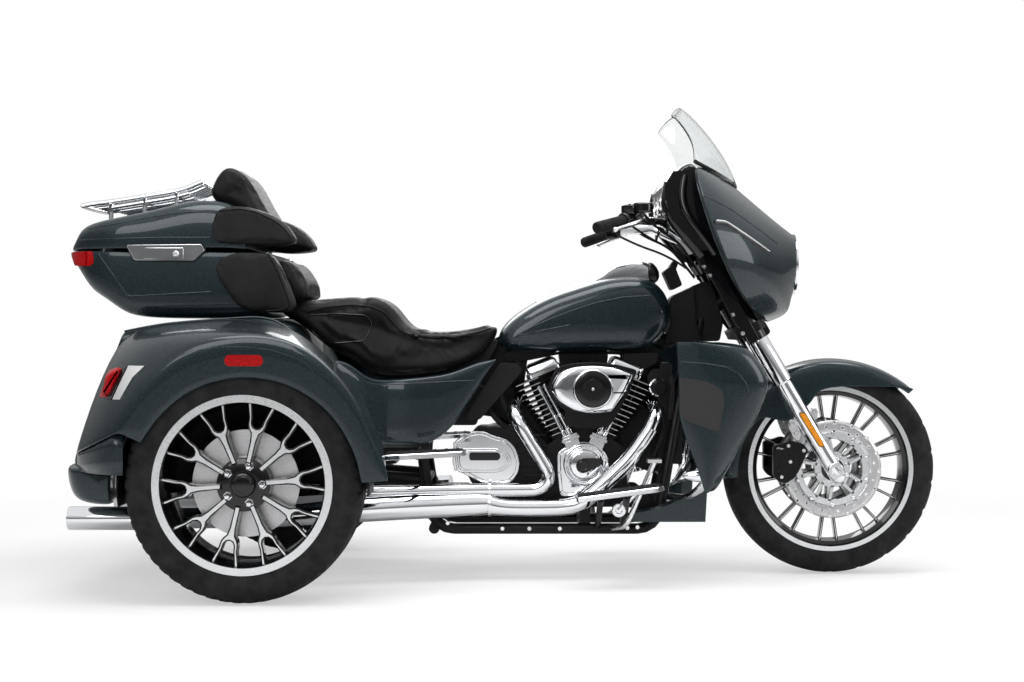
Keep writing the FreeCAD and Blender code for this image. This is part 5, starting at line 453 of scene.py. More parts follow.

# %% [markdown]
# Bars, pipes and cables are curves with a round section. A curve's own spline gives the
# smooth bends of a mandrel-bent tube, and it is turned into a mesh so that it can be
# joined and mirrored like the rest.

# %% Tubes from curves
def tube_mesh(points, radius, radii=None):
    """A round tube along a smooth line; radii are shares of the radius at each point."""
    data = bpy.data.curves.new("tube_path", "CURVE")
    data.dimensions = "3D"
    data.bevel_depth = radius / 1000
    data.bevel_resolution = 5
    data.resolution_u = 10
    data.use_fill_caps = True
    spline = data.splines.new("NURBS")
    spline.points.add(len(points) - 1)
    for index, point in enumerate(points):
        spline.points[index].co = (*mm(*point), 1)
        if radii:
            spline.points[index].radius = radii[index]
    spline.order_u = 3
    spline.use_endpoint_u = True
    path = bpy.data.objects.new("tube_path", data)
    bpy.context.collection.objects.link(path)
    bpy.context.view_layer.update()
    mesh = bpy.data.meshes.new_from_object(
        path.evaluated_get(bpy.context.evaluated_depsgraph_get()))
    bpy.data.objects.remove(path)
    return mesh


def tubes(name, runs, body, material, slot, both_sides=False):
    """One piece of several tubes; each run is (points, radius)."""
    bm = bmesh.new()
    for points, radius in runs:
        bm.from_mesh(tube_mesh(points, radius))
    if both_sides:
        twin = bm.copy()
        bmesh.ops.scale(twin, vec=(1, -1, 1), verts=twin.verts)
        bmesh.ops.reverse_faces(twin, faces=twin.faces)
        other = bpy.data.meshes.new("other_side")
        twin.to_mesh(other)
        bm.from_mesh(other)
        twin.free()
    return finished(bm, name, body, material, slot)


print("tube helpers ready")

# %% [markdown]
# The tyres. Each is one closed section spun about the axle: beads, a sidewall that bulges
# a little over the rim, a shoulder and a crowned tread with grooves round it. The rear
# tyres are car tyres, so their shoulders are also cut across every few degrees. Those
# cuts are made by drawing some corners of the ring inwards.

# %% Tyres
REAR_SECTION = [(101.6, 244.4), (103.6, 251), (106.6, 266), (107.4, 281), (105.4, 296),
                (100.5, 307.5), (92, 315.5), (76, 320), (62, 321.2), (61, 314.5), (53, 314.5),
                (52, 321.8), (22, 322.4), (21, 315), (12, 315), (11, 322.5)]
FRONT_SECTION = [(57, 250.6), (60, 256), (64.2, 271), (65, 284), (62, 296), (54, 306.5),
                 (41, 313.8), (24, 318), (8, 319.3)]
REAR_RADIUS = 322.5
TREAD_FROM = 0.94  # share of the tyre's radius outside which the tread is cut


def both_halves(section):
    return section + [(-y, radius) for y, radius in reversed(section)]


def tyre_piece(name, section, centre, steps, cut_every, cut_from, cut_depth, body, cad_node):
    bm = bmesh.new()
    spun(bm, both_halves(section), centre, steps)
    middle = mm(*centre)
    step = math.tau / steps
    for corner in bm.verts:
        arm = Vector((corner.co.x - middle.x, 0, corner.co.z - middle.z))
        angle = math.atan2(arm.x, arm.z)
        side = (corner.co.y - middle.y) * 1000
        swept = round(angle / step) + (cut_every // 2 if side > 0 else 0)
        across = cut_from[0] / 1000 <= abs(corner.co.y - middle.y) <= cut_from[1] / 1000
        if across and arm.length > middle.z * TREAD_FROM and swept % cut_every == 0:
            corner.co -= arm.normalized() * cut_depth / 1000
    piece = finished(bm, name, body, rubber, "tyre", 30)
    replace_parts(piece, cad_node)
    return piece


REAR_HUB = {"right": (-715.2, -567.5, 322.5), "left": (-715.2, 567.5, 322.5)}
FRONT_HUB = (972.2, 0, 319.3)
for side, hub in REAR_HUB.items():
    made = tyre_piece("tyre_rear_" + side, REAR_SECTION, hub, 216, 4, (74, 102), 6,
                      "rear_wheel_" + side, "rear_tyre_" + side)
    print(made.name, len(made.data.polygons), "faces")
front_tyre = tyre_piece("tyre_front", FRONT_SECTION, FRONT_HUB, 198, 9, (22, 56), 4, "front_wheel",
                        "front_tyre")
print(front_tyre.name, len(front_tyre.data.polygons), "faces")

# %% [markdown]
# The cast wheels. A rim is a spun section: a broad flat lip, machined bright, and a black
# barrel. The ten spokes are tuning forks. One fork is drawn as an outline, pulled to its
# depth and inset on its face, so that the narrow face is bright and the drafted flanks
# stay black, and then it is copied round the hub.

# %% Spokes
REAR_FORK = [(60, 7.5), (120, 9), (140, 12), (150, 20), (161, 24.5), (180, 26.5), (224, 39),
             (224, 27.5), (181, 15.5), (166, 13.5), (158, 8), (155, 0)]
FRONT_FORK = [(30, 8), (70, 8), (120, 10), (136, 16), (150, 20), (238, 33), (238, 24.5), (150, 12),
              (140, 7), (136, 0)]
SPOKES = 10
FACE_RISE = 0.0007  # metres that a machined face stands proud for each millimetre of inset


def fork_spoke(bm, outline, centre, out, face_y, depth, inset, turn):
    """One forked spoke: outline in (radius, sideways), its face at face_y looking to side out."""
    whole = outline + [(radius, -sideways) for radius, sideways in reversed(outline[:-1])]
    ring = ring_of(bm, [(centre[0] + sideways, centre[1] + face_y - out * depth, centre[2] + radius)
                        for radius, sideways in whole])
    made = bmesh.ops.contextual_create(bm, geom=ring)["faces"]
    pulled = bmesh.ops.extrude_face_region(bm, geom=made)
    corners = [item for item in pulled["geom"] if isinstance(item, bmesh.types.BMVert)]
    faces = [item for item in pulled["geom"] if isinstance(item, bmesh.types.BMFace)]
    bmesh.ops.translate(bm, vec=(0, out * depth / 1000, 0), verts=corners)
    bmesh.ops.inset_region(bm, faces=faces, thickness=inset / 1000, depth=0)
    for face in faces:
        face.material_index = 1
    face_corners = list(faces[0].verts)
    bmesh.ops.translate(bm, vec=(0, out * inset * FACE_RISE, 0), verts=face_corners)
    linked = set(face_corners)
    front = list(face_corners)
    while front:
        corner = front.pop()
        for edge in corner.link_edges:
            other = edge.other_vert(corner)
            if other not in linked:
                linked.add(other)
                front.append(other)
    bmesh.ops.rotate(bm, cent=mm(*centre), matrix=Matrix.Rotation(math.radians(turn), 3, "Y"),
                     verts=list(linked))


def rim_piece(name, section, bright_from, fork, centre, out, face_y, depth, inset, first, hub, body,
              cad_node, both_faces):
    bm = bmesh.new()
    spun(bm, section, centre, 180)
    bm.faces.ensure_lookup_table()
    middle = mm(*centre)
    bmesh.ops.recalc_face_normals(bm, faces=bm.faces)
    for face in bm.faces:
        spot = face.calc_center_median()
        radius = math.hypot(spot.x - middle.x, spot.z - middle.z) * 1000
        facing = abs(face.normal.y) > 0.7 and (both_faces or face.normal.y * out > 0)
        if facing and radius > bright_from:
            face.material_index = 1
    for index in range(SPOKES):
        fork_spoke(bm, fork, centre, out, face_y, depth, inset, first + 360 // SPOKES * index)
    spun(bm, hub, (centre[0], centre[1] + face_y, centre[2]), 72)
    piece = finished(bm, name, body, [gloss_black, machined], "alloy", 30)
    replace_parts(piece, cad_node)
    return piece


for side, hub in REAR_HUB.items():
    out = OUT[side]
    section = [(out * y, radius) for y, radius in [(101.4, 243), (101.4, 223), (99, 221.4),
                                                   (92, 220.4), (80, 217), (0, 213), (-90, 214),
                                                   (-99, 219), (-101.4, 222), (-101.4, 243),
                                                   (-94, 243.2), (-60, 228), (60, 228),
                                                   (94, 243.2)]]
    disc_hub = [(out * y, radius) for y, radius in [
        (2, 0.5), (2, 30), (0, 33), (-4, 34), (-4, 66), (-8, 73), (-46, 76), (-50, 70), (-50, 0.5)]]
    made = rim_piece("wheel_rear_" + side, section, 221, REAR_FORK, hub, out, out * 80, 32, 4.2,
                     13.3, disc_hub, "rear_wheel_" + side, "rear_rim_" + side, False)
    print(made.name, len(made.data.polygons), "faces")

FRONT_RIM = both_halves([(59, 249.7), (59, 236), (56, 234.5), (46, 232.5), (40, 222), (14, 217)])
FRONT_HUB_SECTION = both_halves([(77.4, 13), (77.4, 34), (60, 36), (30, 30), (17, 42)])
front_wheel = rim_piece("wheel_front", FRONT_RIM, 235, FRONT_FORK, FRONT_HUB, -1, -15, 30, 3.4, 0,
                        FRONT_HUB_SECTION, "front_wheel", "front_rim", True)
print(front_wheel.name, len(front_wheel.data.polygons), "faces")

# %% [markdown]
# Body panels are pressed sheets and hollow mouldings. They can be drawn as side outlines at
# a few depths, or as rounded hoops across the trike, and bridged. The wall is added on the
# inside, so the outer face stays where the CAD has it.

# %% Helpers for panels
def grown(outline, amount):
    """The side outline moved outwards at every corner; below zero it shrinks."""
    count = len(outline)
    area = sum(outline[i - 1][0] * outline[i][1] - outline[i][0] * outline[i - 1][1]
               for i in range(count))
    way = 1 if area > 0 else -1
    moved = []
    for index, (x, z) in enumerate(outline):
        before = Vector(outline[index - 1])
        after = Vector(outline[(index + 1) % count])
        here = Vector((x, z))
        into = (here - before).normalized()
        out = (after - here).normalized()
        square = Vector((into.y + out.y, -into.x - out.x))
        if square.length < 0.2:
            square = Vector((into.y, -into.x))
        square.normalize()
        reach = max(0.6, square.dot(Vector((into.y, -into.x))))
        moved.append((x + square.x * amount * way / reach, z + square.y * amount * way / reach))
    return moved


def at_side(outline, y):
    return [(x, y, z) for x, z in outline]


def held_edges(bm, rings, weight):
    """Keeps chosen rings of edges sharp when the skin is rounded."""
    layer = bm.edges.layers.float["crease_edge"]
    for ring in rings:
        for edge in ring:
            edge[layer] = weight


def layered(name, layers, body, material, slot, levels=2, crease=40):
    """Side outlines bridged across the trike; a layer is (y, outline)."""
    bm = bmesh.new()
    skin_over(bm, [at_side(outline, y) for y, outline in layers])
    return rounded_by(finished(bm, name, body, material, slot, crease), levels)


def both_ways(layers):
    """Layers from the middle plane outwards, repeated on the other side."""
    return [(-y, outline) for y, outline in reversed(layers) if y] + layers


def thickened(piece, thickness):
    """A sheet piece given its thickness on the inside, before it is rounded."""
    wall = piece.modifiers.new("wall", "SOLIDIFY")
    wall.thickness = thickness / 1000
    wall.offset = -1
    while piece.modifiers[0] != wall:
        with bpy.context.temp_override(object=piece):
            piece.modifiers.move(piece.modifiers.find("wall"), 0)
    return piece


def hoop(half, top, bottom, round_top, round_bottom, part="all", steps=4):
    """A rounded four-sided ring across the trike between a top and a bottom (x, z)."""
    rise = math.dist(top, bottom)
    low = min(round_bottom, rise * 0.48, half)
    high = min(round_top, rise * 0.48, half)
    flat = []
    for radius, middle, level, start in ((high, -half + high, rise - high, 180),
                                         (high, half - high, rise - high, 90),
                                         (low, half - low, low, 0), (low, -half + low, low, -90)):
        for step in range(steps + 1):
            turn = math.radians(start - 90 * step / steps)
            flat.append((middle + radius * math.cos(turn), level + radius * math.sin(turn)))
    if part == "arch":
        flat = [(-half, 0)] + flat[:2 * steps + 2] + [(half, 0)]
    if part == "trough":
        flat = [(half, rise)] + flat[2 * steps + 2:] + [(-half, rise)]
    share = [(y, up / rise) for y, up in flat]
    return [(bottom[0] + (top[0] - bottom[0]) * up, y, bottom[1] + (top[1] - bottom[1]) * up) for y,
            up in share]


print("panel helpers ready")

# %% [markdown]
# The rear fenders are broad pressed shells that flow out of the trunk and drop over the
# car tyres. Each section runs from the trunk's side over the crown and down the flank to
# the wheel arch. The sections fan out about the axle, so the arch stays a true circle.

# %% Rear fenders
FENDER_INNER = [(-1.57, 0.18), (-1.38, 0.77), (-1.147, 1.279), (-0.877, 1.338), (-0.55, 1.38),
                (0.109, 1.406), (0.38, 1.28), (0.58, 1.13), (0.76, 0.95), (0.95, 0.7), (1.09, 0.4),
                (1.15, 0.2), (1.15, 0.04)]
FENDER_OUTER = [(-1.02, 0.436), (-0.94, 0.7), (-0.735, 0.92), (-0.514, 1.11), (-0.257, 1.21),
                (0.056, 1.254), (0.37, 1.22), (0.63, 1.09), (0.85, 0.87), (1.0, 0.646), (1.1, 0.37),
                (1.2, 0.2), (1.23, 0.04)]
CROWN = [(0.0, 0.0), (0.22, 0.08), (0.45, 0.22), (0.64, 0.4), (0.8, 0.6), (0.93, 0.84),
         (0.995, 1.0)]
ARCH_X, ARCH_Z, ARCH_RADIUS = -702.3, 306.4, 308
FENDER_INSIDE, FENDER_REACH = -440, 255


def fender_section(inner, outer):
    """From the trunk's side over the crown to the arch's lip; places are shares of the tyre."""
    section = []
    for across, moved in CROWN:
        x = REAR_HUB["right"][0] + REAR_RADIUS * (inner[0] + (outer[0] - inner[0]) * moved)
        z = REAR_HUB["right"][2] + REAR_RADIUS * (inner[1] + (outer[1] - inner[1]) * moved)
        section.append((x, FENDER_INSIDE - FENDER_REACH * across, z))
    x, _, z = section[-1]
    turn = math.atan2(x - ARCH_X, z - ARCH_Z)
    lip = (ARCH_X + ARCH_RADIUS * math.sin(turn), ARCH_Z + ARCH_RADIUS * math.cos(turn))
    section.append(((x * 2 + lip[0]) / 3, -694.6, (z * 2 + lip[1]) / 3))
    section.append(((x + lip[0] * 5) / 6, -693.5, (z + lip[1] * 5) / 6))
    section.append((lip[0], -692.5, lip[1]))
    section.append((lip[0], -681, lip[1]))
    return section


bm = bmesh.new()
skin_over(bm, [fender_section(*pair) for pair in zip(FENDER_INNER, FENDER_OUTER)], closed=False,
          capped=False)
fender_right = rounded_by(finished(bm, "fender_shell_right", "chassis", teal_lacquer, "paint", 60))
thickened(fender_right, 5)
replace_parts(fender_right, "fender_right")
fender_left = mirrored_twin(fender_right, "fender_shell_left", "chassis")
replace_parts(fender_left, "fender_left")
print("fenders", len(fender_right.data.polygons), "faces each before rounding")

# %% [markdown]
# A plain black liner arches over each rear tyre and closes the view into the trunk. It is
# an open profile turned about the axle through a little more than half a circle.

# %% Wheel well liners
for side, hub in REAR_HUB.items():
    out = OUT[side]
    bm = bmesh.new()
    profile = [(-out * 112, 60), (-out * 112, 338), (-out * 60, 341), (out * 60, 341),
               (out * 100, 338)]
    ring = ring_of(bm, [(hub[0], hub[1] + y, hub[2] + radius) for y, radius in profile],
                   closed=False)
    bmesh.ops.rotate(bm, cent=mm(*hub), matrix=Matrix.Rotation(math.radians(-100), 3, "Y"),
                     verts=bm.verts)
    bmesh.ops.spin(bm, geom=list(bm.verts) + list(bm.edges), cent=mm(*hub), axis=(0, 1, 0),
                   dvec=(0, 0, 0), angle=math.radians(195), steps=48, use_merge=False,
                   use_duplicate=False)
    liner = finished(bm, "wheel_well_liner_" + side, "chassis", grained_plastic, "black_plastic",
                     50)
    thickened(liner, 2)
print("liners made")

# %% [markdown]
# The trunk is one moulded body between the fenders. Its rear is slanted and framed for the
# drop-down door, so the skin turns in round the opening like a real flange.

# %% Trunk body and door
TRUNK = [((-1082.7, 734.5), (-1226.9, 362)), ((-1072, 739), (-1222, 350)),
         ((-1040, 747), (-1160, 335)), ((-997.6, 753.4), (-1080, 330)),
         ((-894, 764.8), (-1000, 345)), ((-694.3, 778), (-760, 398)), ((-640, 760), (-690, 400)),
         ((-605.6, 732.6), (-620, 400)), ((-561.2, 634.4), (-545, 402)), ((-520, 590), (-510, 430)),
         ((-489, 558.8), (-489, 475))]
bm = bmesh.new()
sections = [hoop(386, (-1092.8, 708.4), (-1218.3, 384.5), 26, 26)]
sections = [[(x + 16, y, z + 6) for x, y, z in sections[0]]] + sections
for top, bottom in TRUNK:
    sections.append(hoop(439, top, bottom, 26, 40))
rings = skin_over(bm, sections, capped=False)
bmesh.ops.contextual_create(bm, geom=rings[-1])
held_edges(bm, rings[1:3], 0.7)
trunk = rounded_by(finished(bm, "trunk_shell", "chassis", teal_lacquer, "paint", 40))
thickened(trunk, 5)
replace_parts(trunk, "trunk_body")

bm = bmesh.new()
door = hoop(379.5, (-1094.8, 703.4), (-1216.6, 389), 22, 22)
inside = [(x + 14, y, z + 5.4) for x, y, z in door]
raised = [(x - 0.6, y * 0.93, z) for x, y, z in hoop(368, (-1099, 692), (-1212, 400), 20, 20)]
sections = [inside, door, hoop(374, (-1096.8, 698), (-1214.6, 394), 20, 20), raised]
skin_over(bm, sections)
made = rounded_by(finished(bm, "trunk_door_panel", "trunk_door", teal_lacquer, "paint", 40))
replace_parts(made, "trunk_door")
print("trunk and door made")

# %% [markdown]
# The top case is two deep mouldings that meet at a split line, like a clamshell. The lid's
# sections arch over and the base's sections hang below. Both taper at the rear corners.

# %% Top case
LID_TOP = [(-1291, 975), (-1283, 982), (-1275, 990), (-1262, 1012), (-1247, 1036.5),
           (-1211.6, 1053), (-1149.5, 1066.5), (-1085, 1080), (-1025.3, 1093.5), (-936.6, 1117.5),
           (-877.4, 1121.5), (-818.3, 1114.5), (-800, 1096), (-782.8, 1062), (-770, 1015),
           (-761, 976)]
BASE_LOW = [(-1291, 967), (-1278, 948), (-1264.9, 924.7), (-1240, 888), (-1214.6, 851.8),
            (-1173.2, 828.2), (-1138, 802), (-1102.2, 779.5), (-1043, 773), (-960, 773),
            (-860, 773), (-780, 773), (-730, 773), (-712, 775), (-702, 782), (-700.3, 800),
            (-700, 880), (-700, 966)]


CASE_HALF, CASE_REAR, CASE_FRONT = 290, -1291.5, -700
BIG, SMALL = 139, 58  # corner radii of the case's plan, behind and in front


def case_half(x):
    """Half the case's width: its plan has wide corners behind and small ones in front."""
    behind = BIG - min(BIG, x - CASE_REAR)
    ahead = SMALL - min(SMALL, CASE_FRONT - x)
    return (CASE_HALF - BIG + math.sqrt(BIG ** 2 - behind ** 2) - SMALL
            + math.sqrt(SMALL ** 2 - ahead ** 2))


bm = bmesh.new()
rings = skin_over(bm, [hoop(case_half(x), (x, z), (x, 972), 58, 5, "arch") for x, z in LID_TOP],
                  False, False)
held_edges(bm, [rings[0], rings[-1]], 0.6)
lid = rounded_by(finished(bm, "top_case_lid_shell", "case_lid", teal_lacquer, "paint", 50))
thickened(lid, 4)
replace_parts(lid, "case_lid")
bm = bmesh.new()
rings = skin_over(bm, [hoop(case_half(x), (x, 970), (x, z), 5, 46, "trough") for x, z in BASE_LOW],
                  False, False)
held_edges(bm, [rings[0], rings[-3]], 0.6)
base = rounded_by(finished(bm, "top_case_base_shell", "chassis", teal_lacquer, "paint", 50))
thickened(base, 4)
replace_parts(base, "case_base")
print("top case made")

# %% [markdown]
# The batwing fairing turns with the fork. Its shell is drawn as rings about the headlamp:
# the outer edge that the inner panel meets, two full rings in between and the lamp's rim.
# Every ring lists one side from the top round to the bottom and is mirrored for the other.

# %% Fairing shell
FAIRING_EDGE = [(697, 0, 1168), (660, 92, 1180), (598, 182, 1204), (540, 262, 1224),
                (536, 318, 1175), (550, 364, 1100), (576, 386, 1015), (612, 378, 925),
                (660, 318, 845), (716, 216, 794), (768, 108, 768), (800, 0, 760)]
FAIRING_WIDE = [(740, 0, 1128), (718, 92, 1132), (684, 180, 1136), (650, 256, 1126),
                (640, 312, 1086), (646, 346, 1030), (664, 352, 965), (690, 326, 898),
                (724, 262, 838), (764, 176, 800), (806, 92, 778), (828, 0, 772)]
FAIRING_NOSE = [(822, 0, 1056), (812, 72, 1056), (796, 138, 1050), (780, 192, 1030),
                (772, 232, 996), (772, 250, 956), (780, 244, 912), (794, 214, 868), (812, 166, 832),
                (830, 112, 808), (846, 58, 794), (852, 0, 790)]
FAIRING_BROW = [(880, 0, 1018), (876, 38, 1014), (868, 70, 1002), (860, 96, 982), (855, 110, 954),
                (852, 112, 928), (850, 104, 898), (850, 88, 872), (852, 66, 850), (854, 42, 836),
                (856, 20, 828), (857, 0, 826)]


def whole_ring(half):
    return half + [(x, -y, z) for x, y, z in reversed(half[1:-1])]


LAMP_RADIUS = 90
lamp_rim = [(868 - 6 * (1 - math.cos(a)) / 2, LAMP_RADIUS * math.sin(a),
             936 + LAMP_RADIUS * math.cos(a)) for a in [math.pi * step / 11 for step in range(12)]]
bm = bmesh.new()
shell = [FAIRING_EDGE, FAIRING_WIDE, FAIRING_NOSE, FAIRING_BROW, lamp_rim,
         [(x - 40, y, z) for x, y, z in lamp_rim]]
rings = skin_over(bm, [whole_ring(half) for half in shell], capped=False)
held_edges(bm, [rings[0], rings[4]], 0.7)
fairing = rounded_by(finished(bm, "fairing_shell", "steering", teal_lacquer, "paint", 50))
thickened(fairing, 5)
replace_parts(fairing, "fairing_outer")
print("fairing", len(fairing.data.polygons), "faces before rounding")

# %% [markdown]
# The headlamp is a chromed bowl with a rolled bezel and a domed glass. Both are lathe work
# on the real lamp, so both are profiles turned about its own line.

# %% Headlamp
def turned_x(bm, profile, centre, steps):
    """Spins an open profile of (x, radius) about a line along x."""
    ring = ring_of(bm, [(centre[0] + x, centre[1], centre[2] + radius) for x, radius in profile],
                   closed=False)
    corners = list({corner for edge in ring for corner in edge.verts})
    bmesh.ops.spin(bm, geom=corners + ring, cent=mm(*centre), axis=(1, 0, 0), dvec=(0, 0, 0),
                   angle=math.tau, steps=steps, use_merge=True, use_duplicate=False)


LAMP = (786, 0, 936)
bm = bmesh.new()
turned_x(bm, [(0, 0.5), (2, 22), (16, 50), (46, 74), (70, 82), (76, 84), (76, 88), (84, 88),
              (84, 82), (80, 80)], LAMP, 64)
bowl = finished(bm, "headlamp_bowl", "steering", chrome, "chrome", 45)
thickened(bowl, 1.5)
bm = bmesh.new()
turned_x(bm, [(80, 80), (83, 70), (86, 45), (87, 15), (87, 0.5)], LAMP, 64)
glass = finished(bm, "headlamp_lens", "steering", clear_lens, "lamp_glass", 45)
thickened(glass, 2.5)
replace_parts(bowl, "headlamp")
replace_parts(glass, "headlamp")
print("headlamp made")

# %% [markdown]
# The windshield is a clear sheet, curved one way round the rider and a little the other
# way up its height. It stands in a black strip along the fairing's top edge.

# %% Windshield
SCREEN_RISE = [(700, 1168), (684, 1206), (662, 1250), (630, 1297), (590, 1346), (552, 1385),
               (522, 1407)]
SCREEN_ACROSS = [(0.0, 0.0), (60, 0.06), (120, 0.24), (175, 0.5), (220, 0.78), (248, 1.0)]


def screen_row(index):
    """One level of the screen: it sweeps back at its sides, less so towards the top."""
    x, z = SCREEN_RISE[index]
    up = index / (len(SCREEN_RISE) - 1)
    back = 165 - 112 * up
    lift = 54 * (1 - up) - 44 * up
    narrow = 1 + 0.05 * math.sin(up * math.pi) - 0.14 * max(0, up - 0.6)
    half = [(x - back * sweep, y * narrow, z + lift * sweep * sweep) for y, sweep in SCREEN_ACROSS]
    return [(px, -py, pz) for px, py, pz in reversed(half[1:])] + half


bm = bmesh.new()
skin_over(bm, [screen_row(index) for index in range(len(SCREEN_RISE))], closed=False, capped=False)
screen = rounded_by(finished(bm, "windshield_sheet", "steering", screen_clear, "clear_screen", 60))
thickened(screen, 3.5)
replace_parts(screen, "windshield")
print("windshield made")

# %% [markdown]
# The fuel tank is a teardrop with full cheeks and a soft crease along each side. A chromed
# console runs down its middle, from the seat's nose to the filler.

# %% Tank and console
TANK = [(-30, 714), (-12, 754), (43, 797), (118, 838), (217, 868), (290, 892), (368, 898),
        (419, 890), (455, 866), (479, 826), (484, 780), (471, 735), (440, 694), (403, 680),
        (310, 676), (217, 674), (140, 674), (68, 674), (-7, 680), (-26, 696)]
tank_top = grown(TANK, 6)
tank_layers = both_ways([(0, tank_top), (60, grown(TANK, 4)), (100, TANK), (128, grown(TANK, -10)),
                         (143, grown(TANK, -30)), (149, grown(TANK, -54))])
tank = layered("tank_shell", tank_layers, "chassis", teal_lacquer, "paint", crease=60)
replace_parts(tank, "fuel_tank")
CONSOLE = [(44, 802), (120, 850), (216, 887), (258, 900), (295, 929), (327, 942), (365, 948),
           (395, 949), (427, 942), (448, 913), (446, 880), (420, 872), (360, 876), (290, 872),
           (217, 850), (118, 820)]
console_layers = both_ways([(0, CONSOLE), (28, grown(CONSOLE, -1)), (40, grown(CONSOLE, -5)),
                            (44.5, grown(CONSOLE, -13))])
console = layered("tank_console_cover", console_layers, "chassis", chrome, "chrome", crease=60)
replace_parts(console, "tank_console")
print("tank made")

# %% [markdown]
# The lower fairings shield the rider's legs beside the engine. Each is a bent panel that
# wraps from the outer flank round its leading edge to the frame tubes.

# %% Lower fairings
LOWER_ROWS = [(704, 474, 560, 600), (698, 472, 640, 668), (684, 473, 676, 694),
              (655, 475, 700, 716), (620, 477, 722, 738), (584, 478, 736, 751),
              (540, 479, 722, 738), (500, 478, 706, 722), (451, 492, 680, 698),
              (412, 506, 656, 672), (365, 524, 632, 648), (323, 540, 610, 624),
              (290, 550, 592, 606), (273, 556, 578, 590)]


def lower_row(z, rear, bend, front):
    """One level of a lower fairing, from its rear hem round the bend to its front."""
    span = bend - rear
    return [(rear + 6, -362, z), (rear, -369, z), (rear + span * 0.35, -374.5, z),
            (rear + span * 0.7, -371, z), (bend - 12, -356, z),
            (bend + (front - bend) * 0.75, -332, z), (front, -300, z), (front - 4, -266, z)]


bm = bmesh.new()
rings = skin_over(bm, [lower_row(*row) for row in LOWER_ROWS], closed=False, capped=False)
held_edges(bm, [rings[0]], 0.5)
lower_right = rounded_by(finished(bm, "leg_shield_right", "chassis", teal_lacquer, "paint", 50))
thickened(lower_right, 6)
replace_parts(lower_right, "lower_fairings")
lower_left = mirrored_twin(lower_right, "leg_shield_left", "chassis")
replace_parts(lower_left, "lower_fairings")
print("lower fairings made")

# %% [markdown]
# The front fender is a deep valanced arch that turns and rises with the fork. Its crown
# follows the tyre. Its flanks drop low beside the fork legs and run back to a skirt.

# %% Front fender
FLANK_FOOT = [(45, 340), (42, 330), (36, 306), (28, 281), (15, 258), (4, 248), (-8, 243),
              (-13, 231), (-18, 212), (-27, 199), (-38, 194), (-46, 200), (-52, 262), (-60, 274),
              (-72, 280), (-84, 284), (-95, 287)]
CROWN_TOP = [(45, 345), (30, 339), (12, 334), (-10, 331.5), (-60, 331.5), (-95, 331.5)]


def read_off(table, angle):
    """The value at an angle, from a table of falling angles."""
    for (first, start), (second, end) in zip(table, table[1:]):
        if second <= angle <= first:
            return start + (end - start) * (first - angle) / (first - second)
    return table[-1][1] if angle < table[-1][0] else table[0][1]


def arch_section(angle):
    """The front fender across the tyre, at an angle from straight up."""
    foot = read_off(FLANK_FOOT, angle)
    top = read_off(CROWN_TOP, angle)
    turn = math.radians(angle)
    half = [(98, foot), (98, foot + 3), (97, (foot * 2 + top) / 3), (96, top - 28), (90, top - 13),
            (76, top - 5), (46, top - 1), (16, top)]
    whole = [(-y, radius) for y, radius in half] + [(y, radius) for y, radius in reversed(half)]
    return [(FRONT_HUB[0] + radius * math.sin(turn), y, FRONT_HUB[2] + radius * math.cos(turn))
            for y, radius in whole]


bm = bmesh.new()
angles = [45, 42, 38, 32, 26, 20, 14, 8, 2, -4, -9, -13, -18, -23, -29, -36, -42, -47, -52, -57,
          -63, -70, -77, -84, -90, -95]
skin_over(bm, [arch_section(angle) for angle in angles], closed=False, capped=False)
front_fender = rounded_by(finished(bm, "front_fender_shell", "steering", teal_lacquer, "paint", 60))
thickened(front_fender, 3.5)
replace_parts(front_fender, "front_fender")
print("front fender made")

# %% [markdown]
# Painted covers close the sides below the seat, and a rounded valance closes the tail.
# The bracket for the number plate is a stamped black plate with four holes.

# %% Side covers and tail valance
COVER_RIBS = [(-486, 527, 655, -436), (-455, 490, 647, -404), (-420, 440, 614, -370),
              (-391, 415, 596, -338), (-346, 402, 594, -288), (-290, 400, 598, -242),
              (-232, 402, 603, -224), (-180, 438, 611, -215), (-146, 480, 623, -208),
              (-100, 552, 642, -200), (-70, 603, 649, -195), (-38, 646, 654, -189)]


def cover_rib(x, low, high, y):
    """A side cover's section, turned in at its upper and lower edge."""
    turn = min(9, (high - low) / 3)
    return [(x, y + 34, high), (x, y + turn, high - 1), (x, y, high - turn),
            (x, y, (low + high) / 2), (x, y, low + turn), (x, y + turn, low + 1), (x, y + 34, low)]


bm = bmesh.new()
skin_over(bm, [cover_rib(*rib) for rib in COVER_RIBS], closed=False, capped=False)
cover_right = rounded_by(finished(bm, "side_cover_right", "chassis", teal_lacquer, "paint", 50))
thickened(cover_right, 4)
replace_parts(cover_right, "side_covers")
cover_left = mirrored_twin(cover_right, "side_cover_left", "chassis")
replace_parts(cover_left, "side_covers")

VALANCE = [(-1243.6, 318.7), (-1246.3, 345), (-1243, 360), (-1224.5, 364), (-1160, 362),
           (-1112, 353), (-1110, 340), (-1110, 268), (-1114, 252), (-1160, 252), (-1212, 259.7),
           (-1235.4, 284.7)]
valance_layers = []
for y, bend, shrink in ((0, 0, 0), (240, 0, 0), (400, 3, 0), (470, 12, 0), (510, 28, -3),
                        (529, 48, -10), (536, 64, -22)):
    outline = [(min(x + bend, -1100 if y > 400 else 0), z) for x, z in grown(VALANCE, shrink)]
    valance_layers.append((y, outline))
valance = layered("tail_valance", both_ways(valance_layers), "chassis", teal_lacquer, "paint",
                  crease=50)
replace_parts(valance, "rear_bumper")


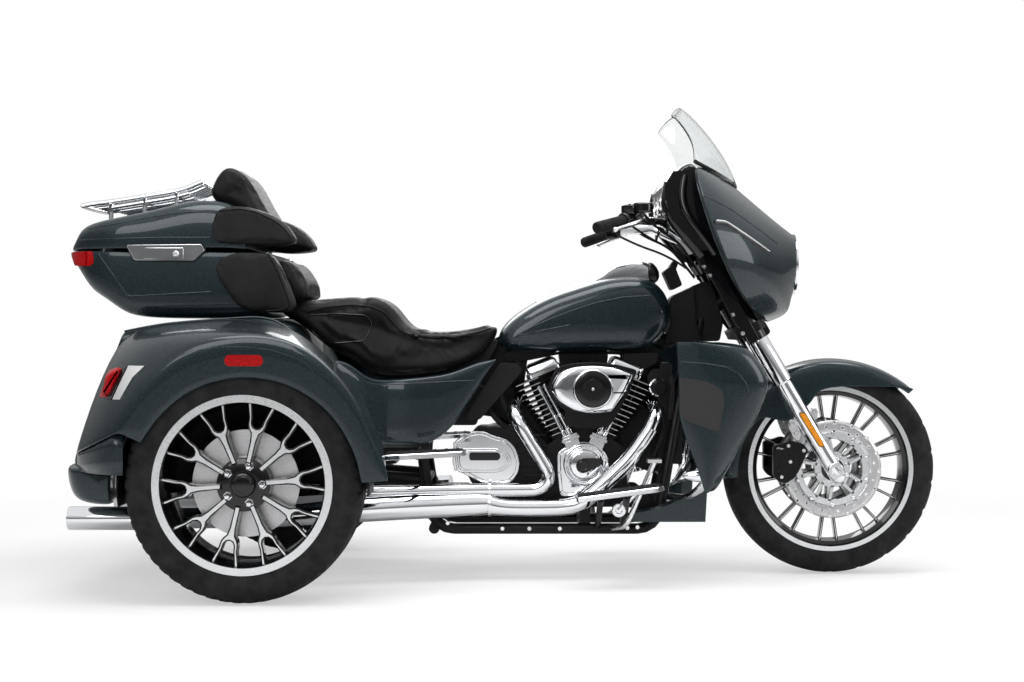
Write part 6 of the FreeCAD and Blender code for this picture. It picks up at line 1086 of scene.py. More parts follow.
def drilled_cell(bm, x, y_span, z_span, hole_y, hole_z, radius):
    """A flat cell with one round hole, as sixteen corners bridged to a circle."""
    y0, y1 = y_span
    z0, z1 = z_span
    walk = [(y0 + (y1 - y0) * step / 4, z0) for step in range(4)]
    walk += [(y1, z0 + (z1 - z0) * step / 4) for step in range(4)]
    walk += [(y1 - (y1 - y0) * step / 4, z1) for step in range(4)]
    walk += [(y0, z1 - (z1 - z0) * step / 4) for step in range(4)]
    circle = [(x, hole_y + radius * math.cos(a), hole_z + radius * math.sin(a))
              for a in [math.radians(22.5 * step - 135) for step in range(16)]]
    rings = ring_of(bm, [(x, y, z) for y, z in walk]) + ring_of(bm, circle)
    bmesh.ops.bridge_loops(bm, edges=rings)


bm = bmesh.new()
for side in (-1, 1):
    for end in (-1, 1):
        drilled_cell(bm, -1252.2, sorted((0, 92 * side)), sorted((308.4, 308.4 + 52 * end)),
                     75 * side, 308.4 + 38 * end, 3.3)
plate_bracket = finished(bm, "number_plate_bracket", "chassis", grained_plastic, "black_plastic",
                         30)
thickened(plate_bracket, -5)
print("valance and plate bracket made")

# %% [markdown]
# Leather. Each cushion is a cover of a measured side outline, a little slimmer than its
# place. It is remeshed into even cells and blown up like a real cover over foam, so it
# crowns in the middle and stays drawn in at its edges. The swell is capped in millimetres.

# %% Helpers for leather
SETTLE_FRAMES = 20


def baked(piece):
    """Applies all that stands on a piece, so that its mesh is what is seen."""
    bpy.context.view_layer.update()
    mesh = bpy.data.meshes.new_from_object(
        piece.evaluated_get(bpy.context.evaluated_depsgraph_get()))
    piece.modifiers.clear()
    old = piece.data
    piece.data = mesh
    mesh.name = piece.name
    bpy.data.meshes.remove(old)
    return piece


def stuffed(piece, swell, voxel):
    """Remeshes a cover, lets pressure crown it, and keeps each point within swell millimetres."""
    even = piece.modifiers.new("even_cells", "REMESH")
    even.mode = "VOXEL"
    even.voxel_size = voxel
    baked(piece)
    start = [corner.co.copy() for corner in piece.data.vertices]
    cover = piece.modifiers.new("cover", "CLOTH")
    cover.settings.quality = 4
    cover.settings.use_pressure = True
    cover.settings.uniform_pressure_force = 4
    cover.settings.effector_weights.gravity = 0
    scene = bpy.context.scene
    for step in range(1, SETTLE_FRAMES + 1):
        scene.frame_set(step)
    baked(piece)
    scene.frame_set(1)
    for corner, before in zip(piece.data.vertices, start):
        moved = corner.co - before
        if moved.length > swell / 1000:
            corner.co = before + moved.normalized() * swell / 1000
    piece.data.shade_smooth()
    rounded_by(piece, 1)
    return piece


def swept_layers(outline, widths, steps):
    """Layers whose distance from the middle plane changes along the trike."""
    sections = []
    for share, shrink in steps:
        sections.append([(x, share * read_off(widths, x), z) for x, z in grown(outline, shrink)])
    return sections


def cushion(name, sections, body, swell, cad_node, voxel=0.006):
    bm = bmesh.new()
    skin_over(bm, sections)
    piece = rounded_by(finished(bm, name, body, leather, "leather", 60))
    baked(piece)
    stuffed(piece, swell, voxel)
    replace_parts(piece, cad_node)
    return piece


SEAT = [(-692, 790), (-692, 812), (-680, 819), (-640, 821), (-600, 823), (-560, 828), (-500, 832),
        (-452, 836), (-436, 828), (-418, 836), (-396, 834), (-360, 820), (-332, 790), (-309, 756),
        (-280, 735), (-229, 728), (-155, 731), (-91, 743), (-48, 757), (-26, 754), (-32, 724),
        (-66, 676), (-116, 642), (-180, 618), (-279, 608), (-383, 602), (-423, 624), (-477, 664),
        (-527, 676), (-580, 722), (-610, 750), (-650, 774)]
SEAT_WIDTH = [(0, 74), (-22, 76), (-90, 112), (-168, 172), (-252, 186), (-325, 181), (-410, 190),
              (-555, 180), (-630, 172), (-700, 160)]
SEAT_STEPS = [(-1, -26), (-0.985, -14), (-0.93, -5), (-0.8, -1), (-0.5, 0), (0, 0), (0.5, 0),
              (0.8, -1), (0.93, -5), (0.985, -14), (1, -26)]
seat = cushion("seat_cover", swept_layers(grown(SEAT, -3), SEAT_WIDTH, SEAT_STEPS), "chassis", 6,
               "seat")
print("seat", len(seat.data.vertices), "vertices")

# %% [markdown]
# The passenger leans on two pads and is held by curved armrests, which lift with the lid.
# Each is a side outline at fixed depths. Where an arm lies against the case, its layers are
# held off the case's front, and outside the case they may wrap round it.

# %% Backrests and armrests
def straight_layers(outline, places, clamp=None):
    """Layers at fixed places across the trike: (y, shrink)."""
    sections = []
    for y, shrink in places:
        sections.append([(clamp(y, x, z) if clamp else x, y, z) for x, z in grown(outline, shrink)])
    return sections


def pad_steps(low, high, edge=22):
    return [(low, -edge), (low + 3, -edge * 0.5), (low + 11, -edge * 0.16), (low + 30, -1),
            ((low + high) / 2, 0), (high - 30, -1), (high - 11, -edge * 0.16),
            (high - 3, -edge * 0.5), (high, -edge)]


LOWER_PAD = [(-699, 948), (-668, 950), (-646, 946), (-622, 915), (-600, 880), (-585, 840),
             (-596, 828), (-650, 824), (-699, 824), (-699, 886)]
cushion("backrest_lower_pad", straight_layers(grown(LOWER_PAD, -2), pad_steps(-194, 194, 12)),
        "chassis", 6, "backrest_lower", 0.005)
UPPER_PAD = [(-757, 1000), (-757, 1047), (-806, 1108), (-893, 1120), (-885, 1160), (-858, 1219),
             (-824, 1230), (-779, 1197), (-742, 1124), (-716, 1082), (-690, 1034), (-668, 990)]
cushion("backrest_upper_pad", straight_layers(grown(UPPER_PAD, -2), pad_steps(-178, 178, 24)),
        "case_lid", 7, "backrest_upper", 0.005)


CASE_SIDE = -291
LID_FRONT = [(1130, -820), (1104, -806), (1062, -780), (972, -757)]


def arm_clamp(y, x, z):
    return x if y < CASE_SIDE else max(x, read_off(LID_FRONT, z) + 1)


def flank_clamp(y, x, _):
    return x if y < CASE_SIDE else max(x, -698.5)


ARM = [(-866, 984), (-863, 1040), (-853, 1088), (-815, 1099), (-783, 1100), (-740, 1090),
       (-700, 1079), (-668, 1060), (-641, 1041), (-622, 1014), (-613, 998), (-622, 984),
       (-700, 982), (-780, 982)]
FLANK = [(-824, 966), (-760, 966), (-700, 966), (-686, 956), (-671, 936), (-650, 890), (-626, 836),
         (-618, 806), (-630, 788), (-680, 784), (-779, 787), (-812, 834), (-840, 878), (-862, 916)]
ARM_PLACES = [(-298, -10), (-297, -4), (-294, -1), (-291.2, 0), (-290.8, 0), (-270, 0), (-240, -1),
              (-222, -4), (-212, -12), (-209, -24)]
SIDE_CUSHIONS = (("armrest_", ARM, arm_clamp, "case_lid", "backrest_upper"),
                 ("side_pad_", FLANK, flank_clamp, "chassis", "side_pads"))
for side, out in OUT.items():
    for name, outline, clamp, body, cad_node in SIDE_CUSHIONS:
        layers = straight_layers(outline, ARM_PLACES, clamp)
        sections = [[(x, y * -out, z) for x, y, z in section] for section in layers]
        cushion(name + side, sections, body, 3, cad_node, 0.004)
print("backrests and armrests made")

# %% [markdown]
# Some solids already have the right shape: the straight frame tubes, the crankcase and the
# axle. They keep their mesh and get a finish in their object's own material slots.

# %% Finishes for the solids that stay
def refinished(material, *cad_nodes):
    for cad_node in cad_nodes:
        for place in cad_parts[cad_node].material_slots:
            place.link = "OBJECT"
            place.material = material


refinished(cast_black, "frame", "crankcase", "rear_axle", "fork_yoke")
refinished(chrome, "handlebar", "exhaust_left")
refinished(satin_chrome, "foot_controls")
refinished(red_lens, "case_lamps")
refinished(gloss_black, "fairing_inner")
refinished(teal_lacquer, "chin_panels")
print("solids refinished")

# %% [markdown]
# Machined and cast parts need three more moves: an outline pulled across the trike, an
# outline stepped upwards, and a profile turned about any axis, which makes bolts too.

# %% Helpers for machined parts
def eased(outline, radius, steps=3):
    """The outline with each corner rounded."""
    made = []
    for index, corner in enumerate(outline):
        here = Vector(corner)
        ends = []
        for other in (outline[index - 1], outline[(index + 1) % len(outline)]):
            arm = Vector(other) - here
            ends.append(here + arm.normalized() * min(radius, arm.length * 0.45))
        for step in range(steps + 1):
            share = step / steps
            point = ends[0].lerp(here, share).lerp(here.lerp(ends[1], share), share)
            made.append((point.x, point.y))
    return made


def prism(bm, outline, near, far, index=0):
    """A side outline pulled across the trike from y near to y far."""
    mark = len(bm.faces)
    face = bmesh.ops.contextual_create(bm, geom=ring_of(bm, at_side(outline, near)))["faces"]
    pulled = bmesh.ops.extrude_face_region(bm, geom=face)
    moved = [item for item in pulled["geom"] if isinstance(item, bmesh.types.BMVert)]
    bmesh.ops.translate(bm, vec=(0, (far - near) / 1000, 0), verts=moved)
    bm.faces.ensure_lookup_table()
    for made in bm.faces[mark:]:
        made.material_index = index


def stepped(bm, plan, steps, index=0):
    """A plan outline bridged upwards; each step is (height, how far the outline shrinks)."""
    mark = len(bm.faces)
    rings = [ring_of(bm, [(x, y, height) for x, y in grown(plan, -shrink)]) for height,
             shrink in steps]
    for first, second in zip(rings, rings[1:]):
        bmesh.ops.bridge_loops(bm, edges=first + second)
    for ring in (rings[0], rings[-1]):
        bmesh.ops.contextual_create(bm, geom=ring)
    bm.faces.ensure_lookup_table()
    for made in bm.faces[mark:]:
        made.material_index = index


def turned(bm, profile, centre, axis, steps=24, index=0):
    """Spins an open profile of (along, radius) about an axis through a centre."""
    mark = len(bm.faces)
    line = Vector(axis).normalized()
    out = line.orthogonal().normalized()
    points = [tuple(Vector(centre) + line * along + out * radius) for along, radius in profile]
    ring = ring_of(bm, points, closed=False)
    corners = list({corner for edge in ring for corner in edge.verts})
    bmesh.ops.spin(bm, geom=corners + ring, cent=mm(*centre), axis=line, dvec=(0, 0, 0),
                   angle=math.tau, steps=steps, use_merge=True, use_duplicate=False)
    bm.faces.ensure_lookup_table()
    for made in bm.faces[mark:]:
        made.material_index = index


def bolt(bm, centre, axis, radius, height, index=0):
    """A domed socket head."""
    profile = [(0, radius), (height * 0.6, radius), (height, radius * 0.8), (height, radius * 0.45),
               (height * 0.5, radius * 0.4), (height * 0.5, 0)]
    turned(bm, profile, centre, axis, 12, index)


def bolts(name, places, axis, radius, height, body, material, slot="chrome"):
    bm = bmesh.new()
    for place in places:
        bolt(bm, place, axis, radius, height)
    return finished(bm, name, body, material, slot)


print("machining helpers ready")

# %% One piece from several outlines
def oblong(x, z, x2, z2):
    return [(x, z), (x2, z), (x2, z2), (x, z2)]


def block(name, body, materials, slot, parts, edge=None, crease=35):
    """A part is (outline, easing, near, far) and perhaps its material's index."""
    bm = bmesh.new()
    for outline, ease, near, far, *index in parts:
        prism(bm, eased(outline, ease) if ease else outline, near, far, *index)
    piece = finished(bm, name, body, materials, slot, crease)
    return edged_by(piece, *edge) if edge else piece


print("block helper ready")

# %% [markdown]
# The engine. Each air-cooled cylinder is a stack of thin fins round a barrel, widening
# upwards. The castings are black, and the fins' outer edges are machined bright.

# %% Finned cylinders
CRANK = (225, 0, 335)
CYLINDERS = (("rear", -22.5), ("front", 22.5))


def onto_crank(bm, lean):
    """Takes a shape drawn upright over the crank to its place in the vee."""
    bmesh.ops.rotate(bm, cent=(0, 0, 0), matrix=Matrix.Rotation(math.radians(lean), 3, "Y"),
                     verts=bm.verts)
    bmesh.ops.translate(bm, vec=mm(*CRANK), verts=bm.verts)


FINS, FIN_FOOT, FIN_PITCH = 12, 112, 16.27
BARREL_RADIUS = 56
for end, lean in CYLINDERS:
    way = 1 if lean > 0 else -1
    bm = bmesh.new()
    for fin in range(FINS):
        share = fin / (FINS - 1)
        level = FIN_FOOT + FIN_PITCH * fin
        outer = BARREL_RADIUS * (1.3 + 0.72 * share)
        inner = level * 0.414 - 6
        depth = BARREL_RADIUS * (1.3 + 0.25 * share)
        plan = [(outer, -depth), (outer, depth), (42, depth), (-inner, depth), (-inner, -depth),
                (42, -depth)]
        plan = eased([(way * x, y) for x, y in plan], 14)
        stepped(bm, plan, [(level, 1.2), (level + 1, 0), (level + 3.4, 0), (level + 4.6, 1.2)])
    for face in bm.faces:
        spot = face.calc_center_median() * 1000
        if abs(face.normal.z) < 0.3 and way * spot.x > 30 and face.calc_area() > 0.00002:
            face.material_index = 1
    barrel = eased([(-36, -62), (60, -62), (60, 62), (-36, 62)], 24)
    stepped(bm, [(way * x, y) for x, y in barrel], [(106, 0), (296, 0)])
    onto_crank(bm, lean)
    made = finished(bm, "finned_cylinder_" + end, "chassis", [cast_black, fin_alloy],
                    "engine_black", 30)
    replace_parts(made, "cylinder_" + end)
    print(made.name, len(made.data.polygons), "faces")

# %% [markdown]
# Each cylinder carries a chromed rocker box: a cast lower half and a domed cover, held by
# six screws. It is one plan outline stepped upwards, then leaned over with its cylinder.

# %% Rocker boxes
for end, lean in CYLINDERS:
    way = 1 if lean > 0 else -1
    bm = bmesh.new()
    plan = eased([(-48 * way, -110), (60 * way, -110), (60 * way, 82), (-48 * way, 82)], 18, 5)
    stepped(bm, plan, [(296.4, 2), (297.5, 0), (308, 0), (309.5, 1.5), (309.6, 5), (326, 6),
                       (332, 10), (336.5, 18), (338, 30)])
    for x in (-38, 50):
        for y in (-98, -14, 70):
            bolt(bm, (way * x, y, 309.5), (0, 0, 1), 5, 5)
    onto_crank(bm, lean)
    made = finished(bm, "rocker_cover_" + end, "chassis", chrome, "chrome", 40)
    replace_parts(made, "rocker_boxes")
print("rocker covers made")

# %% [markdown]
# The chromed timing cover closes the right of the crankcase. Its round nose holds a black
# insert, left bare here. Over it stand the two tappet blocks with their pushrod tubes.

# %% Timing cover and pushrod tubes
CAM_OUTLINE = [(142, 372), (169, 388), (206, 404), (254, 402), (290, 372), (300, 334), (290, 296),
               (216, 244), (152, 240), (144, 304)]
bm = bmesh.new()
prism(bm, eased(CAM_OUTLINE, 16), -100, -122)
prism(bm, eased(grown(CAM_OUTLINE, -9), 14), -122, -127)
turned(bm, [(0, 64), (9, 64), (13, 61), (13, 55), (9, 52), (9, 46), (15, 43), (17, 38), (17, 0)],
       (225, -127, 337), (0, -1, 0), 64)
cam_plate = edged_by(finished(bm, "timing_cover", "chassis", chrome, "chrome", 40), 2.5, 3)
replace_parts(cam_plate, "cam_cover")
bm = bmesh.new()
wedge = [(221, 357), (268, 357), (280, 351), (272, 334), (221, 311), (203, 318), (198, 334),
         (203, 350)]
prism(bm, eased(wedge, 6), -143, -146)
turned(bm, [(0, 17), (3, 17), (5, 15), (5, 12), (4, 11), (4, 0)], (221, -146, 334), (0, -1, 0), 36)
edged_by(finished(bm, "timing_cover_insert", "chassis", gloss_black, "engine_black", 40), 0.8, 2)
CAM_BOLTS = [(225 + 58 * math.cos(math.radians(a)), -139.5, 337 + 58 * math.sin(math.radians(a)))
             for a in (18, 90, 162, 234, 306)]
CAM_BOLTS += [(158, -126.5, 374), (158, -126.5, 254), (152, -126.5, 312), (244, -126.5, 392),
              (286, -126.5, 302)]
bolts("timing_cover_bolts", CAM_BOLTS, (0, -1, 0), 4.6, 4, "chassis", satin_chrome)

bm = bmesh.new()
for way in (-1, 1):
    lean = math.radians(20 * way)
    for low, high, reach in ((-30, 2, 22), (2, 12, 27), (12, 20, 23)):
        outline = [(-reach, low), (reach, low), (reach, high), (-reach, high)]
        place = [(225 + 39 * way + x * math.cos(lean) + z * math.sin(lean),
                  406 - x * math.sin(lean) + z * math.cos(lean)) for x, z in outline]
        prism(bm, place, -126, -101)
    for spread in (-9, 9):
        foot = (225 + way * (50 + spread * 0.9), -113, 424 - spread * 0.35)
        slope = math.radians(28 * way)
        head = (foot[0] + 168 * math.sin(slope), -100, foot[2] + 168 * math.cos(slope))
        axis = Vector(head) - Vector(foot)
        turned(bm, [(0, 0), (0, 9.5), (16, 9.5), (18, 6.5), (60, 6.5), (61, 8), (66, 8), (67, 6),
                    (axis.length, 6), (axis.length, 0)], foot, axis, 20)
tappets = edged_by(finished(bm, "tappet_blocks", "chassis", chrome, "chrome", 40), 1.5, 2)
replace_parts(tappets, "cam_cover")
print("timing cover made")

# %% [markdown]
# The air cleaner between the cylinders is a pointed oval chrome cover on a black backing
# plate. A round black disc in a chrome ring sits in its middle; it carries nothing.

# %% Air cleaner
AIR_COVER = [(120, 563), (132, 594), (152, 620), (192, 633), (246, 637), (310, 631), (372, 613),
             (345, 556), (303, 494), (246, 490), (186, 500), (140, 528)]
AIR_BACK = [(112, 563), (128, 604), (150, 632), (196, 641), (252, 643), (318, 636), (380, 620),
            (352, 548), (310, 470), (296, 452), (244, 447), (172, 452), (158, 470), (170, 496),
            (126, 530)]
backing = block("air_cleaner_backing", "chassis", cast_black, "engine_black",
                [(AIR_BACK, 12, -150, -172)], (5, 3), 40)
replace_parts(backing, "air_cleaner")
bm = bmesh.new()
outline = eased(AIR_COVER, 16)
rings = skin_over(bm, [at_side(grown(outline, -shrink), y) for y, shrink in
                       ((-170, 0), (-196, 0), (-206, 2.5), (-212, 7), (-215, 14), (-216, 26))])
air_cover = finished(bm, "air_cleaner_cover", "chassis", chrome, "chrome", 40)
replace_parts(air_cover, "air_cleaner")
bm = bmesh.new()
turned(bm, [(0, 60), (4, 59), (6.5, 56), (6.5, 54), (3, 53)], (246, -214, 564), (0, -1, 0), 64)
turned(bm, [(3, 53), (4, 50), (4, 30), (5, 29), (5, 7), (3, 6), (3, 0)], (246, -214, 564),
       (0, -1, 0), 64, 1)
prism(bm, [(306, 552), (349, 552), (352, 556), (306, 556)], -215, -217, 1)
air_disc = finished(bm, "air_cleaner_disc", "chassis", [chrome, gloss_black], "engine_black", 40)
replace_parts(air_disc, "air_cleaner")
bolts("air_cleaner_screw", [(246, -217, 564)], (0, -1, 0), 5, 2, "chassis", satin_chrome)
print("air cleaner made")

# %% [markdown]
# The gearbox stands behind the crankcase: a ribbed black casting with a chromed side cover.
# The cover steps out in a raised oval, which holds a black insert, and is held by screws.

# %% Gearbox and its side cover
GEAR_BLOCK = [(-119, 284), (-96, 266), (110, 266), (114, 318), (114, 400), (64, 445), (-96, 445),
              (-119, 418)]
GEAR_COVER = [(-166, 404), (-133, 426), (-101, 437), (-70, 434), (-45, 421), (-7, 413), (18, 388),
              (32, 347), (27, 310), (5, 282), (-32, 274), (-70, 277), (-101, 291), (-145, 313),
              (-170, 332)]
STADIUM = [(-160, 384), (-38, 384), (-6, 372), (8, 349), (-6, 326), (-38, 314), (-156, 314)]
GEAR_RIBS = [(oblong(20, level, 112, level + 5), 0, -108, -96)
             for level in (300, 330, 360, 390, 420)]
gear_block = block("gearbox_casting", "chassis", cast_black, "engine_black",
                   [(GEAR_BLOCK, 14, -100, 90)] + GEAR_RIBS, (3, 2), 40)
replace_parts(gear_block, "gearbox")
GEAR_OVALS = [(grown(STADIUM, -shrink), 20, -127, face) for shrink, face in
              ((-2, -133), (4, -137), (9, -141))]
gear_cover = block("gearbox_cover", "chassis", chrome, "chrome",
                   [(GEAR_COVER, 14, -100, -124), (grown(GEAR_COVER, -9), 12, -124,
                                                   -129)] + GEAR_OVALS, (2, 3), 40)
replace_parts(gear_cover, "gearbox")
INSERT_RIM = [(-124, 346), (-28, 346), (-20, 362), (-28, 378), (-124, 378)]
INSERT_FACE = [(-119, 350), (-31, 350), (-25, 362), (-31, 374), (-119, 374)]
block("gearbox_cover_insert", "chassis", [chrome, gloss_black], "chrome",
      [(INSERT_RIM, 9, -138, -142.5), (INSERT_FACE, 8, -141, -143.5, 1)], crease=40)
GEAR_BOLTS = [(-117, 424), (-16, 402), (24, 350), (-1, 288), (-100, 300), (-162, 398), (-160, 324)]
bolts("gearbox_cover_bolts", [(x, -123, z) for x, z in GEAR_BOLTS], (0, -1, 0), 6, 7, "chassis",
      satin_chrome)
print("gearbox made")

# %% [markdown]
# On the left a long chromed case covers the primary chain, from the crank to the clutch. It
# is two half circles joined by straight lines. The photograph doesn't show this side.

# %% Primary cover on the left
def half_circle(x, z, radius, start):
    """Seventeen places round a half circle that starts at an angle in degrees."""
    turns = [math.radians(start + 180 * step / 16) for step in range(17)]
    return [(x + radius * math.cos(a), z + radius * math.sin(a)) for a in turns]


bm = bmesh.new()
PRIMARY = half_circle(-28, 335, 114, 90) + half_circle(225, 335, 101, 270)
prism(bm, PRIMARY, 100.3, 132)
prism(bm, grown(PRIMARY, -14), 132, 150)
turned(bm, [(0, 82), (8, 82), (12, 78), (12, 60), (16, 56), (18, 50), (18, 0)], (-28, 150, 335),
       (0, 1, 0), 64)
turned(bm, [(0, 66), (6, 66), (9, 62), (9, 0)], (225, 150, 335), (0, 1, 0), 64)
primary = edged_by(finished(bm, "primary_cover_casting", "chassis", chrome, "chrome", 40), 6, 4)
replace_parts(primary, "primary_cover")
rim = [grown(PRIMARY, -7)[index] for index in (0, 4, 8, 12, 16, 17, 21, 25, 29, 33)]
bolts("primary_cover_bolts", [(x, 131, z) for x, z in rim], (0, 1, 0), 5.5, 6, "chassis",
      satin_chrome)
CLUTCH_BOLTS = [(-28 + 68 * math.cos(a), 161, 335 + 68 * math.sin(a)) for a in
                [math.radians(72 * step + 18) for step in range(5)]]
bolts("clutch_inspection_bolts", CLUTCH_BOLTS, (0, 1, 0), 5, 4, "chassis", satin_chrome)
print("primary cover made")

# %% [markdown]
# The exhaust: two bent header pipes under chromed shields join a long muffler that runs
# back inside the wheel and ends in an open pipe behind. A seam rings the shields.

# %% Exhaust
bm = bmesh.new()
REAR_PIPE = [(34, -58, 528), (8, -140, 512), (22, -186, 474), (62, -186, 410), (98, -186, 350),
             (116, -186, 318), (112, -186, 288), (86, -184, 268), (40, -184, 266),
             (-120, -186, 266), (-430, -232, 262)]
FRONT_PIPE = [(420, -56, 521), (436, -130, 508), (432, -172, 480), (404, -184, 424),
              (364, -184, 366), (308, -184, 312), (250, -184, 262), (216, -184, 232),
              (180, -184, 218), (-2, -184, 216)]
FRONT_SHIELD = [(418, -188, 448), (366, -188, 368), (308, -188, 310), (250, -188, 260),
                (216, -188, 230), (176, -188, 215), (60, -187, 213), (-2, -186, 214),
                (-40, -186, 218), (-57, -186, 222)]
bm.from_mesh(tube_mesh(REAR_PIPE, 20))
bm.from_mesh(tube_mesh(FRONT_PIPE, 20))
bm.from_mesh(tube_mesh(FRONT_SHIELD, 25, radii=[0.9, 1, 1, 1, 1, 1, 1, 1, 1.1, 1.2]))
headers = finished(bm, "exhaust_headers", "chassis", chrome, "chrome", 50)
bm = bmesh.new()
MUFFLER = [(-57, -187, 226), (-90, -190, 226), (-150, -200, 225), (-300, -234, 222),
           (-473, -264, 214), (-560, -278, 206), (-700, -291, 198), (-844, -298, 196),
           (-1060, -300, 195), (-1272, -300, 195)]
bm.from_mesh(tube_mesh(MUFFLER, 38, radii=[0.84, 0.95, 1, 1, 0.97, 0.86, 0.8, 0.8, 0.8, 0.8]))
turned(bm, [(0, 30.5), (0, 34), (190, 34), (196, 33), (196, 30), (120, 29.5), (120, 0)],
       (-1075, -300, 195), (-1, 0, 0), 40)
muffler = finished(bm, "exhaust_muffler_right", "chassis", chrome, "chrome", 50)
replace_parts(headers, "exhaust_right")
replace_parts(muffler, "exhaust_right")
bm = bmesh.new()
turned(bm, [(0, 33), (0, 35.5), (9, 35.5), (9, 33)], (-53, -186.5, 224), (-1, 0, 0), 40)
turned(bm, [(0, 22), (0, 24), (7, 24), (7, 22)], (-54, -185, 267), (-1, 0, 0), 32)
finished(bm, "exhaust_clamps", "chassis", satin_chrome, "chrome", 50)
print("exhaust made")

# %% [markdown]
# The front end. The fork legs are drawn along their own raked line: a chromed slider with an
# axle clamp, a wide chromed sleeve over it and a black cover up to the yokes.

# %% Fork legs
LEG_LEAN = math.radians(30.5)
LEG = Vector((-math.sin(LEG_LEAN), 0, math.cos(LEG_LEAN)))


def on_leg(along, y=0.0, ahead=0.0):
    """A place on the fork leg: how far up from the axle, across, and ahead of its line."""
    place = Vector(FRONT_HUB) + LEG * along + Vector((math.cos(LEG_LEAN), 0,
                                                      math.sin(LEG_LEAN))) * ahead
    return (place.x, y, place.z)


def beside_leg(outline):
    """An outline of (ahead, along) taken to the rake of the leg."""
    return [on_leg(along, 0, ahead)[::2] for ahead, along in outline]


for side, y in (("right", -120), ("left", 120)):
    out = -1 if y < 0 else 1
    bm = bmesh.new()
    slider = [(-38, 0), (-38, 16), (-32, 22), (-20, 25), (40, 25), (60, 24), (120, 24), (140, 25),
              (302, 25), (306, 28), (306, 30), (318, 30), (448, 30), (452, 29), (452, 24)]
    turned(bm, slider, on_leg(0, y), LEG, 40)
    turned(bm, [(-27, 18), (-27, 24), (25, 24), (28, 22), (28, 12), (22, 11), (22, 0)],
           on_leg(0, y), (0, out, 0), 36)
    for along in (-30, 26):
        bolt(bm, on_leg(along, y + out * 6, 24), (0, out, 0), 6, 6)
    leg = edged_by(finished(bm, "fork_slider_" + side, "steering", chrome, "chrome", 35), 0.8, 2)
    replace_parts(leg, "fork_legs")
    bm = bmesh.new()
    turned(bm, [(440, 24), (446, 27), (452, 29.5), (462, 29.5), (700, 29.5), (706, 27), (742, 23),
                (745, 20), (745, 0)], on_leg(0, y), LEG, 36)
    leg = finished(bm, "fork_cover_" + side, "steering", gloss_black, "frame_black", 35)
    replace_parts(leg, "fork_legs")
    strip = [(-7, 86), (7, 78), (11, 92), (9, 196), (-7, 206), (-11, 196)]
    block("fork_reflector_" + side, "steering", [grained_plastic, amber_lens], "red_lens",
          [(beside_leg(strip), 5, y + out * 20, y + out * 27.5),
           (beside_leg(grown(strip, -2)), 5, y + out * 27, y + out * 29, 1)], (1.2, 2))
bm = bmesh.new()
turned(bm, [(-128, 0), (-128, 10), (-120, 12), (120, 12), (128, 10), (128, 0)], FRONT_HUB,
       (0, 1, 0), 28)
turned(bm, [(84, 12), (84, 19), (94, 19), (94, 12)], FRONT_HUB, (0, 1, 0), 28)
turned(bm, [(84, 12), (84, 19), (94, 19), (94, 12)], FRONT_HUB, (0, -1, 0), 28)
axle = finished(bm, "front_axle", "steering", satin_chrome, "chrome", 35)
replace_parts(axle, "fork_legs")
print("fork made")

# %% [markdown]
# The brake discs. A rotor is a ring of cells, some of them drilled, given a thickness. It is
# carried by a cast spider with five windows, bolted at its rim.

# %% Drilled discs
def drilled_ring(bm, centre, inner, outer, cells, rows, wanted, hole):
    """A flat ring of polar cells; wanted(row, cell) says which have a round hole."""
    def at(radius, angle):
        return (centre[0] + radius * math.sin(angle), centre[1],
                centre[2] + radius * math.cos(angle))
    step = math.tau / cells
    rise = (outer - inner) / rows
    for row in range(rows):
        for cell in range(cells):
            low, high = inner + rise * row, inner + rise * (row + 1)
            start = cell * step
            if not wanted(row, cell):
                ring = [at(low, start), at(high, start), at(high, start + step),
                        at(low, start + step)]
                bmesh.ops.contextual_create(bm, geom=ring_of(bm, ring))
                continue
            walk = [at(low + rise * part / 2, start) for part in range(2)]
            walk += [at(high, start + step * part / 2) for part in range(2)]
            walk += [at(high - rise * part / 2, start + step) for part in range(2)]
            walk += [at(low, start + step - step * part / 2) for part in range(2)]
            middle, turn = (low + high) / 2, start + step / 2
            round_hole = []
            for x, y, z in walk:
                arm = Vector((x, y, z)) - Vector(at(middle, turn))
                round_hole.append(tuple(Vector(at(middle, turn)) + arm.normalized() * hole))
            bmesh.ops.bridge_loops(bm, edges=ring_of(bm, walk) + ring_of(bm, round_hole))


def disc_pair(name, y, out):
    """A drilled rotor and the carrier that bolts it to the hub."""
    bm = bmesh.new()
    centre = (FRONT_HUB[0], y, FRONT_HUB[2])
    drilled_ring(bm, centre, 108, 147.5, 64, 3, lambda row, cell: (cell + row * 2) % 4 == 0, 3.4)
    rotor = finished(bm, name + "_rotor", "front_wheel", disc_steel, "alloy", 30)
    thickened(rotor, 5)
    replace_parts(rotor, "front_discs")
    bm = bmesh.new()
    for radius, width in ((100, 9), (44, 10)):
        turned(bm, [(0, radius - width), (0, radius + width), (5, radius + width),
                    (5, radius - width), (0, radius - width)], centre, (0, out, 0), 60)
    for arm in range(10):
        turn = math.radians(36 * arm)
        lean = 9 if arm % 2 else -9
        ends = [(50, -5), (50, 5), (96, lean + 4), (96, lean - 4)]
        outline = [(centre[0] + r * math.sin(turn) + s * math.cos(turn),
                    centre[2] + r * math.cos(turn) - s * math.sin(turn)) for r, s in ends]
        prism(bm, outline, y, y + out * 5)
        for reach, head, height in ((108, 6, 3), (44, 5, 4)):
            spot = (centre[0] + reach * math.sin(turn), y + out * 4,
                    centre[2] + reach * math.cos(turn))
            bolt(bm, spot, (0, out, 0), head, height, 1)
    spider = finished(bm, name + "_carrier", "front_wheel", [machined, chrome], "alloy", 30)
    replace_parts(spider, "front_discs")


disc_pair("front_disc_right", -83, -1)
disc_pair("front_disc_left", 83, 1)
print("discs made")

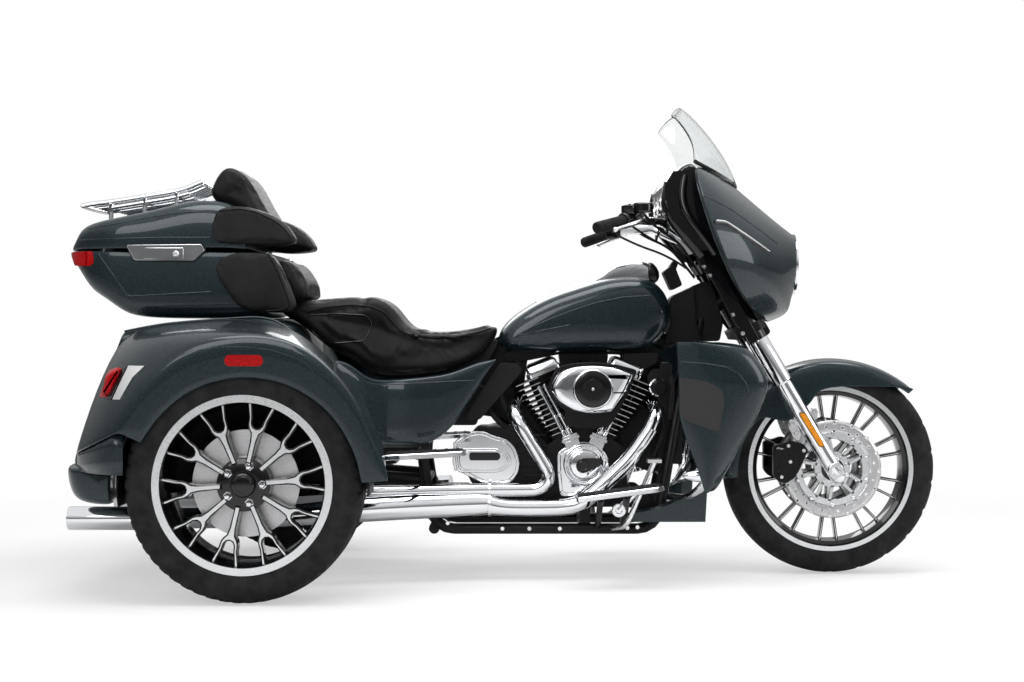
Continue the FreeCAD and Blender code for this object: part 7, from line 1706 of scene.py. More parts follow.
# %% [markdown]
# Each front disc is gripped by a black caliper, bolted to the fork leg, with its pads'
# plates showing. The fender hangs on polished brackets beside it. All of these
# are plates with eased corners, pulled outwards from the disc.

# %% Calipers
CALIPER = [(790, 393), (822, 399), (842, 407), (878, 399), (896, 378), (884, 356), (868, 318),
           (852, 294), (828, 279), (806, 284), (790, 303)]
CALIPER_STEP = [(792, 380), (812, 384), (806, 350), (806, 316), (791, 314)]
PAD_PLATE = [(800, 388), (828, 382), (818, 346), (820, 313), (797, 317), (794, 350)]
BRACKET_LOW = [(866, 402), (876, 426), (858, 470), (842, 472), (834, 456), (850, 416)]
BRACKET_HIGH = [(892, 466), (922, 470), (926, 500), (908, 508), (896, 494)]
for side, out in OUT.items():
    caliper = block("front_caliper_" + side, "steering", cast_black, "engine_black",
                    [(CALIPER, 9, out * 91.5, out * 118),
                     (grown(CALIPER, -16), 9, out * 118, out * 123),
                     (CALIPER_STEP, 5, out * 91.5, out * 127)], (3, 3))
    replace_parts(caliper, "front_calipers")
    block("brake_pad_plates_" + side, "steering", disc_steel, "engine_black",
          [(PAD_PLATE, 5, out * 117, out * 121)])
    block("fender_bracket_" + side, "steering", satin_chrome, "chrome",
          [(outline, 8, out * 104, out * 112) for outline in (BRACKET_LOW, BRACKET_HIGH)], (1.5, 2))
    spots = [(846, 455), (859, 428), (911, 492)]
    bolts("fender_bracket_bolts_" + side, [(x, out * 111, z) for x, z in spots], (0, out, 0), 8, 7,
          "steering", satin_chrome)
    spots = [(840, 344), (834, 392), (814, 299), (880, 378)]
    bolts("caliper_bolts_" + side, [(x, out * 121, z) for x, z in spots], (0, out, 0), 6.5, 5,
          "steering", satin_chrome)
print("calipers made")

# %% [markdown]
# Hands meet the trike at ribbed rubber grips, switch housings, levers and two round
# reservoirs. Everything follows the bar's end, so it is drawn along that line.

# %% Hand controls
BAR_END = Vector((253.8, -430, 1027.6))
BAR_BEND = Vector((341.6, -326.8, 1055.2))
ALONG_BAR = (BAR_BEND - BAR_END).normalized()


def on_bar(along, ahead=0.0, up=0.0):
    """A place by the right grip: how far in from the bar's end, ahead of it and above it."""
    side = ALONG_BAR.cross(Vector((0, 0, 1))).normalized() * -1
    if side.x < 0:
        side = -side
    place = BAR_END + ALONG_BAR * along + side * ahead + Vector((0, 0, 1)) * up
    return tuple(place)


bm = bmesh.new()
grip = [(-14, 0), (-14, 13), (-11, 16.5), (-6, 17), (-2, 17)]
for rib in range(13):
    start = 2 + rib * 8.4
    grip += [(start, 17), (start + 1, 15.6), (start + 2.4, 15.6), (start + 3.4, 17)]
grip += [(112, 17), (113, 13)]
turned(bm, grip, on_bar(0), ALONG_BAR, 36)
grips = finished(bm, "handgrip_right", "steering", rubber, "black_plastic", 35)
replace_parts(grips, "hand_controls")
made = mirrored_twin(grips, "handgrip_left", "steering")
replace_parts(made, "hand_controls")
bm = bmesh.new()
turned(bm, [(112, 13), (112, 21), (116, 24), (146, 24.5), (150, 22), (150, 14)], on_bar(0),
       ALONG_BAR, 32)
turned(bm, [(0, 0), (0, 19), (3, 21), (24, 21), (26, 18), (26, 0)], on_bar(132, 6, 16), (0, 0, 1),
       28)
turned(bm, [(152, 13), (152, 19), (176, 19), (178, 13)], on_bar(0), ALONG_BAR, 32)
turned(bm, [(0, 0), (0, 27), (4, 30), (24, 30), (28, 27), (30, 20), (30, 0)], on_bar(168, 30, 14),
       (0, 0, 1), 36)
bm.from_mesh(tube_mesh([on_bar(150, 6, 2), on_bar(158, 22, 6), on_bar(166, 34, 18)], 13))
for along, up in ((122, 40), (138, 40)):
    turned(bm, [(0, 0), (0, 5), (5, 4.5), (5, 0)], on_bar(along, 6, up), (0, 0, 1), 12)
housing = edged_by(finished(bm, "switch_housing_right", "steering", gloss_black, "black_plastic",
                            35), 1, 2)
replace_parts(housing, "hand_controls")
made = mirrored_twin(housing, "switch_housing_left", "steering")
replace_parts(made, "hand_controls")
bm = bmesh.new()
bm.from_mesh(tube_mesh([on_bar(158, 24, -2), on_bar(146, 46, -4), on_bar(110, 54, -6),
                        on_bar(60, 50, -8), on_bar(10, 52, -10)], 6.5,
                       radii=[1.5, 1.4, 1.1, 0.9, 0.8]))
turned(bm, [(0, 0), (3, 6), (8, 8), (13, 6), (16, 0)], on_bar(14, 52, -10), -ALONG_BAR, 20)
lever = finished(bm, "brake_lever_right", "steering", satin_chrome, "chrome", 45)
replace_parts(lever, "hand_controls")
made = mirrored_twin(lever, "clutch_lever_left", "steering")
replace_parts(made, "hand_controls")
print("hand controls made")

# %% [markdown]
# Two cables run from each grip to the frame head. They are tubes along a few places read
# from the photograph. Flat black plates close the fork between its clamps.

# %% Cables and the black clamp covers
cables = [([on_bar(170, 30, 14), (420, -250, 1040), (500, -170, 1000), (540, -120, 950),
            (575, -92, 900)], 4), ([on_bar(152, -10, -12), (400, -240, 1010), (500, -150, 970),
                                    (548, -90, 930)], 3.5)]
tubes("control_cables", cables, "steering", rubber, "black_plastic", both_sides=True)
COLUMN_COVER = [(548, 1000), (604, 968), (640, 900), (700, 790), (742, 712), (722, 696), (668, 760),
                (610, 872), (560, 940)]
for side, out in OUT.items():
    block("fork_side_plate_" + side, "steering", gloss_black, "frame_black",
          [(COLUMN_COVER, 10, out * 151, out * 156)], (2, 2))
    spots = [(693, 728), (596, 900), (578, 926), (664, 784)]
    bolts("fork_side_bolts_" + side, [(x, out * 155, z) for x, z in spots], (0, out, 0), 7, 5,
          "steering", satin_chrome)
FORK_FOOT = [(704, 786), (770, 764), (788, 732), (750, 698), (726, 730)]
block("lower_fork_cover", "steering", grained_plastic, "black_plastic", [(FORK_FOOT, 8, -80, 80)],
      (6, 3))
print("cables and covers made")

# %% [markdown]
# Things that lie on a skin are found by looking at that skin: a ray from the side meets it
# where the photograph shows the mark. Creases, seams and trims are thin tubes laid there.

# %% Helpers for what lies on a skin
FAR_OUT = 900  # millimetres from the middle plane, outside everything


def skin_of(piece):
    bpy.context.view_layer.update()
    return BVHTree.FromObject(piece, bpy.context.evaluated_depsgraph_get())


def laid(tree, points, side=-1, lift=0.0):
    """Drops (x, z) points from the side onto a skin and lifts them a little off it."""
    placed = []
    for x, z in points:
        spot, normal, _, _ = tree.ray_cast(mm(x, side * FAR_OUT, z), Vector((0, -side, 0)))
        if spot is not None:
            if normal.y * side < 0:
                normal = -normal
            placed.append(tuple((spot + normal * lift / 1000) * 1000))
    return placed


def filled_in(points, gap=18):
    """The same line with more points, so that it can hug a curved skin."""
    made = []
    for (x, z), (x2, z2) in zip(points, points[1:]):
        steps = max(1, round(math.dist((x, z), (x2, z2)) / gap))
        made += [(x + (x2 - x) * step / steps, z + (z2 - z) * step / steps)
                 for step in range(steps)]
    return made + [points[-1]]


def line_on(name, piece, points, radius, material, body, slot, both=True, lift=0.0):
    """A thin tube laid on a skin, on both sides of the trike or on its right alone."""
    tree = skin_of(piece)
    runs = [(laid(tree, filled_in(points), side, lift), radius)
            for side in ((-1, 1) if both else (-1,))]
    return tubes(name, [run for run in runs if len(run[0]) > 2], body, material, slot)


print("skin helpers ready")

# %% [markdown]
# A bright strip lies in a dark slot on each flank of the fairing, and a rubber seal runs
# down its rear edge. They are tubes sunk into the skin or lifted off it a little.

# %% Fairing trim
line_on("fairing_light_slot", fairing, [(584, 1046), (616, 1044), (640, 1031), (700, 995),
                                        (758, 963)], 6.5, gloss_black, "steering", "black_plastic",
        lift=-2)
line_on("fairing_light_strip", fairing, [(588, 1049), (616, 1048), (640, 1035), (700, 999),
                                         (755, 967)], 2.6, disc_steel, "steering", "chrome", lift=4)
line_on("fairing_edge_seal", fairing, [(541, 1210), (540, 1172), (556, 1098), (580, 1020),
                                       (616, 930), (662, 852), (712, 802)], 3.2, rubber, "steering",
        "black_plastic", lift=0)
print("fairing trim made")

# %% [markdown]
# The lid closes with a long chromed latch on the right, with a round lock. The rack on top
# is bent from round rod: rails along the lid, bars across them and short feet.

# %% Latch, lock and rack
LATCH = [(-1106, 984), (-889, 986), (-878, 968), (-911, 938), (-1082, 940)]
latch_face = -291.5
LATCH_HANDLE = oblong(-1052, 976, -940, 944)
latch = block("case_latch_plate", "case_lid", [grained_plastic, chrome], "chrome",
              [(grown(LATCH, 3.5), 7, latch_face + 4, latch_face - 1.5),
               (LATCH, 6, latch_face, latch_face - 4.5, 1),
               (LATCH_HANDLE, 4, latch_face - 4, latch_face - 7, 1)], (1, 2))
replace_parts(latch, "case_latch")
bm = bmesh.new()
turned(bm, [(0, 9), (2, 9), (3.5, 7.5), (3.5, 5), (2, 4.5), (2, 0)], (-962, -298, 958), (0, -1, 0),
       28)
finished(bm, "case_lock", "case_lid", satin_chrome, "chrome", 35)
RAIL = [(-1266, 1106), (-1240, 1112), (-1180, 1118), (-1080, 1134), (-990, 1148), (-950, 1160),
        (-920, 1174), (-908, 1178)]
RACK_HALF = 158
runs = []
for y, drop, radius in ((RACK_HALF, 0, 7.5), (118, 4, 6), (60, 6, 5.5), (20, 6, 5.5)):
    for side in (-1, 1):
        runs.append(([(x, y * side, z - drop) for x, z in RAIL[(0 if y == RACK_HALF else 1):]],
                     radius))
        runs.append(([(x, y * side, z - drop - 17) for x, z in RAIL[2:-2]], radius * 0.8))
for x, z in ((RAIL[0][0] + 2, RAIL[0][1]), (-1180, 1112), (-1080, 1128), (-985, 1142),
             (-910, 1174)):
    runs.append(([(x, -RACK_HALF, z), (x - 4, -80, z - 1), (x - 4, 80, z - 1), (x, RACK_HALF, z)],
                 6.5))
for x, top, foot in ((-1180, 1112, 1052), (-1080, 1130, 1072), (-985, 1144, 1094)):
    for side in (-1, 1):
        foot_run = [(x, RACK_HALF * side, top), (x, 157 * side, (top + foot) / 2),
                    (x, 154 * side, foot)]
        runs.append((foot_run, 7))
rack = tubes("luggage_rack_rails", runs, "case_lid", chrome, "chrome")
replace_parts(rack, "luggage_rack")
print("latch and rack made")

# %% [markdown]
# A deep red lamp closes each rear corner of the body, with a clear part at its front. It is
# a slanted outline bridged across the corner, rounded at both ends.

# %% Tail lamps
bm = bmesh.new()
TAIL = [(-1106, 560), (-1092, 622), (-1066, 638), (-1044, 638), (-1052, 604), (-1070, 562)]
for side in (-1, 1):
    rings = [ring_of(bm, [(x, y * side, z) for x, z in grown(eased(TAIL, 10), -shrink)])
             for y, shrink in ((-506, 9), (-510, 3), (-520, 0), (-610, 0), (-624, 4), (-631, 12))]
    for first, second in zip(rings, rings[1:]):
        bmesh.ops.bridge_loops(bm, edges=first + second)
    for ring in (rings[0], rings[-1]):
        bmesh.ops.contextual_create(bm, geom=ring)
for face in bm.faces:
    if face.calc_center_median().x > -1.045:
        face.material_index = 1
tail_lens = finished(bm, "tail_lamp_lenses", "chassis", [red_lens, clear_lens], "red_lens", 40)
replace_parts(tail_lens, "tail_lamps")
print("lamps made")

# %% [markdown]
# The rider's places: a chromed guard with a teardrop peg ahead of each leg, and boards
# with a bright rim round a ribbed rubber mat.

# %% Guard, pegs and boards
GUARD = [(470, -112, 240), (500, -170, 240), (522, -236, 246), (556, -300, 282), (576, -330, 326),
         (584, -331, 380), (588, -326, 420), (586, -290, 456), (572, -200, 486), (558, -104, 504)]
guard = tubes("leg_guard_tubes", [(GUARD, 13)], "chassis", chrome, "chrome", both_sides=True)
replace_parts(guard, "engine_guards")
bm = bmesh.new()
for side in (-1, 1):
    turned(bm, [(0, 0), (0, 13), (8, 17), (24, 19), (52, 18), (74, 13), (88, 6), (92, 0)],
           (588, 336 * side, 322), (-1, 0, -0.02), 28)
pegs = finished(bm, "highway_pegs", "chassis", chrome, "chrome", 45)
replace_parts(pegs, "engine_guards")


def foot_board(name, length, start, lean, cad_node):
    """A board with its bright rim, its mat and the ribs of the mat."""
    plan = eased([(0, 8), (18, 0), (length - 20, 0), (length, 14), (length, 78), (length - 26, 103),
                  (20, 103), (0, 90)], 14)
    bm = bmesh.new()
    stepped(bm, plan, [(0, 3), (2, 0), (13, 0), (15, 2)])
    stepped(bm, grown(plan, -8), [(13, 0), (17, 0), (18, 1)], 1)
    for rib in range(7):
        far = 18 + rib * (length - 42) / 6
        stepped(bm, [(far - 5, 18), (far + 5, 18), (far + 5, 86), (far - 5, 86)],
                [(17.5, 0), (20, 1.5)], 1)
    bmesh.ops.rotate(bm, cent=(0, 0, 0), matrix=Matrix.Rotation(math.radians(-lean), 3, "Y"),
                     verts=bm.verts)
    bmesh.ops.translate(bm, vec=mm(*start), verts=bm.verts)
    board = finished(bm, name + "_right", "chassis", [chrome, rubber], "black_plastic", 35)
    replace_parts(board, cad_node)
    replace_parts(mirrored_twin(board, name + "_left", "chassis"), cad_node)


foot_board("rider_board", 254, (190, -411, 249), 7.5, "rider_boards")
foot_board("passenger_board", 234, (-355, -464, 373), 3, "passenger_boards")
arms = [([(337, -150, 150), (337, -250, 205), (337, -355, 262)], 10),
        ([(262, -146, 150), (262, -250, 200), (262, -352, 254)], 9),
        ([(-262, -150, 384), (-262, -260, 380), (-262, -372, 378)], 9)]
tubes("board_arms", arms, "chassis", cast_black, "frame_black", both_sides=True)
print("boards made")

# %% [markdown]
# The oil cooler stands ahead of the engine: thin level fins between two end tanks. The fins
# are a loop of thin plates, and a plain slab inside them stands for the core.

# %% Oil cooler
FIN_PLATES = [(oblong(492, level, 517, level + 2.2), 0, -88, 88) for level in range(337, 468, 7)]
END_TANK = oblong(490, 336, 519, 468)
cooler = block("oil_cooler_core", "chassis", cast_black, "engine_black",
               FIN_PLATES + [(END_TANK, 4, -101, -86), (END_TANK, 4, 86, 101),
                             (oblong(498, 340, 508, 464), 0, -90, 90)])
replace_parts(cooler, "oil_cooler")
print("oil cooler made")

# %% [markdown]
# Five nuts round a black cap hold each rear wheel, and its brake disc and bell show between
# the spokes. All are profiles turned about the axle's line; a nut is turned in six steps.

# %% Hub caps, nuts and rear brake discs
for side, hub in REAR_HUB.items():
    out = OUT[side]
    bm = bmesh.new()
    turned(bm, [(0, 34), (6, 34), (10, 31), (12, 24), (14, 22), (15, 14), (15, 0)],
           (hub[0], hub[1] + out * 78, hub[2]), (0, out, 0), 40)
    finished(bm, "hub_cap_" + side, "rear_wheel_" + side, gloss_black, "alloy", 35)
    bm = bmesh.new()
    for nut in range(5):
        turn = math.radians(72 * nut + 18)
        place = (hub[0] + 52 * math.sin(turn), hub[1] + out * 74, hub[2] + 52 * math.cos(turn))
        turned(bm, [(0, 0), (0, 12), (3, 12), (3, 9.5), (15, 9.5), (19, 7), (20, 0)], place,
               (0, out, 0), 6)
    finished(bm, "wheel_nuts_" + side, "rear_wheel_" + side, chrome, "chrome", 25)
    bm = bmesh.new()
    place = (hub[0], hub[1] + out * 18, hub[2])
    turned(bm, [(0, 72), (0, 146), (9, 146), (9, 72), (0, 72)], place, (0, out, 0), 72)
    turned(bm, [(4, 20), (4, 70), (-30, 74), (-30, 20)], place, (0, out, 0), 48, 1)
    finished(bm, "rear_brake_disc_" + side, "rear_wheel_" + side, [disc_steel, cast_black], "alloy",
             35)
print("hubs made")

# %% [markdown]
# Behind the bright parts a real engine bay is full of black ones: the tray under the tank,
# the intake, coils, hoses and struts. They are simple rounded castings, but without them
# the daylight would show through where the real trike is dark.

# %% Black parts round the engine
TRAY = [(-20, 668), (-10, 640), (60, 646), (150, 664), (320, 664), (430, 650), (462, 676),
        (440, 690), (60, 690)]
INTAKE = [(150, 668), (158, 610), (176, 590), (276, 590), (292, 610), (300, 668)]
COIL_BOX = [(340, 668), (350, 628), (410, 620), (446, 640), (448, 672)]
block("under_tank_tray", "chassis", cast_black, "engine_black",
      [(TRAY, 8, -46, 46), (INTAKE, 10, -62, 62), (COIL_BOX, 10, -86, -40), (COIL_BOX, 10, 40, 86)],
      (4, 2))
STRUT = [(-28, 640), (20, 640), (42, 620), (26, 599), (-88, 470), (-128, 470), (-128, 488)]
HEAD_STRUT = [(414, 600), (420, 560), (452, 520), (470, 540), (486, 600), (462, 622), (430, 622)]
struts = []
for out in (-1, 1):
    struts += [(STRUT, 9, out * 104, out * 128), (HEAD_STRUT, 9, out * 52, out * 92)]
block("seat_strut_covers", "chassis", grained_plastic, "black_plastic", struts, (5, 3))
bm = bmesh.new()
for out in (-1, 1):
    turned(bm, [(0, 0), (0, 20), (6, 24), (30, 24), (36, 18), (36, 0)], (440, out * 84, 566),
           (0.3, out, 0), 28)
    turned(bm, [(10, 24), (12, 27), (18, 27), (20, 24)], (440, out * 84, 566), (0.3, out, 0), 28, 1)
finished(bm, "breather_caps", "chassis", [cast_black, chrome], "engine_black", 35)
HOSES = [([(30, -70, 640), (-10, -90, 600), (-30, -96, 560), (-20, -96, 520), (4, -92, 480)], 11),
         ([(-60, -80, 500), (-40, -92, 470), (-10, -96, 446), (30, -98, 436)], 9),
         ([(470, -60, 640), (486, -90, 600), (490, -104, 540), (480, -104, 470)], 9),
         ([(452, -84, 520), (462, -110, 470), (456, -118, 420), (430, -116, 360)], 7)]
tubes("engine_hoses", HOSES, "chassis", rubber, "black_plastic", both_sides=True)
BATTERY = [(-190, 452), (-96, 452), (-96, 470), (-60, 500), (-60, 560), (-110, 590), (-190, 560)]
block("battery_tray", "chassis", cast_black, "engine_black",
      [(BATTERY, 14, -98, 98), (oblong(-216, 210, -120, 262), 10, -118, 118)], (5, 2))
print("engine bay filled")

# %% [markdown]
# Below the engine lie the oil pan with its cooling ribs and the two plates that bolt the
# engine to the frame. They are outlines pulled across, with the ribs as thin plates.

# %% Engine mounts and lower castings
SUMP = [(-110, 214), (96, 206), (330, 206), (372, 232), (372, 262), (330, 300), (108, 280),
        (-110, 268)]
SUMP_RIBS = [(oblong(x, 210, x + 7, 262), 0, -98, 98) for x in range(-90, 330, 26)]
block("oil_pan", "chassis", cast_black, "engine_black", [(SUMP, 12, -92, 92)] + SUMP_RIBS, (4, 2))
MOUNT = [(356, 214), (430, 160), (460, 182), (452, 214), (392, 262), (360, 262)]
block("engine_mount_plates", "chassis", cast_black, "frame_black",
      [(MOUNT, 8, out * 120, out * 134) for out in (-1, 1)], (3, 2))
bolts("engine_mount_bolts", [(x, -133, z) for x, z in ((374, 246), (376, 226), (436, 182))],
      (0, -1, 0), 7, 6, "chassis", satin_chrome)
bolts("frame_bolts", [(x, -165, z) for x, z in ((-182, 166), (-20, 150), (60, 150), (150, 150),
                                                (320, 152), (350, 152), (380, 154))], (0, -1, 0), 7,
      6, "chassis", satin_chrome)
print("lower castings made")

# %% [markdown]
# The panels' pressed creases catch a line of light. A subdivided skin is too soft for them,
# so each is a thin lacquered line laid on its panel. The first table is for panels that lie
# on both sides of one skin, the second for panels that have a twin.

# %% Body creases
CREASES = [("fairing_upper_crease", fairing, "steering", 1.6,
            [(545, 1124), (576, 1116), (634, 1090), (721, 1036), (790, 992)]),
           ("tank_crease", tank, "chassis", 2.0, [(16, 718), (60, 744), (120, 770), (190, 797),
                                                  (260, 820), (340, 836), (420, 840)]),
           ("lid_lower_bead", lid, "case_lid", 1.6, [(-1250, 1000), (-1180, 1002), (-1100, 1004),
                                                     (-1000, 1006), (-900, 1006), (-866, 1006)]),
           ("lid_crease", lid, "case_lid", 1.8, [(-1226, 1032), (-1150, 1044), (-1060, 1062),
                                                 (-960, 1078), (-880, 1082)]),
           ("case_crease", base, "chassis", 1.6, [(-1189, 960), (-1101, 836), (-862, 849)]),
           ("front_fender_crease", front_fender, "steering", 1.6,
            [(831, 615), (868, 625), (905, 632), (961, 636), (1018, 630), (1075, 616),
             (1149, 578)])]
for name, skin, body, radius, points in CREASES:
    line_on(name, skin, points, radius, teal_lacquer, body, "paint", lift=0.2)
TWIN_CREASES = [("leg_shield_crease_", lower_right, 2.0, 0.3,
                 [(490, 648), (561, 643), (620, 633), (652, 616), (676, 585), (686, 548)]),
                ("fender_crease_", fender_right, 1.8, -1.5, [(-1030, 705), (-960, 722), (-880, 734),
                                                             (-780, 742), (-700, 742), (-640, 728),
                                                             (-590, 700), (-540, 650),
                                                             (-500, 600)]),
                ("fender_flank_crease_", fender_right, 1.9, -1.7,
                 [(-1039, 468), (-1004, 560), (-945, 628), (-900, 660), (-844, 684), (-770, 695),
                  (-693, 694), (-630, 686), (-567, 665), (-520, 638), (-477, 606)]),
                ("side_cover_crease_", cover_right, 1.7, 0.3,
                 [(-462, 636), (-426, 603), (-396, 583), (-346, 580), (-290, 582), (-232, 584),
                  (-160, 588), (-104, 590)])]
for name, skin, radius, lift, points in TWIN_CREASES:
    crease = line_on(name + "right", skin, points, radius, teal_lacquer, "chassis", "paint",
                     both=False, lift=lift)
    mirrored_twin(crease, name + "left", "chassis")
bead = [(-1080, 434, 735), (-997, 436, 753), (-894, 436, 764), (-790, 436, 771), (-694, 436, 777),
        (-640, 436, 759), (-606, 436, 732)]
tubes("trunk_edge_bead", [(bead, 3)], "chassis", teal_lacquer, "paint", both_sides=True)
print("creases laid")

# %% [markdown]
# Upholstery is finished with piping: a cord sewn into the seam where the side panel meets
# the top. Here it is laid on the swollen cover, so it follows the leather as it really is.

# %% Piping and seat panels
SEAT_WELT = [(-600, 792), (-540, 806), (-470, 812), (-410, 808), (-372, 792), (-346, 764),
             (-322, 738), (-290, 722), (-230, 714), (-160, 718), (-96, 730), (-56, 742)]
line_on("seat_piping", seat, SEAT_WELT, 3.0, leather, "chassis", "leather", lift=1)
SEAT_PANEL = [(-590, 784), (-500, 786), (-424, 782), (-406, 764), (-414, 730), (-432, 706),
              (-500, 700), (-548, 702), (-590, 740), (-590, 784)]
line_on("seat_panel_seam", seat, SEAT_PANEL, 2.6, gloss_black, "chassis", "leather", lift=0)
ARM_WELT = [(-836, 1082), (-780, 1088), (-730, 1078), (-680, 1056), (-646, 1030), (-630, 1006)]
FLANK_WELT = [(-700, 958), (-684, 940), (-664, 900), (-644, 850), (-632, 816), (-650, 798),
              (-700, 793)]
for side, out in OUT.items():
    for name, welt, body in (("armrest_", ARM_WELT, "case_lid"),
                             ("side_pad_", FLANK_WELT, "chassis")):
        run = laid(skin_of(bpy.data.objects[name + side]), filled_in(welt), out, 1)
        tubes(name + "piping_" + side, [(run, 2.6)], body, leather, "leather")
print("piping sewn")

# %% [markdown]
# Lenses, doors and plates let into a skin follow its curve. Each is a side outline and a
# few smaller copies of it, dropped onto the skin and bridged, with its rim turned inward.

# %% Plates that follow a skin
SUNK = -2.5  # how far a plate's rim lies under the skin


def plate_on(bm, tree, outline, side, lift, index):
    """Adds a thin plate that hugs a skin inside a side outline."""
    mark = len(bm.faces)
    walk = filled_in(outline + [outline[0]], 9)[:-1]
    middle = [sum(place) / len(walk) for place in zip(*walk)]
    rings = [ring_of(bm, laid(tree, walk, side, SUNK))]
    for share in (1, 0.74, 0.48, 0.22):
        spots = [(middle[0] + (x - middle[0]) * share, middle[1] + (z - middle[1]) * share) for x,
                 z in walk]
        rings.append(ring_of(bm, laid(tree, spots, side, lift)))
    for first, second in zip(rings, rings[1:]):
        bmesh.ops.bridge_loops(bm, edges=first + second)
    bmesh.ops.contextual_create(bm, geom=rings[-1])
    bm.faces.ensure_lookup_table()
    for made in bm.faces[mark:]:
        made.material_index = index


def plates(name, skins, outlines, body, materials, slot, lift):
    """One piece of plates on both sides; each outline comes with its material's index."""
    bm = bmesh.new()
    for side, skin in zip((-1, 1), skins):
        tree = skin_of(skin)
        for outline, index in outlines:
            plate_on(bm, tree, outline, side, lift, index)
    return finished(bm, name, body, materials, slot, 40)


print("plate helpers ready")

# %% Lenses and doors let in
charcoal = plain("charcoal_plastic", (0.035, 0.033, 0.033), 0.55)
varied(charcoal, 60, 4, 0.46, 0.66)
MARKER = eased(oblong(-757, 643, -655, 673), 14)
markers = plates("side_marker_lenses", (fender_right, fender_left), [(MARKER, 0)], "chassis",
                 red_lens, "red_lens", 0.3)
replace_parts(markers, "side_markers")
LAMP_PARTS = [([(-1118, 556), (-1104, 592), (-1074, 592), (-1090, 556)], 0),
              ([(-1102, 598), (-1092, 632), (-1054, 632), (-1070, 598)], 0),
              ([(-1088, 552), (-1050, 636), (-1030, 638), (-1068, 552)], 1),
              ([(-1064, 552), (-1024, 642), (-974, 642), (-1006, 612), (-1040, 552)], 2)]
plates("tail_lamp_bezels", (fender_right, fender_left), LAMP_PARTS, "chassis",
       [red_lens, gloss_black, satin_chrome], "red_lens", 3)
CASE_LAMP = eased([(-1286, 966), (-1206, 966), (-1202, 934), (-1214, 924), (-1258, 924),
                   (-1280, 946)], 5)
plates("case_lamp_wraps", (base, base), [(CASE_LAMP, 0)], "chassis", red_lens, "red_lens", 2)
POCKET = eased([(478, 604), (555, 595), (604, 572), (614, 538), (598, 446), (500, 482), (478, 512)],
               16)
plates("leg_shield_pocket_doors", (lower_right, lower_left), [(POCKET, 0)], "chassis", charcoal,
       "black_plastic", 1.2)
print("plates let in")

# %% [markdown]
# The fairing's inside faces the rider: black, with a stack of rounded pods at each side,
# round gauges over a flat screen and a speaker grille each side. A cowl closes the gap
# behind the clear screen, and a rubber strip runs along the screen's foot.

# %% Inner fairing
NEAR_POD = [(470, 232, 1166), (461, 236, 1130), (463, 238, 1090), (482, 240, 1054),
            (524, 238, 1006), (566, 230, 958)]
FAR_POD = [(512, 250, 1188), (502, 256, 1146), (506, 262, 1098), (526, 268, 1056), (566, 270, 1008),
           (600, 262, 960)]
tubes("inner_fairing_pods", [(NEAR_POD, 19), (FAR_POD, 13)], "steering", gloss_black, "frame_black",
      both_sides=True)
COWL = [(478, 1196), (500, 1220), (527, 1233), (546, 1226), (562, 1200), (542, 1178), (492, 1178)]
layered("instrument_cowl", both_ways([(0, COWL), (190, COWL), (228, grown(COWL, -4)),
                                      (238, grown(COWL, -12))]), "steering", gloss_black,
        "black_plastic", 1)
foot_line = [(x, y, z + 4) for x, y, z in FAIRING_EDGE[:4]]
tubes("screen_foot_strip", [([(x, -y, z) for x, y, z in reversed(foot_line[1:])] + foot_line, 6)],
      "steering", rubber, "black_plastic")
inner_tree = skin_of(bpy.data.objects["fairing_inner"])


def facing_rider(y, z):
    """Where the fairing's inside meets a ray from the rider; dials are tilted up a little."""
    spot = inner_tree.ray_cast(mm(0, y, z), Vector((1, 0, 0)))[0]
    return spot * 1000, Vector((-1, 0, 0.12))


bm = bmesh.new()
for y, z, radius in ((-58, 1128, 44), (58, 1128, 44), (-150, 1136, 27), (150, 1136, 27)):
    spot, way = facing_rider(y, z)
    turned(bm, [(-8, radius), (0, radius), (2, radius - 2), (2, radius - 5), (-2, radius - 7)],
           spot, way, 36)
    turned(bm, [(-1, radius - 6), (-1, 0)], spot, way, 36, 1)
    turned(bm, [(-1, 4), (1, 3.5), (1, 0)], spot, way, 12)
for y in (-186, 186):
    spot, way = facing_rider(y, 1062)
    for ring in range(5):
        turned(bm, [(0, 46 - ring * 9), (5, 45 - ring * 9), (5, 42 - ring * 9), (0, 41 - ring * 9)],
               spot, way, 36, 2)
finished(bm, "gauges_and_speakers", "steering", [satin_chrome, gloss_black, grained_plastic],
         "chrome", 35)
print("inner fairing made")

# %% [markdown]
# Dark covers hide the frame head, the coils, the wiring and the cooler's ducts, as the
# photograph shows black there and no daylight. A switch box sits at the neck, a black cap
# ends the console, and the brake pedal has its boss and arm. None of them turns.

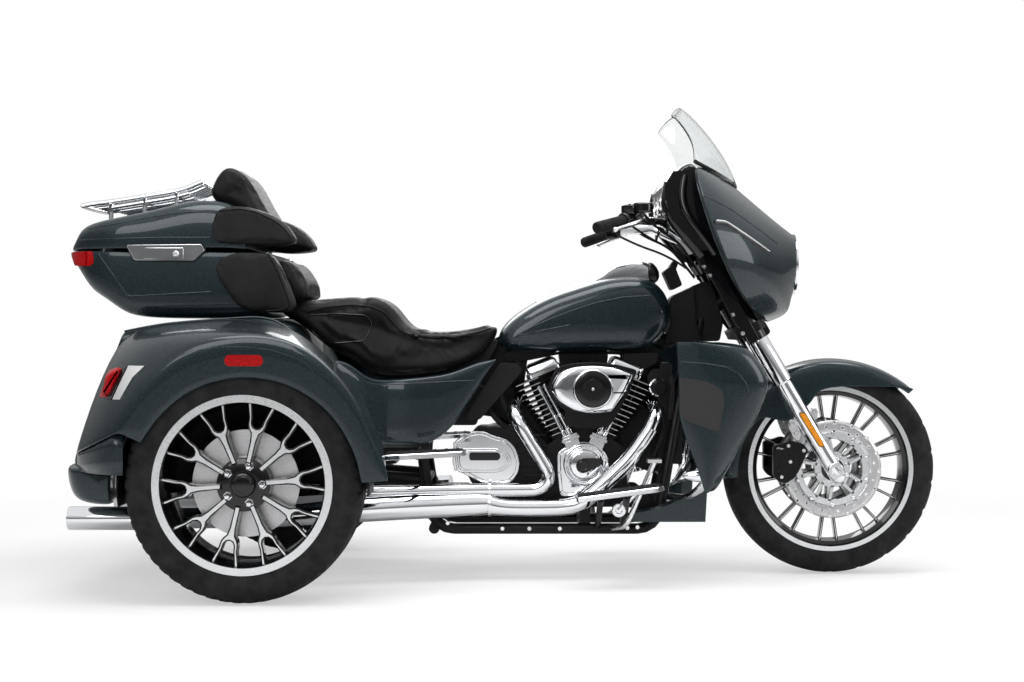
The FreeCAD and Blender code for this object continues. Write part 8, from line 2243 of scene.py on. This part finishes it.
# %% Head covers
COIL = [(-120, 560), (-60, 692), (60, 680), (44, 560), (62, 520), (104, 456), (160, 372), (60, 372),
        (16, 440), (-20, 470), (-100, 480)]
HARNESS = [(300, 372), (372, 330), (440, 300), (476, 360), (476, 650), (430, 668), (404, 600),
           (372, 520)]
NECK = [([(468, 700), (580, 702), (566, 760), (560, 872), (488, 838), (484, 800), (490, 760)], 10,
         -50, 50), ([(540, 702), (640, 704), (650, 760), (622, 860), (600, 888), (548, 868)], 10,
                    -30, 30), (COIL, 8, -24, 24), (HARNESS, 8, -24, 24),
        ([(446, 300), (484, 296), (488, 420), (488, 640), (452, 640), (444, 520)], 10, -96, 96)]
block("neck_and_cooler_covers", "chassis", cast_black, "frame_black", NECK, (5, 2))
SWITCH_BOX = [([(466, 914), (500, 938), (526, 874), (492, 857)], 8, -36, 36),
              ([(486, 930), (500, 950), (514, 940), (506, 918)], 4, -24, 24)]
block("neck_switch_box", "chassis", cast_black, "frame_black", SWITCH_BOX, (3, 2))
CAP_END = [(412, 950), (438, 945), (460, 915), (456, 884), (430, 872), (412, 880)]
layered("console_end_cap", both_ways([(0, CAP_END), (30, CAP_END), (42, grown(CAP_END, -5)),
                                      (46, grown(CAP_END, -13))]), "chassis", gloss_black,
        "black_plastic", 1, 50)
bm = bmesh.new()
turned(bm, [(0, 0), (0, 20), (10, 20), (12, 18), (12, 10), (9, 9), (9, 0)], (317, -296, 218),
       (0, -1, 0), 32)
edged_by(finished(bm, "brake_pedal_boss", "chassis", chrome, "chrome", 35), 0.8, 2)
tubes("brake_pedal_arm", [([(317, -300, 218), (336, -302, 240), (356, -312, 262)], 10)], "chassis",
      chrome, "chrome")
print("head covers made")

# %% [markdown]
# The skirt carries the fender's rear edge down to the valance, behind the tyre.

# %% Rear skirts
bm = bmesh.new()
edge = fender_section(FENDER_INNER[0], FENDER_OUTER[0])[:6] + [(-1040, -682, 446)]
skin_over(bm, [[(x + 7, y * 0.992, z + 16 + (334 - z) * share) for x, y, z in edge]
               for share in (0, 0.34, 0.67, 1)], closed=False, capped=False)
skirt = finished(bm, "rear_skirt_right", "chassis", teal_lacquer, "paint", 60)
thickened(skirt, 3)
mirrored_twin(skirt, "rear_skirt_left", "chassis")
print("skirts made")

# %% [markdown]
# The leather seat is stretched over a moulded black pan, whose edge shows under it.

# %% Seat pan
PAN = [(-430, 600), (-300, 588), (-180, 590), (-100, 616), (-60, 648), (-30, 704), (-56, 712),
       (-110, 668), (-190, 640), (-290, 630), (-420, 644)]
block("seat_pan", "chassis", grained_plastic, "black_plastic", [(PAN, 8, -66, 66)], (4, 2))
print("seat pan made")

# %% [markdown]
